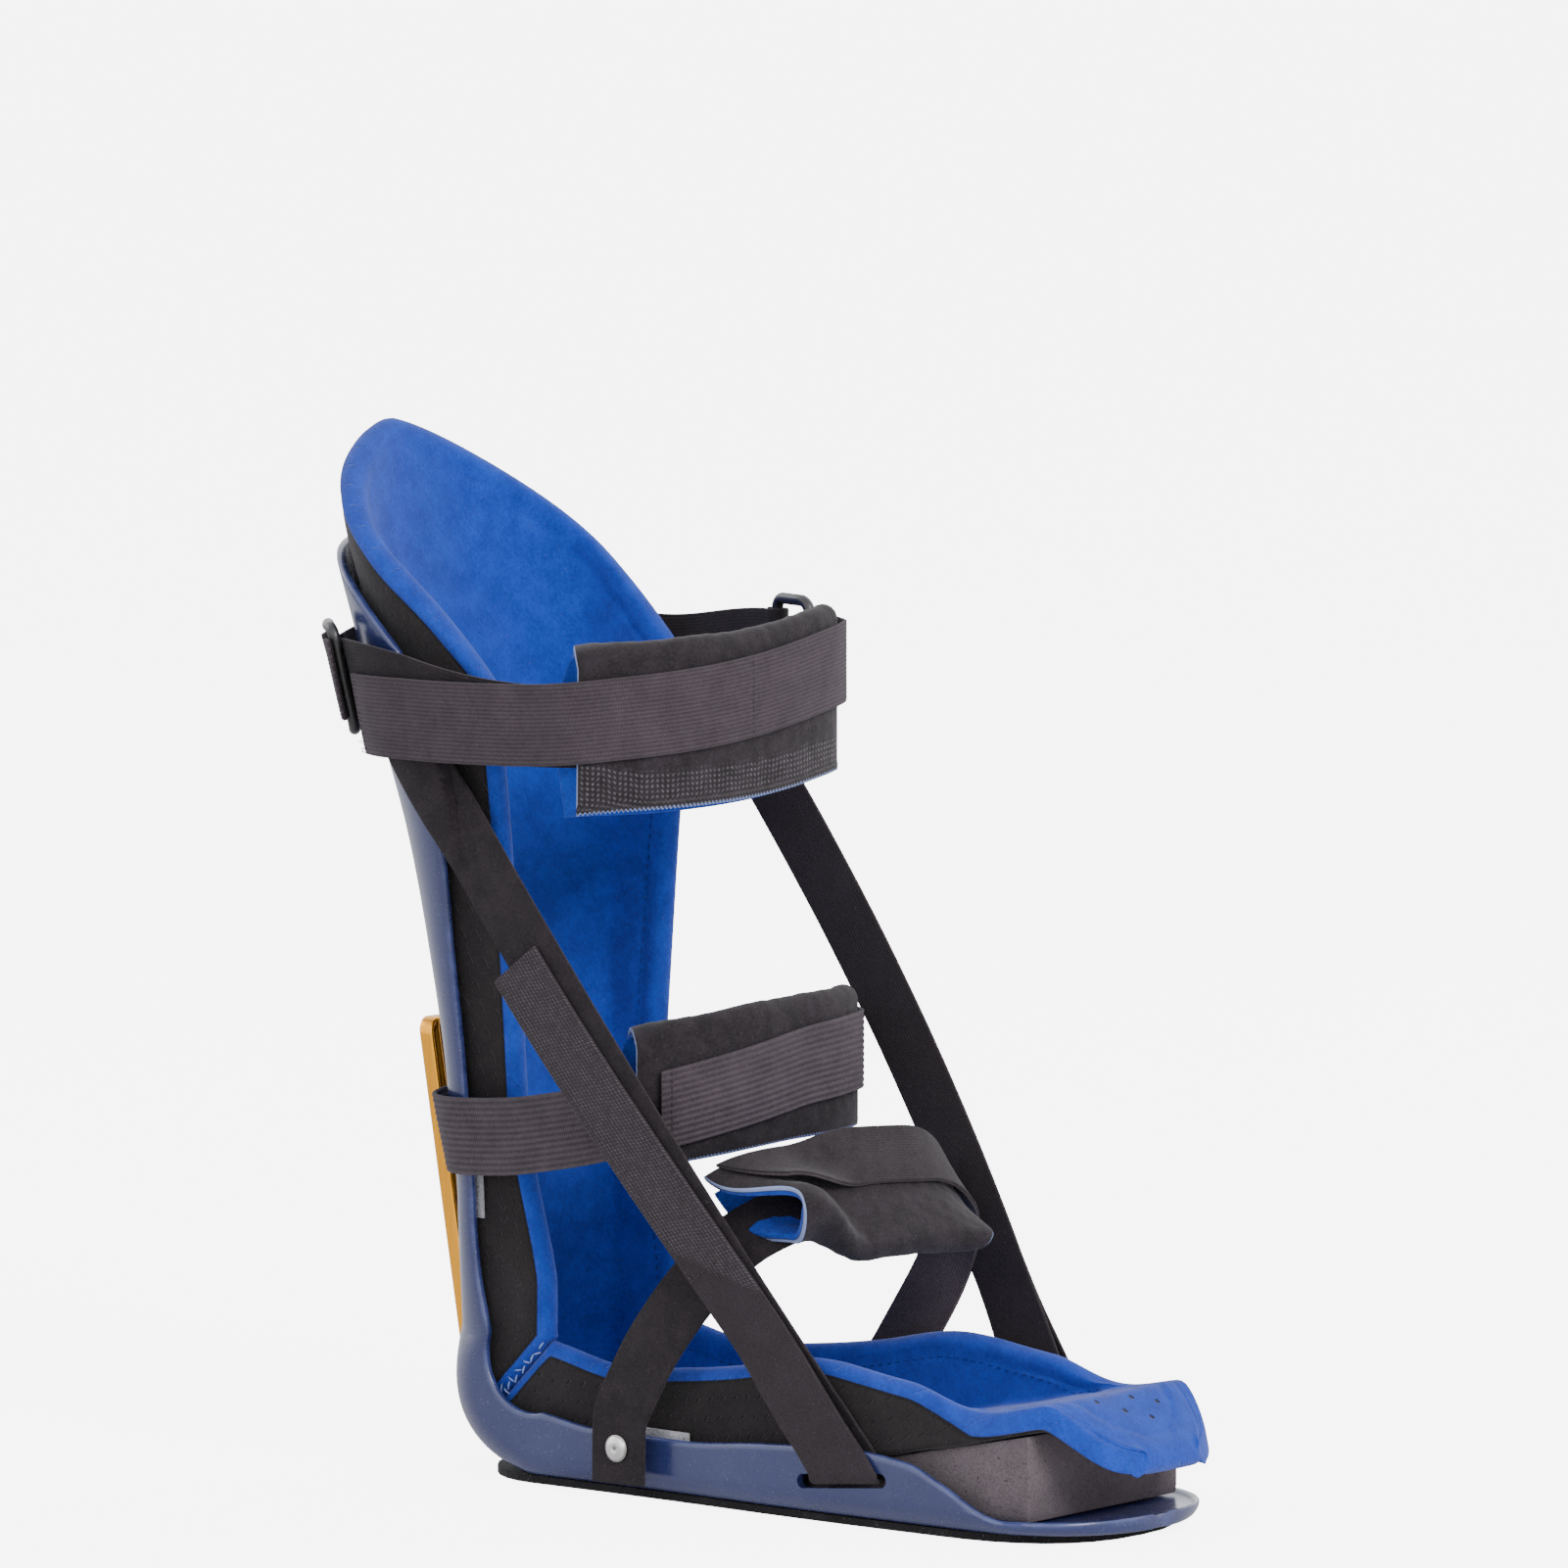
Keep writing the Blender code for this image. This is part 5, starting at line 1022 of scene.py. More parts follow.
@dataclass
class Shell:
    """The moulded plastic boot with its two strap slots, and the rubber sole under it."""

    top_drop: float = 32.0
    slot: tuple[float, float] = (34.0, 4.4)
    slot_bottom: float = 11.9
    slot_slant: float = 5.5
    slots: tuple[tuple[int, float], ...] = ((-1, 127.0), (1, 143.0))
    rounding: float = 1.3

    def at(self, v: Array, share: Array, inset: Array) -> Array:
        """Point of the shell at v and share, inset from its outer face."""
        half, corner, bottom, depth, rim = FORM.section(v)
        x = FORM.bend_x + v - 90
        toe = np.where(v > 90, FORM.toe(x, FORM.tip), 1.0)
        half = np.maximum(half * toe - inset, 0.5)
        corner = np.minimum(np.maximum(corner - inset, 1.0), half)
        lip = ease(x, FORM.tip - 7, FORM.tip - 3) * ease(inset, 0.2, FORM.wall)
        floor = (bottom - inset) * (1 - lip) + (rim + 0.6) * lip
        depth = np.minimum(np.maximum(depth - inset, 1.0), np.maximum(floor - rim, 0.3))
        return FORM.place(v, *u_section(half, corner, floor, depth, rim, share, ease(v, 10, 80)))

    def rows(self) -> Array:
        """Places of the rows from the top edge to the toe."""
        leg = -(FORM.height - FORM.bend_z) * (1 - spaced(78, 0.006, 3)[0][:-4])
        foot = np.linspace(FORM.bend_x + 2, FORM.tip - FORM.toe_round, 62)
        toe = FORM.tip - FORM.toe_round * (1 - 0.998 * np.sin(np.linspace(0, math.pi / 2, 30)[1:]))
        return np.concatenate([leg, np.linspace(0, 90, 26), 90 + np.concatenate([foot, toe]) - FORM.bend_x])

    def build(self) -> bpy.types.Object:
        """The shell: outer and inner face, rounded rim and the slots cut by two rounded blocks."""
        v = self.rows()
        half = FORM.section(v)[0]
        vv, ss = grid_of(v, 1.9 * half * np.where(v > 90, FORM.toe(FORM.bend_x + v - 90, FORM.tip), 1.0) + 1, 78, 1.4)
        vv = FORM.lowered(vv, ss, FORM.height, self.top_drop, 3.2, FORM.calf_level - 60)
        shell = make_wall("shell_body", lambda depth: self.at(vv, ss, depth), vv.shape, FORM.wall, self.rounding)
        for side, x in self.slots:
            half = float(FORM.foot(x)[0])
            cutter = self.cutter(x, side * (half - FORM.wall / 2))
            cut = shell.modifiers.new("slot", "BOOLEAN")
            cut.operation = "DIFFERENCE"
            cut.object = cutter
        graph = bpy.context.evaluated_depsgraph_get()
        cut_mesh = bpy.data.meshes.new_from_object(shell.evaluated_get(graph))
        for item in [m.object for m in shell.modifiers]:
            bpy.data.objects.remove(item)
        shell.modifiers.clear()
        shell.data = cut_mesh
        cut_mesh.shade_smooth()
        cut_mesh.set_sharp_from_angle(angle=math.radians(50))
        return settle(shell, "navy_plastic", "shell")

    def cutter(self, x: float, y: float) -> bpy.types.Object:
        """A rounded block of the slot's size, slanted as the slot is."""
        length, tall = self.slot
        angle = np.linspace(0, 2 * math.pi, 32, endpoint=False) + math.pi / 32
        radius = tall / 2
        px = np.sign(np.cos(angle)) * (length / 2 - radius) + radius * np.cos(angle)
        pz = radius * np.sin(angle)
        slant = math.radians(self.slot_slant)
        turned = (px * math.cos(slant) - pz * math.sin(slant), px * math.sin(slant) + pz * math.cos(slant))
        middle = self.slot_bottom + tall / 2
        sides = [np.stack([x + turned[0], np.full(32, y + d), middle + turned[1]], -1) for d in (-8.0, 8.0)]
        faces = [[i, (i + 1) % 32, 32 + (i + 1) % 32, 32 + i] for i in range(32)]
        return make_object("slot_block", np.concatenate(sides), faces + [list(range(32)), list(range(32, 64))])

    def dress(self) -> None:
        """Puts navy plastic on the shell and rubber on the sole."""
        WARDROBE.dress(self.build(), NAVY)
        WARDROBE.dress(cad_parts["sole"], RUBBER)


@dataclass
class Wedge:
    """The cut foam block that lifts the forefoot."""

    back: float = 75.0
    front: float = 191.0
    side_inset: float = 7.8
    seat: float = 0.9
    low: float = 1.6
    high: float = 25.8

    def top(self, x: Array | float) -> Array:
        """Height of the sloping top, carried on past both ends as a straight line."""
        rise = (self.high - self.low) / (self.front - self.back)
        return FORM.plate_top + self.seat + self.low + rise * (np.asarray(x, float) - self.back)

    def build(self) -> bpy.types.Object:
        """The block: depth runs from its sloping top to its flat underside, with faint cutting waves."""
        along = spaced(46, 0.012)[0]
        x = np.broadcast_to((self.back + (self.front - self.back) * along)[:, None], (len(along), 40))
        share = 2 * spaced(32, 0.018)[0] - 1
        half = FORM.foot(x)[0] - self.side_inset
        y = share[None] * half + 0.25 * wander(x, x * 0, 5, 30.0) * np.abs(share[None]) ** 8

        def at_depth(depth: Array) -> Array:
            """Points at a share of the block's height."""
            upper, lower = self.top(x), FORM.plate_top + self.seat
            return np.stack([x, y, upper + (lower - upper) * depth / 4.0], axis=-1)

        block = make_wall("foam_wedge", at_depth, x.shape, 4.0, 0.35)
        return settle(block, "grey_foam", "toe_wedge")


WEDGE = Wedge()


@dataclass
class Liner:
    """The padded liner of leg and foot: blue brushed cloth inside and round the edge, black punched cloth outside."""

    thickness: float = 8.0
    height: float = 321.0
    top_drop: float = 76.0
    front: float = -3.5
    foot_gap: float = 2.3
    toe: float = 217.0
    droop: float = 15.0
    nose: float = 2.4
    wall: float = 47.5
    seam_gap: float = 0.16

    def relief(self, edge: Array, u: Array, v: Array, side: int) -> Array:
        """Quilted swell of a face: full edge roll, a sunk seam on both faces and soft unevenness inside it."""
        seam = 3.6 if side > 0 else 7.6
        sunk = -0.55 * bump_at(edge, seam, 0.8)
        roll = 0.25 * ease(edge, 0.5, 2.5) * (1 - ease(edge, seam - 1.2, seam))
        uneven = 0.28 * wander(u, v, 11 + side, 26.0) * ease(edge, 6, 18)
        return sunk + roll + uneven + 0.2 * wander(u, v, 3, 60.0) * ease(edge, 0.0, 4.0)

    def leg_at(self, v: Array, share: Array, inset: Array) -> Array:
        """Point of the leg liner at v and share, inset from its outer face."""
        half, corner, bottom, depth, _ = FORM.section(v)
        total = FORM.wall + FORM.liner_gap + inset
        front = self.front + (FORM.bend_x - self.front) * (
            1 - ease(FORM.bend_z + np.maximum(-v, 0), FORM.bend_z, FORM.bend_z + 70))
        rim = np.maximum(FORM.bend_x - front, 1.6)
        section = u_section(half - total, np.maximum(corner - total, 2), bottom - total,
                            np.maximum(depth - total, 2), rim, share, ease(v, 10, 80))
        return FORM.place(v, *section, -self.seam_gap)

    def foot_at(self, v: Array, share: Array, inset: Array) -> Array:
        """Point of the foot liner at v and share, inset from its outer face."""
        half, corner, bottom, depth, _ = FORM.section(v)
        x = FORM.bend_x + np.maximum(v - 90, 0)
        gap = FORM.liner_gap + (self.foot_gap - FORM.liner_gap) * ease(x, FORM.bend_x, FORM.bend_x + 30)
        total = FORM.wall + gap + inset
        droop = ease(x, WEDGE.front + 2, self.toe)
        under = np.maximum(FORM.plate_top, WEDGE.top(np.minimum(x, WEDGE.front + 6)) + 0.5 * ease(x, 150, 185))
        under = under + 0.35 - self.droop * droop
        blend = ease(v, 45, 90)
        floor = (bottom - FORM.wall - FORM.liner_gap - inset) * (1 - blend) + (FORM.bend_z - under - inset) * blend
        along = (x - FORM.bend_x) / (self.toe - FORM.bend_x)
        top = self.wall * smooth(LINER_RIM_ROWS["along"], LINER_RIM_ROWS["rim"], along)
        flat = ease(x, WEDGE.front - 45, WEDGE.front - 5)
        top = top * (1 - flat) + (under + self.thickness) * flat
        rim = np.where(v < 90, 1.6 * (1 - blend) + (FORM.bend_z - top) * blend, FORM.bend_z - top)
        rim = np.maximum(rim, FORM.bend_z - np.maximum(top, under + self.thickness))
        width = np.maximum((half - total) * FORM.toe(x, self.toe), 0.8)
        corner = np.minimum(np.maximum(corner - total, 2.0), width)
        depth = np.minimum(np.maximum(depth - total, 2.0), np.maximum(floor - rim, 0.2))
        section = u_section(width, corner, floor, depth, np.minimum(rim, floor - 0.05), share, ease(v, 10, 80))
        nose = self.nose * (1 - share ** 2) * ease(x, self.toe - 20, self.toe - 1.6)
        return FORM.place(v + nose, *section, self.seam_gap)

    def build_leg(self) -> bpy.types.Object:
        """The leg liner, from its high curved back edge to the mitred seam at the heel."""
        leg = -(self.height - FORM.bend_z) * (1 - spaced(96, 0.014)[0][:-5])
        v = np.concatenate([leg, 45 * spaced(12, 0.11)[0][4:]])
        vv, ss = grid_of(v, 1.75 * FORM.section(v)[0], 84, 4.0)
        vv = FORM.lowered(vv, ss, self.height, self.top_drop, 1.4, FORM.calf_level - 80)
        made = make_wall("leg_liner_padding", lambda depth: self.leg_at(vv, ss, depth), vv.shape, self.thickness,
                         self.thickness / 2, self.relief)
        return settle(made, "liner_fabric", "leg_liner")

    def foot_rows(self) -> Array:
        """Places of the foot liner's rows from the mitred seam to the toe."""
        heel = 45 + 45 * spaced(12, 0.11)[0][:-4]
        straight = np.linspace(FORM.bend_x + 2, self.toe - FORM.toe_round, 64)
        toe = self.toe - FORM.toe_round * (1 - 0.965 * np.sin(np.linspace(0, math.pi / 2, 34)[1:]))
        return np.concatenate([heel, 90 + np.concatenate([straight, toe]) - FORM.bend_x])

    def build_foot(self) -> bpy.types.Object:
        """The foot liner: a tray that rides up on the wedge and droops at the toes."""
        v = self.foot_rows()
        narrow = np.where(v > 90, FORM.toe(FORM.bend_x + v - 90, self.toe), 1.0)
        vv, ss = grid_of(v, 1.6 * FORM.section(v)[0] * narrow, 84, 4.0)
        made = make_wall("foot_liner_padding", lambda depth: self.foot_at(vv, ss, depth), vv.shape, self.thickness,
                         self.thickness / 2, self.relief)
        toe = np.zeros(len(made.data.vertices) * 3)
        made.data.vertices.foreach_get("co", toe)
        layer = made.data.attributes.new("toe", "FLOAT", "POINT")
        layer.data.foreach_set("value", ease(toe[::3] / MM, 150, 165).astype(np.float32))
        return settle(made, "liner_fabric", "foot_liner")

    def seam_runs(self, at: Callable[[Array, Array, Array], Array], v: Array, lowered: bool,
                  inset: float) -> list[tuple[Array, Array]]:
        """The two runs of the inner seam, a constant distance inside the rims, with their normals.

        Args:
            at: Surface of the liner.
            v: Places of the run.
            lowered: Whether the rows are lowered towards the front edge.
            inset: Distance from the rim.

        Returns:
            A run for each side.
        """
        runs = []
        for sign in (-1, 1):
            share = sign * np.linspace(0.55, 1.0, 90)[None] * np.ones((len(v), 1))
            vv = np.broadcast_to(v[:, None], share.shape)
            if lowered:
                vv = FORM.lowered(vv, share, self.height, self.top_drop, 1.4, FORM.calf_level - 80)
            line = at(vv, share, np.full(share.shape, self.thickness))
            left = run_along(line, 1)
            left = left[:, -1:] - left
            pick = np.abs(left - inset).argmin(axis=1)
            rows = np.arange(len(v))
            normal = grid_normals(line) * -sign
            runs.append((line[rows, pick] + normal[rows, pick] * -0.2, normal[rows, pick]))
        return runs

    def build_seams(self) -> None:
        """Blue thread in the sunk seam inside the edge, and pale zigzag thread over the mitred heel seam."""
        leg = self.seam_runs(self.leg_at, np.linspace(-(self.height - FORM.bend_z - 12), 38, 150), True, 7.6)
        foot = self.seam_runs(self.foot_at, 90 + np.linspace(2, self.toe - FORM.toe_round - FORM.bend_x, 90), False, 7.6)
        runs = make_stitches("liner_seam_thread", leg + foot, 2.2, 3.2, 0.22)
        WARDROBE.dress(settle(runs, "liner_fabric"), BLUE_THREAD)
        zigzag = []
        for sign in (-1, 1):
            t = np.linspace(0, 1, 13)
            share = sign * (0.70 + 0.29 * t)
            v = 45 + 3.2 * np.where(np.arange(13) % 2 == 0, 1, -1) * (1 - 0.4 * t)
            line = np.where((v > 45)[:, None], self.foot_at(v, share, np.full(13, -0.1)),
                            self.leg_at(v, share, np.full(13, -0.1)))
            dense = np.stack([np.interp(np.linspace(0, 12, 97), np.arange(13), line[:, k]) for k in range(3)], -1)
            out = np.broadcast_to(np.array([-0.3, sign * 1.0, -0.2]), dense.shape)
            zigzag.append((dense, out))
        over = make_stitches("heel_seam_thread", zigzag, 3.0, 3.1, 0.28)
        WARDROBE.dress(settle(over, "liner_fabric"), PALE_THREAD)

    def dress(self) -> None:
        """Builds and dresses both liners, their seams and the hook tabs behind them."""
        WARDROBE.dress(self.build_leg(), LINER)
        WARDROBE.dress(self.build_foot(), FOOT_LINER)
        self.build_seams()
        for node in ("foot_tab_near", "foot_tab_far", "leg_tab_near", "leg_tab_far"):
            WARDROBE.dress(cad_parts[node], HOOK_TAB)


# Straps, pads and rings

@dataclass(frozen=True)
class Loop:
    """A strap's way round the leg: at the back it follows the shell, in front its own outline.

    turn is in degrees from the front, positive to the far side; offset is measured outward in millimetres.
    """

    rows: Rows
    reach: float
    centre: float
    clearance: float
    level: float
    slack: float = 0.0

    def rear(self, turn: Array, z: Array) -> tuple[Array, Array]:
        """Where a ray from the loop's centre meets the shell's half-oval section, widened by the clearance."""
        back, front, half = FORM.leg(z)
        deep, wide = front - back + self.clearance, half + self.clearance
        angle = np.radians(180.0 - np.abs(turn))
        cos, sin = np.cos(angle), np.sin(angle)
        ahead = self.centre - front
        a = (cos / deep) ** 2 + (sin / wide) ** 2
        b = ahead * cos / deep ** 2
        on_oval = (b + np.sqrt(np.maximum(b * b - a * ((ahead / deep) ** 2 - 1), 0))) / a
        on_side = wide / np.maximum(sin, 1e-6)
        reach = np.where(on_side * cos > ahead, on_oval, on_side)
        return self.centre - reach * cos, np.sign(turn) * reach * sin

    def outline(self, turn: Array, z: Array) -> tuple[Array, Array]:
        """Plan of the loop at a turn and height."""
        wrapped = (turn + 180.0) % 360.0 - 180.0
        rear_x, rear_y = self.rear(np.where(np.abs(wrapped) < 90, 90.0, wrapped), z)
        side, level_side = FORM.leg(z)[2] + self.clearance, float(FORM.leg(self.level)[2]) + self.clearance
        shares = [level_side / self.reach if r is None else r for r in self.rows["reach"]]
        radius = self.reach * smooth(self.rows["turn"], shares, wrapped)
        radius = radius * (1 + (side / level_side - 1) * ease(np.abs(wrapped), 30, 90))
        front = np.abs(wrapped) < 90
        return (np.where(front, self.centre + radius * np.cos(np.radians(wrapped)), rear_x),
                np.where(front, radius * np.sin(np.radians(wrapped)), rear_y))

    def point(self, turn: Array, offset: Array | float, z: Array) -> Array:
        """Point of the loop: its outline plus the offset along the outline's own normal."""
        turn, z = np.asarray(turn, float), np.asarray(z, float)
        wrapped = np.abs((turn + 180.0) % 360.0 - 180.0)
        offset = offset + self.slack * ease(wrapped, 88, 125) * (1 + (z - self.level) / 25.0)
        x, y = self.outline(turn, z)
        x1, y1 = self.outline(turn + 0.5, z)
        x0, y0 = self.outline(turn - 0.5, z)
        long = np.hypot(x1 - x0, y1 - y0)
        return np.stack(np.broadcast_arrays(x + offset * (y1 - y0) / long, y - offset * (x1 - x0) / long, z), axis=-1)

    def band(self, middle: Array, turn: Array, offset: Array, across: Array) -> Array:
        """Grid of a strap: a row for each turn and a column for each place across."""
        return self.point(turn[:, None], offset[:, None], middle[:, None] + across[None, :])

    def per_degree(self, turn: float, z: float) -> float:
        """Length of the loop for one degree at a turn and height."""
        ends = [self.point(np.array(turn + d), 0.0, np.array(z)) for d in (0.5, -0.5)]
        return float(np.linalg.norm(ends[0] - ends[1]))


def across(width: float, count: int, border: float = 0.6) -> Array:
    """Places across a strap that close up over its selvedges."""
    return (spaced(count, border / width, 3)[0] - 0.5) * width


def ribs(pitch: float, height: float, edge_flat: float = 1.0) -> Relief:
    """Relief of lengthwise ribs: height (0.5 + 0.5 cos(2 pi v / pitch)) away from the selvedges."""
    def relief(edge: Array, u: Array, v: Array, side: int) -> Array:
        """The ribs' height."""
        wave = 0.5 + 0.5 * np.cos(2 * math.pi * v / pitch)
        slack = 0.05 * wander(u, v, 21, 34.0)
        return height * (wave - 0.5) * ease(edge, 0.2, edge_flat) + slack * ease(edge, 0.0, 1.0) * side
    return relief


def add_layer(piece: bpy.types.Object, name: str, rule: Callable[[Array, Array], Array]) -> None:
    """Stores a value at a piece's points, worked out from its run along and across in millimetres."""
    mesh = piece.data
    corner = np.zeros(len(mesh.loops), np.int32)
    mesh.loops.foreach_get("vertex_index", corner)
    uv = np.zeros(len(mesh.loops) * 2)
    mesh.uv_layers["cloth"].data.foreach_get("uv", uv)
    place = np.zeros((len(mesh.vertices), 2))
    place[corner] = uv.reshape(-1, 2) / MM
    mesh.attributes.new(name, "FLOAT", "POINT").data.foreach_set(
        "value", rule(place[:, 0], place[:, 1]).astype(np.float32))


@dataclass(frozen=True)
class Layers:
    """Thicknesses and the offsets at which strap, pad and outer strap lie on each other."""

    strap: float = 1.4
    pad: float = 3.4
    gap: float = 0.5
    wire: float = 1.8
    clear: float = 0.35

    @property
    def mid(self) -> float:
        """Middle of the strap that lies on the leg's outline."""
        return self.strap / 2

    @property
    def pad_back(self) -> float:
        """Middle of the pad's inner layer."""
        return -self.gap - self.pad / 2

    @property
    def pad_front(self) -> float:
        """Middle of the pad's outer layer."""
        return self.strap + self.gap + self.pad / 2

    @property
    def over_pad(self) -> float:
        """Middle of a strap over the pad."""
        return self.pad_front + self.pad / 2 + self.gap + self.mid

    @property
    def over_strap(self) -> float:
        """Middle of a strap over a strap."""
        return self.strap + self.gap + self.mid

    @property
    def turn_radius(self) -> float:
        """Middle of a strap turned round a ring's bar."""
        return self.wire + self.clear + self.strap / 2

    @property
    def ring(self) -> float:
        """Offset of the rings' bars."""
        return self.mid + self.turn_radius


LAYERS = Layers()
DIAGONAL_THICKNESS = 1.2
CALF = Loop(CALF_ROWS, 83.5, -26.0, DIAGONAL_THICKNESS + 3.2, 239.0)
ANKLE = Loop(ANKLE_ROWS, 74.0, -7.0, 0.05, 106.0, 2.4)


@dataclass
class FoldedPad:
    """A laminated cloth folded over a strap: black outside, blue inside, with raw cut edges."""

    name: str
    node: str
    half: float
    mesh_band: float = 0.0
    pinked: float = 0.0
    mouth: float = 0.9

    def section(self, count: int = 96) -> tuple[Array, Array, Array]:
        """Middle line of the folded cloth: up the back, a half circle over the strap, down the front.

        Args:
            count: Even places along it.

        Returns:
            Offsets, heights and the share of the way along at each place.
        """
        back, front = LAYERS.pad_back, LAYERS.pad_front
        fold = (front - back) / 2
        angle = np.linspace(math.pi, 0, 25)
        line = np.concatenate([[(back, -self.half)], np.stack([(back + front) / 2 + fold * np.cos(angle),
                                                               self.half - fold + fold * np.sin(angle)], -1),
                               [(front, -0.94 * self.half)]])
        run = run_along(line, 0)
        at = spaced(count, 0.6 / run[-1], 3)[0]
        return np.interp(at * run[-1], run, line[:, 0]), np.interp(at * run[-1], run, line[:, 1]), at

    def relief(self, pressed: tuple[float, float] | None) -> Relief:
        """Soft swell of the laminate, pressed in where a strap crosses its front.

        Args:
            pressed: Lowest and highest run across, from the middle, that the strap covers.

        Returns:
            The relief.
        """
        def swell(edge: Array, u: Array, v: Array, side: int) -> Array:
            """Height of the cloth."""
            soft = 0.22 * wander(u, v, 31, 17.0) + 0.12 * wander(u, v, 8, 6.0)
            out = soft * ease(edge, 0.3, 5.0)
            if pressed and side > 0:
                near = ease(v, pressed[0] - 4, pressed[0] + 2) * (1 - ease(v, pressed[1] - 2, pressed[1] + 4))
                out = out + (0.35 - 0.45 * near) * ease(v, 0, 10) * ease(edge, 0.3, 3.0)
            return out
        return swell

    def finish(self, made: bpy.types.Object, total: float) -> bpy.types.Object:
        band = self.mesh_band
        add_layer(made, "patch", lambda u, v: ease(v, total / 2 - band, total / 2 - band + 0.4) if band else 0 * v)
        WARDROBE.dress(settle(made, "pad_fabric", self.node), NET_PAD if band else PAD)
        return made


@dataclass
class LegPad(FoldedPad):
    """A folded pad round the front of a leg strap."""

    loop: Loop = CALF
    turns: tuple[float, float] = (-41.0, 27.5)
    level: Callable[[Array], Array] = field(default=lambda turn: turn)
    shear: float = 5.0

    def build(self) -> bpy.types.Object:
        """The pad; its fold opens inward at the near end, and its inner layer reaches a little further."""
        offset, height, at = self.section()
        rows = self.turns[0] + (self.turns[1] - self.turns[0]) * spaced(150, 0.005, 3)[0]
        turn = rows[:, None] - self.shear * (1 - ease(at, 0.38, 0.58))[None] * (1 - ease(
            rows, self.turns[0], self.turns[0] + 25))[:, None]
        open_near = 1 - ease(rows, self.turns[0], self.turns[0] + 16)
        ends = ease(height, 0.1 * self.half, self.half) + 0.6 * ease(-height, 0.3 * self.half, self.half)
        wide = 1 + self.mouth * open_near[:, None] * ends[None]
        offsets = LAYERS.pad_front - (LAYERS.pad_front - offset)[None] * wide
        tooth = np.abs((np.arange(len(rows)) * 0.5) % 1.0 - 0.5) * 2
        last = ease(at, 0.965, 1.0)
        heights = height[None] + self.pinked * tooth[:, None] * last[None]
        middle = self.level(rows)[:, None] + heights
        grid = self.loop.point(turn, offsets, middle)
        total = float(run_along(grid, 1)[len(rows) // 2, -1])
        made = make_ribbon(self.name, grid, LAYERS.pad, 0.6, self.relief((4.0, 29.0)), round_ends=True, flip=True)
        return self.finish(made, total)


def calf_level(turn: Array | float) -> Array:
    """Height of the calf strap's middle, which rises towards the far ring."""
    wrapped = (np.asarray(turn, float) + 180.0) % 360.0 - 180.0
    return 235.0 + 16.0 * smooth(CALF_LEVEL_ROWS["turn"], CALF_LEVEL_ROWS["rise"], wrapped)


def ankle_level(turn: Array | float) -> Array:
    """Height of the ankle strap's middle: a raised cosine to the power 2.5, highest at 28 degrees."""
    return 106.0 + 26.0 * (0.5 * (1 + np.cos(np.radians(np.asarray(turn, float) - 28)))) ** 2.5


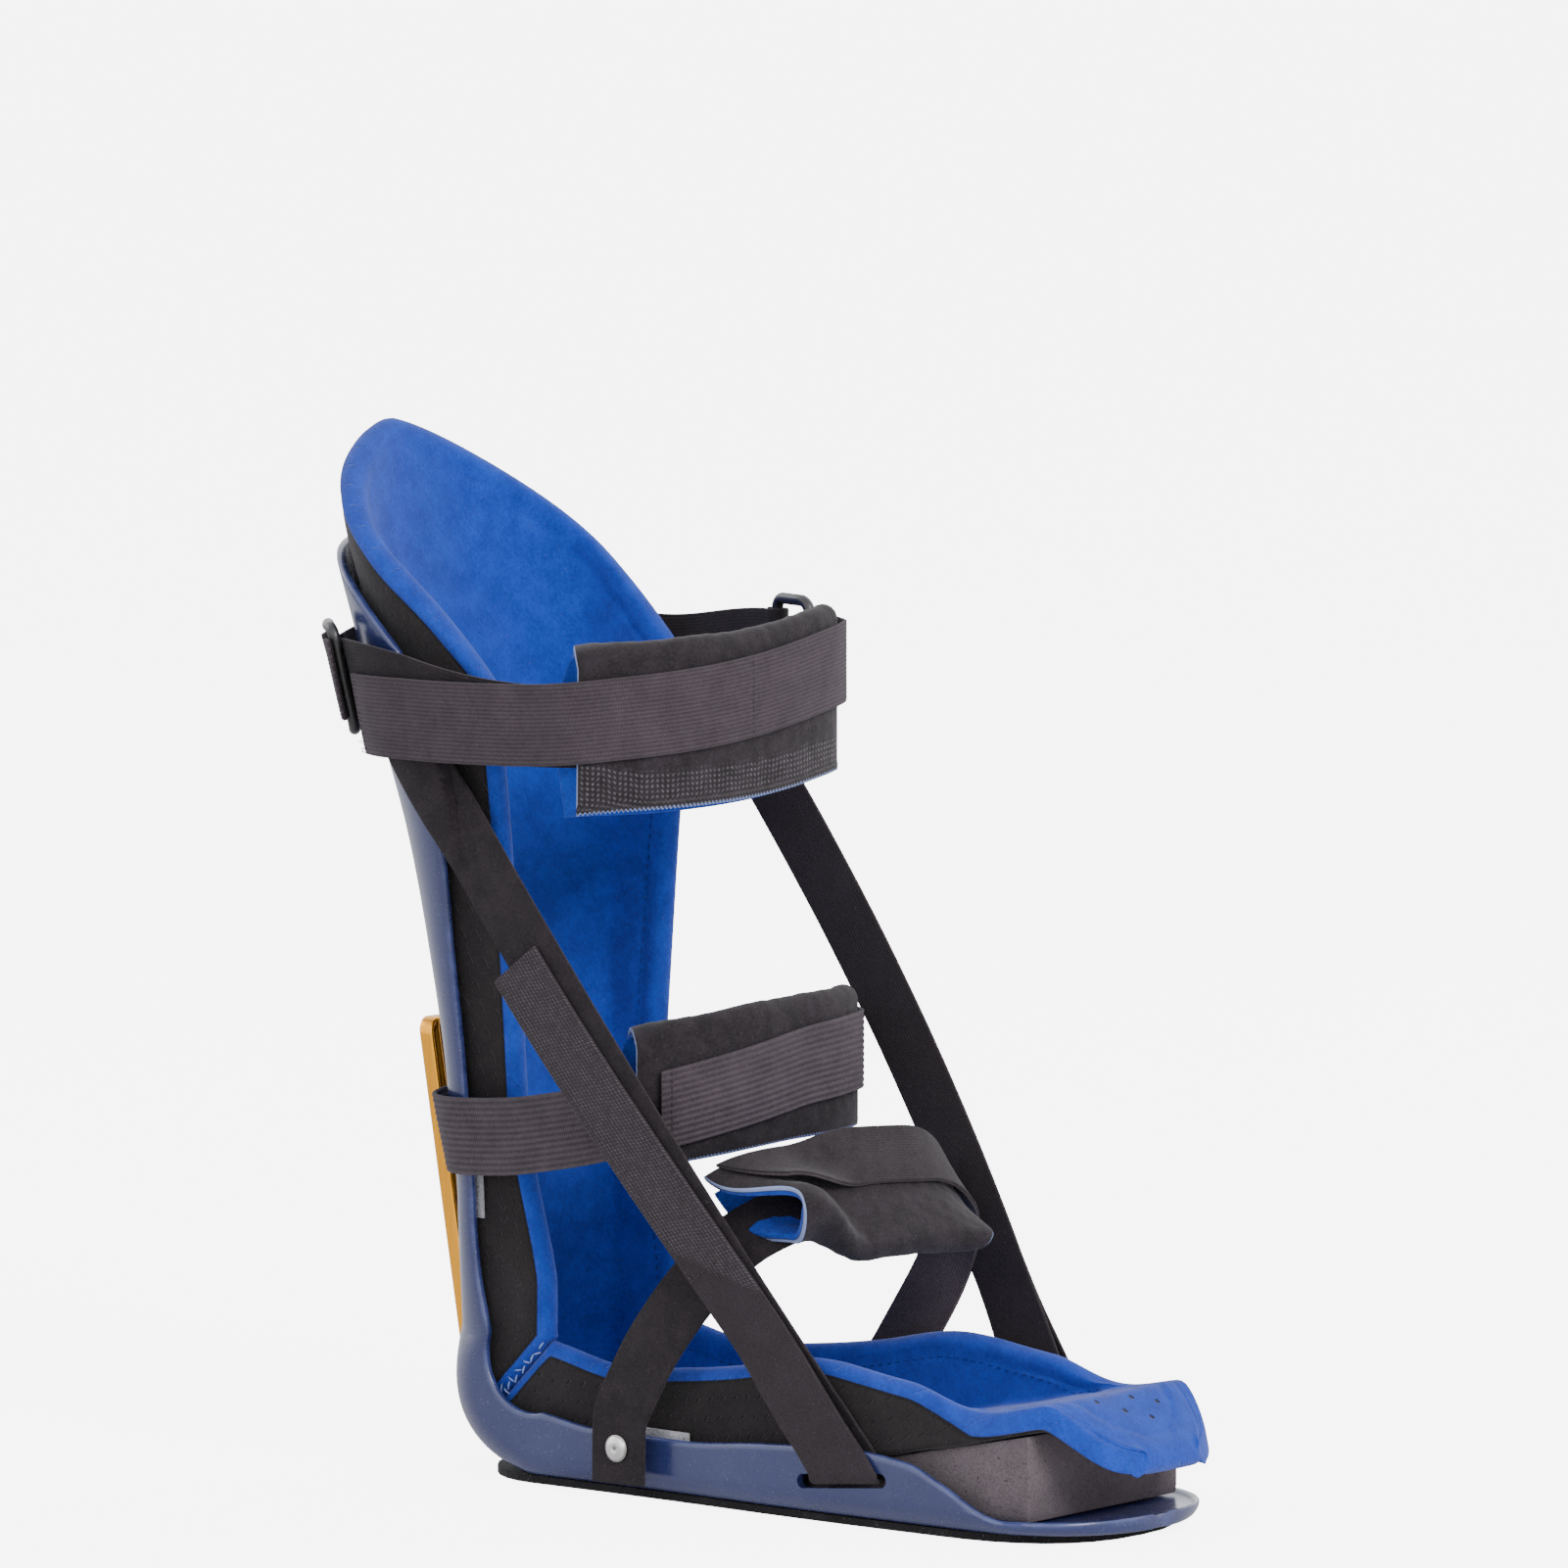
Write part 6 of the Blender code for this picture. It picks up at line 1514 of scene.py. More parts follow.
@dataclass
class CalfHarness:
    """The calf loop: back strap, two rings, the front strap folded back over its pad, and the pad."""

    width: float = 25.0
    near_turn: float = -128.5
    far_turn: float = 44.0
    free_turn: float = -113.0
    spacing: float = 17.0
    window: float = 28.0
    lift: float = 10.0
    back_height: float = 246.5
    pad_turns: tuple[float, float] = (-41.0, 27.5)
    stitch_turn: float = -2.0

    def __post_init__(self) -> None:
        """Works out the rings' heights and half widths in degrees."""
        self.near_z = 235.0 + self.lift
        self.far_z = float(calf_level(self.far_turn))
        self.near_half = self.spacing / 2 / CALF.per_degree(self.near_turn, self.near_z)
        self.far_half = self.spacing / 2 / CALF.per_degree(self.far_turn, self.far_z)

    def turn_back(self, turn: float, z: float, forward: int, outward: int) -> tuple[Array, Array]:
        """Turns and offsets of a half circle round a ring's bar at turn."""
        angle = np.linspace(0, math.pi, 15)
        reach = LAYERS.turn_radius / CALF.per_degree(turn, z) * forward
        return turn + reach * np.sin(angle), LAYERS.ring - outward * LAYERS.turn_radius * np.cos(angle)

    def build_ring(self, name: str, node: str, turn: float, half: float, z: float) -> None:
        """A rectangular ring of round bar whose corners are quarter circles, laid in the loop's surface."""
        corner = 3.2
        share = 1 - corner / (self.spacing / 2)
        tall = self.window / 2 + LAYERS.wire
        turns, heights = [], []
        for side, up, start in ((1, 1, 0), (-1, 1, 90), (-1, -1, 180), (1, -1, 270)):
            a = np.radians(start + np.linspace(0, 90, 9))
            turns.append(turn + half * (side * share + (1 - share) * np.cos(a)))
            heights.append(z + up * (tall - corner) + corner * np.sin(a))
        loop = np.stack([np.concatenate(turns), np.concatenate(heights)], -1)
        loop = np.concatenate([loop, loop[:1]])
        run = run_along(loop * np.array([CALF.per_degree(turn, z), 1.0]), 0)
        at = np.linspace(0, run[-1], 97)[:-1]
        path = CALF.point(np.interp(at, run, loop[:, 0]), LAYERS.ring, np.interp(at, run, loop[:, 1]))
        ring = make_tube(name, path, LAYERS.wire, 16, True)
        add_layer(ring, "edge", lambda u, v: np.full(u.shape, 1.1))
        WARDROBE.dress(settle(ring, "ring_plastic", node), BLACK_PLASTIC)

    def build_back(self) -> None:
        """The back strap between the rings, each end turned round a bar and lying on itself."""
        first, last = self.near_turn - self.near_half, self.far_turn + self.far_half - 360
        start, end = self.turn_back(first, self.near_z, 1, -1), self.turn_back(last, self.far_z, -1, 1)
        tail, count = 6.0, 150
        run = LAYERS.ring + LAYERS.turn_radius
        tails = np.linspace(tail, 0.5, 6)
        turns = np.concatenate([first - tails, start[0], np.linspace(first - 3, last + 3, count), end[0],
                                last + tails[::-1]])
        offsets = np.concatenate([np.full(6, run), start[1], np.full(count, LAYERS.mid), end[1], np.full(6, run)])
        middle = self.near_z + (self.back_height - self.near_z) * ease(-turns, -first, -first + 30)
        middle = middle + (self.far_z - self.back_height) * ease(-turns, -last - 40, -last)
        grid = CALF.band(middle, turns, offsets, across(self.width, 22))
        strap = make_ribbon("calf_back_webbing", grid, LAYERS.strap, 0.45, flip=True)
        WARDROBE.dress(settle(strap, "strap_webbing", "calf_back_strap"), WEBBING)

    def front_path(self) -> tuple[Array, Array, Array]:
        """Turns, offsets and heights of the front strap's middle, from its sewn end to its free end."""
        first, last = self.near_turn + self.near_half, self.far_turn - self.far_half
        start, end = self.turn_back(first, self.near_z, -1, -1), self.turn_back(last, self.far_z, 1, 1)
        inner, outer = np.linspace(first + 2, last - 2, 120), np.linspace(last - 2, self.free_turn, 150)
        over = LAYERS.over_pad + (LAYERS.over_strap - LAYERS.over_pad) * ease(
            -outer, 1 - self.pad_turns[0], 14 - self.pad_turns[0])
        reach = LAYERS.ring + LAYERS.turn_radius
        tails = np.linspace(3.0, 0.5, 4)
        over = over + (reach - over) * ease(outer, last - 9, last - 2)
        turns = np.concatenate([first + tails, start[0], inner, end[0], outer])
        offsets = np.concatenate([np.full(4, reach), start[1], np.full(120, LAYERS.mid), end[1], over])
        lift = self.lift * (1 - ease(inner, -115, -50)) - 4 * ease(inner, -60, -15) * (1 - ease(inner, 12, 30))
        middle = calf_level(turns)
        ends = len(start[0]) + 4
        middle[:ends] = self.near_z
        middle[ends:ends + 120] += lift
        return turns, offsets, middle

    def build_front(self) -> None:
        """The front strap with its fine ribs, the seam across it and the frayed threads of its cut end."""
        turns, offsets, middle = self.front_path()
        grid = CALF.band(middle, turns, offsets, across(self.width, 66))
        strap = make_ribbon("calf_front_webbing", grid, LAYERS.strap, 0.45, ribs(1.25, 0.16), flip=True)
        WARDROBE.dress(settle(strap, "elastic_webbing", "calf_front_strap"), CALF_ELASTIC)
        line = np.linspace(-0.47, 0.47, 60) * self.width
        runs = []
        for turn, offset in ((self.stitch_turn, LAYERS.over_pad), (self.free_turn + 1.6, LAYERS.over_strap)):
            top = offset + LAYERS.strap / 2 + 0.02
            seam, above = (CALF.point(np.full(60, turn), top + d, calf_level(turn) + line) for d in (0.0, 1.0))
            runs.append((seam, above - seam))
        thread = make_stitches("calf_strap_thread", runs, 1.7, 2.3, 0.2)
        WARDROBE.dress(settle(thread, "elastic_webbing"), DARK_THREAD)
        self.build_fray()

    def build_fray(self) -> None:
        """Loose threads at the cut end: each runs out along the strap and curls by a sine of growing size."""
        dice = np.random.default_rng(4)
        points, faces, total = [], [], 0
        starts = np.concatenate([np.linspace(-0.49, -0.36, 5), np.linspace(-0.3, 0.49, 14)]) * self.width
        for number, z in enumerate(starts):
            long = dice.uniform(2.5, 6.5) if number < 5 else dice.uniform(0.5, 1.6)
            t = np.linspace(0, 1, 12)
            curl = dice.uniform(-1, 1) * 0.3 * long * t ** 2
            turn = self.free_turn + 0.4 - long * t / CALF.per_degree(self.free_turn, 235.0)
            sway = LAYERS.over_strap + 0.25 * long * np.sin(dice.uniform(1, 3) * t) * t
            line = CALF.point(turn, sway, calf_level(self.free_turn) + z + curl)
            part, sides = tube_parts(line, 0.13, 5, False)
            points.append(part)
            faces += [[i + total for i in face] for face in sides]
            total += len(part)
        made = make_object("calf_strap_fray", np.concatenate(points), faces)
        write_layers(made.data, np.zeros(total), np.zeros(total), {})
        WARDROBE.dress(settle(made, "elastic_webbing"), DARK_THREAD)

    def dress(self) -> None:
        """Builds and dresses the whole harness."""
        self.build_ring("near_ring", "calf_ring_near", self.near_turn, self.near_half, self.near_z)
        self.build_ring("far_ring", "calf_ring_far", self.far_turn, self.far_half, self.far_z)
        self.build_back()
        self.build_front()
        level = lambda turn: calf_level(turn) - 4.5 - 4.5 * ease(turn, *self.pad_turns)
        LegPad("calf_padding", "calf_pad", 25.5, mesh_band=11.0, pinked=0.9, mouth=1.3, loop=CALF,
               turns=self.pad_turns, level=level).build()


@dataclass
class AnkleHarness:
    """The ankle strap, round the heel inside the back bar, and its folded pad."""

    width: float = 24.0
    pad_turns: tuple[float, float] = (-37.0, 27.0)

    def dress(self) -> None:
        """Builds and dresses the strap, the seam at its end and the pad."""
        turns = np.concatenate([np.linspace(8, -90, 90), np.linspace(-92, -268, 110), np.linspace(-270, -391, 130)])
        offsets = LAYERS.mid + (LAYERS.over_pad - LAYERS.mid) * ease(-turns, 300, 324)
        grid = ANKLE.band(ankle_level(turns), turns, offsets, across(self.width, 66))
        strap = make_ribbon("ankle_webbing", grid, LAYERS.strap, 0.45, ribs(1.95, 0.26), flip=True)
        WARDROBE.dress(settle(strap, "elastic_webbing", "ankle_strap"), ELASTIC)
        line = np.linspace(-0.47, 0.47, 60) * self.width
        end = -388.6
        top = LAYERS.over_pad + LAYERS.strap / 2 + 0.1
        seam, above = (ANKLE.point(np.full(60, end), top + d, ankle_level(end) + line) for d in (0.0, 1.0))
        thread = make_stitches("ankle_strap_thread", [(seam, above - seam)], 1.7, 2.3, 0.2)
        WARDROBE.dress(settle(thread, "elastic_webbing"), DARK_THREAD)
        level = lambda turn: ankle_level(turn) + 3.0 - 6.5 * ease(turn, *self.pad_turns)
        LegPad("ankle_padding", "ankle_pad", 21.5, pinked=0.6, loop=ANKLE, turns=self.pad_turns, level=level,
               mouth=1.2).build()


@dataclass
class InstepHarness(FoldedPad):
    """The two instep straps, riveted to the side walls, and the folded pad with its open mouth."""

    reach: float = 101.0
    height: float = 95.0
    width: float = 20.0
    shares: tuple[float, float] = (0.335, 0.665)
    end_slant: float = 0.044
    tip_slant: float = 0.06
    fold_lift: float = 13.4

    def frame_at(self, s: Array) -> tuple[Array, Array, Array]:
        """Middle of the strap's inner face, its width direction and its outward normal at share s."""
        rows = np.linspace(0, 1, len(INSTEP_ROWS["across"]))

        def path(at: Array) -> Array:
            """The strap's line at a share of the way from the near to the far anchor."""
            return np.stack([self.reach * smooth(rows, INSTEP_ROWS["forward"], at),
                             FORM.ball_half * smooth(rows, INSTEP_ROWS["across"], at),
                             self.height * smooth(rows, INSTEP_ROWS["up"], at)], axis=-1)

        along = path(np.minimum(s + 0.01, 1)) - path(np.maximum(s - 0.01, 0))
        along /= np.linalg.norm(along, axis=-1, keepdims=True)
        tilt = np.radians(smooth(rows, INSTEP_ROWS["tilt"], s))
        wide = np.stack([np.cos(tilt), np.zeros_like(tilt), -np.sin(tilt)], axis=-1)
        wide -= (wide * along).sum(-1, keepdims=True) * along
        wide /= np.linalg.norm(wide, axis=-1, keepdims=True)
        return path(s), wide, np.cross(wide, along)

    def grid(self, s: Array, offset: Array, place: Array) -> Array:
        """Points at shares s, offsets outward and distances across the strap's width."""
        middle, wide, normal = self.frame_at(s)
        return middle + wide * place[..., None] + normal * offset[..., None]

    def opening(self, s: Array) -> Array:
        """How far the fold opens at the near end, as a share of its width."""
        return self.mouth * (1 - ease(s, self.shares[0], self.shares[0] + 0.12))

    def dress(self) -> None:
        """Builds and dresses the straps, the pad and the thread cross on the strap's tip."""
        places = across(self.width, 26)[None]
        near = np.linspace(0, 0.47, 150)
        flat = np.full((150, 1), LAYERS.mid)
        strap = make_ribbon("instep_near_webbing", self.grid(near[:, None], flat, places), LAYERS.strap, 0.45)
        WARDROBE.dress(settle(strap, "strap_webbing", "instep_strap_near"), WEBBING)
        far = np.linspace(1, 0.35, 200)
        strap = make_ribbon("instep_far_webbing", self.far_grid(far, places), LAYERS.strap, 0.45, flip=True)
        # Painted light: the far strap wears a lighter copy of the plain webbing, for the light falling on the instep
        # top.
        WARDROBE.dress(settle(strap, "strap_webbing", "instep_strap_far"), LIT_WEBBING)
        tip = np.linspace(0.377, 0.395, 12)
        cross = []
        for sign in (-1, 1):
            offset = sign * np.linspace(-2.2, 2.2, 12)
            seam = np.stack([self.far_grid(tip[i:i + 1], np.array([[2.0 + offset[i]]]))[0, 0] for i in range(12)])
            normal = self.frame_at(tip)[2]
            cross.append((seam + normal * LAYERS.strap / 2, normal))
        thread = make_stitches("instep_strap_thread", cross, 1.5, 1.7, 0.22)
        WARDROBE.dress(settle(thread, "strap_webbing"), DARK_THREAD)
        self.build_pad()

    def far_grid(self, s: Array, places: Array) -> Array:
        """Middle surface of the far strap, which lies over the pad and slants to its tip."""
        over = 1 - ease(s, 0.69, 0.80)
        lift = LAYERS.mid + (LAYERS.over_pad - LAYERS.mid) * over
        lift = lift + (LAYERS.pad_front - LAYERS.pad_back) * self.opening(s) * over + 1.2 * ease(s, 0.52, 0.62) * over
        slanted = places - 8.0 * (1 - ease(s, 0.6, 0.8))[:, None]
        cut = 1 - (1 - s[:, None]) * (1 - self.tip_slant * (places / self.width + 0.5))
        grid = self.grid(cut, np.broadcast_to(lift[:, None], slanted.shape), slanted)
        near = self.opening(s)[:, None] / self.mouth
        grid[..., 2] += near * self.rise(1 - (slanted + 0.94 * self.half) / self.girth)
        return grid

    @property
    def girth(self) -> float:
        """Length of the folded pad's section."""
        return 4 * self.half

    def rise(self, at: Array) -> Array:
        """Height that the open end gains round its section, greatest at the fold."""
        return self.fold_lift * bump_at(at, 0.54, 0.26)

    def build_pad(self) -> None:
        """The pad: towards the near end its fold widens and rises, and the end slants away round the fold."""
        offset, height, at = self.section()
        s = self.shares[0] + (self.shares[1] - self.shares[0]) * spaced(150, 0.006, 3)[0]
        opening = self.opening(s)
        opened = LAYERS.pad_back + (offset - LAYERS.pad_back)[None] * (1 + opening[:, None])
        near = opening[:, None] / self.mouth
        slanted = s[:, None] + self.end_slant * near * bump_at(at, 0.62, 0.22)[None]
        grid = self.grid(slanted, opened, height[None] + 1.5)
        grid[..., 2] += near * self.rise(at)[None]
        total = float(run_along(grid, 1)[len(s) // 2, -1])
        made = make_ribbon(self.name, grid, LAYERS.pad, 0.6, self.relief(None), round_ends=True)
        self.finish(made, total)


@dataclass
class DiagonalStrap:
    """A strap that runs down the leg, inside the foot's wall, out through the slot and back up over itself."""

    name: str
    node: str
    side: int
    top: tuple[float, float, float]
    slot_x: float
    bow: float
    bulge: float
    end: float
    shift: float
    patched: bool
    width: float = 20.0

    def layer(self, z: Array, spread: Array, is_outer: bool) -> Array:
        """Points of one layer at heights z and distances across, bowed by 4t(1 - t) between slot and top."""
        shell = SHELL
        slot_top = shell.slot_bottom + shell.slot[1]
        wall, rim = (float(a) for a in FORM.foot(self.slot_x))
        inside = wall - FORM.wall / 2 - self.fold
        foot_x = self.slot_x + 1.5
        t = (z - slot_top) / (self.top[1] - slot_top)
        centre = foot_x + (self.top[0] - foot_x) * t + self.bow * 4 * t * (1 - t)
        up = np.clip((z - rim) / (self.top[1] - rim), 0, 1)
        straight = inside + (self.top[2] - inside) * up + self.bulge * 4 * up * (1 - up)
        slope = math.atan2(self.top[1] - slot_top, foot_x - self.top[0])
        square = ease(z, rim, rim + 45)
        cross_x = spread * ((1 - square) / math.sin(slope) + square * math.sin(slope))
        cross_z = spread * square * math.cos(slope) + math.tan(math.radians(shell.slot_slant)) * cross_x * (1 - square)
        x = centre + cross_x - self.shift * is_outer * ease(z, rim, self.end)
        height = z + cross_z
        if is_outer:
            close = DIAGONAL_THICKNESS + LAYERS.gap
            y = straight + close + (2 * self.fold - close) * (1 - ease(z, rim + 2, rim + 36))
        else:
            y = np.maximum(straight, self.leg_side(x, height) + 2.2 + DIAGONAL_THICKNESS / 2)
        return np.stack(np.broadcast_arrays(x, self.side * y, height), axis=-1)

    @staticmethod
    def leg_side(x: Array, z: Array) -> Array:
        """Half width of the shell, or of the liner before it, at (x, z)."""
        back, front, half = FORM.leg(z)
        share = np.clip((front - x) / (front - back), 0, 1)
        return np.where(x < front + 9, half * np.sqrt(1 - share ** 2), half - FORM.wall)

    @property
    def fold(self) -> float:
        """Radius of the fold through the slot."""
        return FORM.wall / 2 + LAYERS.gap + DIAGONAL_THICKNESS / 2

    def dress(self) -> None:
        """Builds and dresses the strap, its hook patch and the seam that holds it."""
        places = across(self.width, 26)[None]
        slot_top = SHELL.slot_bottom + SHELL.slot[1]
        rim = float(FORM.foot(self.slot_x)[1])
        down = np.concatenate([np.linspace(self.top[1], rim + 3, 110), np.linspace(rim, slot_top, 8)])
        inner = self.layer(down[:, None], places, False)
        angle = np.linspace(0, math.pi, 16)[1:-1]
        base = self.layer(np.full((1, 1), slot_top), places, False)
        turn = np.stack([0 * angle, self.side * self.fold * (1 - np.cos(angle)), -self.fold * np.sin(angle)], -1)
        up = np.concatenate([np.linspace(slot_top, rim, 8), np.linspace(rim + 3, self.end, 90)])
        outer = self.layer(up[:, None], places, True)
        grid = np.concatenate([inner, base + turn[:, None], outer])
        run = run_along(grid, 0)[:, places.shape[1] // 2]
        first = run[len(inner) + len(angle)]
        start = first + 0.39 * (run[-1] - first)

        def patch(edge: Array, u: Array, v: Array, side: int) -> Array:
            """The patch stands a little proud of the strap on its outer face."""
            face = 1 if side == outer_face else 0
            ripple = 0.04 * wander(u, v, 17, 24.0)
            return self.patched * 0.22 * face * ease(u, start, start + 0.5) * ease(edge, 0.2, 0.9) + ripple

        outer_face = 1
        strap = make_ribbon(self.name, grid, DIAGONAL_THICKNESS, 0.4, patch, flip=self.side < 0)
        add_layer(strap, "patch", lambda u, v: ease(u, start, start + 0.3) * self.patched)
        WARDROBE.dress(settle(strap, "strap_webbing", self.node), PATCHED if self.patched else WEBBING)
        if self.patched:
            self.build_seams(grid, run, start)

    def build_seams(self, grid: Array, run: Array, start: float) -> None:
        """Thread across the strap where its hook patch begins, and along the patch's two edges."""
        normal = grid_normals(grid) * (-1 if self.side < 0 else 1)
        raised = grid + normal * (DIAGONAL_THICKNESS / 2 + 0.22)
        row = int(np.abs(run - start).argmin()) + 1
        runs = [(raised[row, 2:-2], normal[row, 2:-2])]
        for column in (4, raised.shape[1] - 5):
            runs.append((raised[row:-1, column], normal[row:-1, column]))
        thread = make_stitches("patch_thread", runs, 1.8, 2.6, 0.17)
        WARDROBE.dress(settle(thread, "strap_webbing"), DARK_THREAD)


# Metal

@dataclass
class BackBar:
    """The gold bar behind the heel, with rounded upper corners and lengthwise ribs on both faces."""

    width: float = 28.0
    depth: float = 5.4
    low: float = 23.0
    high: float = 137.0
    lean: float = 0.168
    knee: float = 38.0
    ribs: int = 6
    rib_depth: float = 1.1
    corner: float = 5.0

    def front(self, z: Array) -> Array:
        """Place of the front face at height z: upright at the heel, then leaning back."""
        return -FORM.heel_back - 0.525 - self.lean * np.maximum(z - self.knee, 0.0)

    def rib(self, y: Array) -> Array:
        """How hollow the section is at y: 0.5 + 0.5 cos(2 pi n t) across the ribbed width, 0 beside it."""
        flat = self.width / 2 - 1.5
        t = (y + flat) / (2 * flat)
        return np.where(np.abs(y) < flat, 0.5 + 0.5 * np.cos(2 * math.pi * self.ribs * t), 1.0)

    def build(self) -> bpy.types.Object:
        """The bar, its two faces worked out from one grid of places across and up."""
        z = self.low + (self.high - self.low) * spaced(90, 0.012, 5)[0]
        side = 2 * spaced(120, 0.03, 5)[0] - 1
        zz = np.broadcast_to(z[:, None], (len(z), len(side)))
        away = np.maximum(np.maximum(z - (self.high - self.corner), (self.low + 2.5) - z), 0)
        radius = np.where(z > self.knee, self.corner, 2.5)
        half = self.width / 2 - radius + np.sqrt(np.maximum(radius ** 2 - away ** 2, 0.2))
        yy = side[None] * half[:, None]

        def at_depth(depth: Array) -> Array:
            """Points between the front face, at 0, and the rear face."""
            return np.stack([self.front(zz) - depth, yy, zz], axis=-1)

        def fluted(edge: Array, u: Array, v: Array, face: int) -> Array:
            """Sunk grooves between the ribs, closed towards both ends."""
            return -self.rib_depth * self.rib(yy) * ease(edge, 0.6, 2.4)

        bar = make_wall("gold_back_bar", at_depth, zz.shape, self.depth, 0.9, fluted)
        co = np.zeros(len(bar.data.vertices) * 3)
        bar.data.vertices.foreach_get("co", co)
        y = co[1::3] / MM
        # Where the painted shade goes: the groove bottoms, fading out towards the bar's sides.
        hollow = self.rib(y) ** 2 * ease(self.width / 2 - np.abs(y), 0.8, 2.0)
        bar.data.attributes.new("hollow", "FLOAT", "POINT").data.foreach_set("value", hollow.astype(np.float32))
        return settle(bar, "gold_aluminium", "back_bar")


@dataclass
class RivetHead:
    """A domed rivet head with a rolled flange and a small punched dimple, turned about the CAD head's own axis."""

    node: str
    radius: float = 4.0
    height: float = 1.5

    def build(self) -> None:
        """The head: a profile of radius and height, revolved in 40 steps."""
        cad = np.array([v.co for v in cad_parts[self.node].data.vertices]) / MM
        centre = cad.mean(axis=0)
        axis = np.linalg.eigh(np.cov((cad - centre).T))[1][:, 0]
        level = (cad - centre) @ axis
        flat = np.linalg.norm(cad - centre - level[:, None] * axis, axis=1)
        axis = axis * np.sign(level[flat.argmin()] - level[flat.argmax()])
        base = cad[:] @ axis
        foot = centre + axis * (base.min() - centre @ axis)
        side = np.cross(axis, (0.3, 0.2, 1.0))
        side /= np.linalg.norm(side)
        t = np.linspace(0, 1, 22)
        radius = self.radius * np.concatenate([[1.0, 1.02, 1.02, 0.97], 0.93 * np.cos(t * math.pi / 2)])
        dome = 0.35 + 0.65 * np.sin(t * math.pi / 2) - 0.28 * np.exp(-((1 - t) / 0.16) ** 2)
        rise = self.height * np.concatenate([[0.0, 0.1, 0.28, 0.36], dome])
        spin = np.linspace(0, 2 * math.pi, 40, endpoint=False)
        other = np.cross(axis, side)
        ring = (np.cos(spin)[:, None] * side + np.sin(spin)[:, None] * other)[None]
        points = foot + radius[:, None, None] * ring + rise[:, None, None] * axis
        rows = len(radius)
        i, j = np.meshgrid(np.arange(rows - 1), np.arange(40), indexing="ij")
        faces = np.stack([i * 40 + j, i * 40 + (j + 1) % 40, (i + 1) * 40 + (j + 1) % 40, (i + 1) * 40 + j], -1)
        faces = faces.reshape(-1, 4).tolist() + [list(range(39, -1, -1))]
        made = make_object(f"{self.node}_head", points.reshape(-1, 3), faces)
        total = rows * 40
        tidy_mesh(made.data, list(range(total - 40, total)))
        # Where the painted shade goes: the punched dimple and the crease where the dome meets the flange.
        hollow = bump_at(np.repeat(radius, 40), 0.0, 0.7) + 0.6 * bump_at(np.repeat(radius, 40), 3.85, 0.25)
        layer = made.data.attributes.new("hollow", "FLOAT", "POINT")
        layer.data.foreach_set("value", hollow[:len(made.data.vertices)].astype(np.float32))
        WARDROBE.dress(settle(made, "rivet_steel", self.node), STEEL)


# Stage

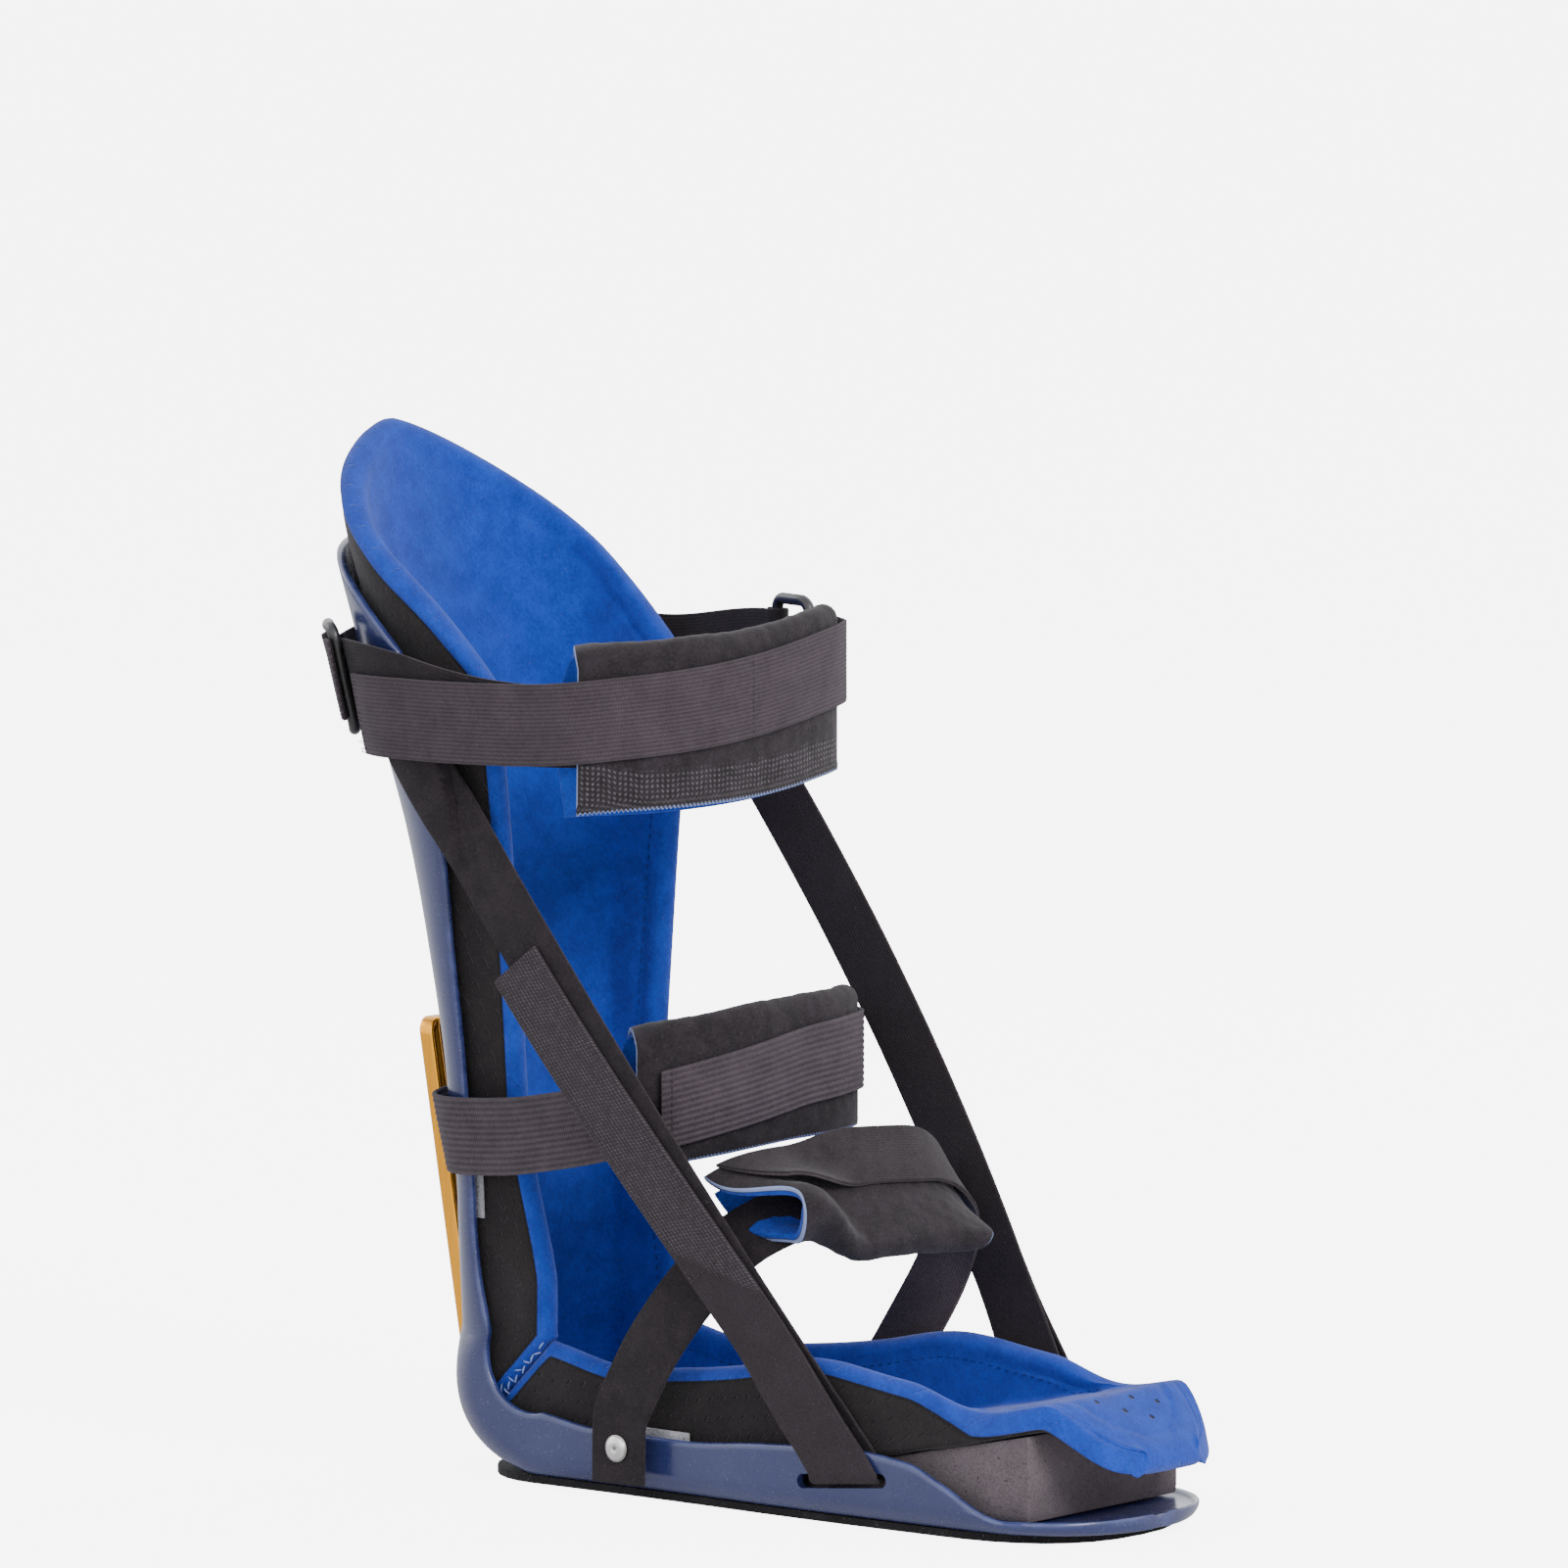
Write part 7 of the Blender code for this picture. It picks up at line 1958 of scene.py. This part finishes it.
@dataclass(frozen=True)
class Stage:
    """Pale floor, soft studio light and the photograph's viewpoint."""

    azimuth: float = 37.99
    elevation: float = 5.6
    distance: float = 3.559
    target: tuple[float, float, float] = (0.07035, 0.0, 0.21632)
    focal_pixels: float = 12000.0
    frame_pixels: float = 1601.0

    def build(self) -> None:
        """Makes the floor, the world, the lights and the camera."""
        bpy.ops.mesh.primitive_plane_add(size=160.0, location=(0, 0, 0))
        floor = bpy.context.object
        floor.name = "pale_floor"
        made = Surface("pale_floor", 0.9, specular_ior_level=0.1)
        shade = made.graph.mix(made.graph.noise(made.place, 0.6, 2.0), srgb("f4f4f5"), srgb("f7f7f8"))
        seen = made.graph.node("ShaderNodeLightPath").outputs["Is Camera Ray"]
        made.graph.feed(made.shader.inputs["Emission Color"], srgb("ffffff"))
        made.graph.feed(made.shader.inputs["Emission Strength"], made.graph.math("MULTIPLY_ADD", seen, 6.0, 0.08))
        floor.data.materials.append(made.finish(shade, 0.9, 0.5, 0.0, 0.0))
        world = bpy.data.worlds.new("studio")
        world.use_nodes = True
        graph = Graph(world.node_tree)
        rays = graph.node("ShaderNodeLightPath")
        mirrored = graph.math("MULTIPLY", rays.outputs["Is Glossy Ray"], 1.6)
        strength = graph.math("ADD", 0.5, graph.math("MULTIPLY_ADD", rays.outputs["Is Camera Ray"], 7.0, mirrored))
        backdrop = world.node_tree.nodes["Background"]
        backdrop.inputs[0].default_value = (0.95, 0.96, 1.0, 1.0)
        graph.feed(backdrop.inputs[1], strength)
        bpy.context.scene.world = world
        self.light("key_softbox", (2.1, -0.5, 1.5), 1.2, 44.0, (1.0, 0.98, 0.95))
        self.light("fill_softbox", (0.3, -1.9, 1.2), 1.6, 7.0, (0.98, 0.98, 1.0))
        self.light("rear_softbox", (-1.7, -0.3, 1.2), 1.0, 9.0, (0.93, 0.95, 1.0))
        self.light("far_softbox", (0.3, 1.8, 1.4), 1.3, 10.0, (1.0, 1.0, 1.0))
        self.camera()

    def light(self, name: str, place: tuple[float, float, float], size: float, power: float,
              colour: tuple[float, float, float]) -> None:
        """An area light that looks at the middle of the splint."""
        lamp = bpy.data.lights.new(name, "AREA")
        lamp.shape = "DISK"
        lamp.size, lamp.energy, lamp.color = size, power, colour
        made = bpy.data.objects.new(name, lamp)
        bpy.context.scene.collection.objects.link(made)
        made.location = place
        made.rotation_euler = (Vector((0.05, 0, 0.13)) - made.location).to_track_quat("-Z", "Y").to_euler()

    def camera(self) -> None:
        """The camera, on a sphere round the target at the photograph's angles."""
        turn, tilt = math.radians(self.azimuth), math.radians(self.elevation)
        away = Vector((math.sin(turn) * math.cos(tilt), -math.cos(turn) * math.cos(tilt), math.sin(tilt)))
        lens = bpy.data.cameras.new("photo_camera")
        lens.sensor_width = 36.0
        lens.lens = lens.sensor_width * self.focal_pixels / self.frame_pixels
        lens.clip_end = 200.0
        made = bpy.data.objects.new("photo_camera", lens)
        bpy.context.scene.collection.objects.link(made)
        made.location = Vector(self.target) + self.distance * away
        made.rotation_euler = (-away).to_track_quat("-Z", "Y").to_euler()
        bpy.context.scene.camera = made


CALF_ELASTIC = ClothFinish("fine_ribbed_elastic", "2a2429", "584f56", "171417", "2c262a", Pattern.RIBS, 0.0008,
                           0.00125, sheen=0.08, relief=0.00025)
# Painted light: a lighter copy of the plain webbing, for the far instep strap that lies over the lit top of the instep.
LIT_WEBBING = ClothFinish("lit_webbing_copy", "332c31", "5f565c", "221e21", "3a3438", Pattern.TWILL, 0.0008, 0.001,
                            sheen=0.12, relief=0.0002)
SHELL = Shell()


def main() -> None:
    """Builds the stage, then every sub-assembly in order."""
    logging.basicConfig(level=logging.INFO, format="%(name)s %(message)s")
    Stage().build()
    SHELL.dress()
    WARDROBE.dress(WEDGE.build(), FOAM)
    Liner().dress()
    WARDROBE.dress(BackBar().build(), GOLD)
    CalfHarness().dress()
    AnkleHarness().dress()
    InstepHarness("instep_padding", "instep_pad", 20.5, mouth=1.4).dress()
    DiagonalStrap("near_diagonal_webbing", "diagonal_strap_near", -1, (-39.0, 235.0, 51.0), 127.0, 0.0, 5.0, 162.0,
                  8.0, True).dress()
    DiagonalStrap("far_diagonal_webbing", "diagonal_strap_far", 1, (1.0, 241.0, 51.9), 143.0, 5.0, 8.5, 88.0,
                  2.0, False).dress()
    for node in ("bar_rivet_1", "bar_rivet_2", "back_strap_rivet", "instep_rivet_near", "instep_rivet_far"):
        RivetHead(node).build()


if __name__ == "__main__":
    main()
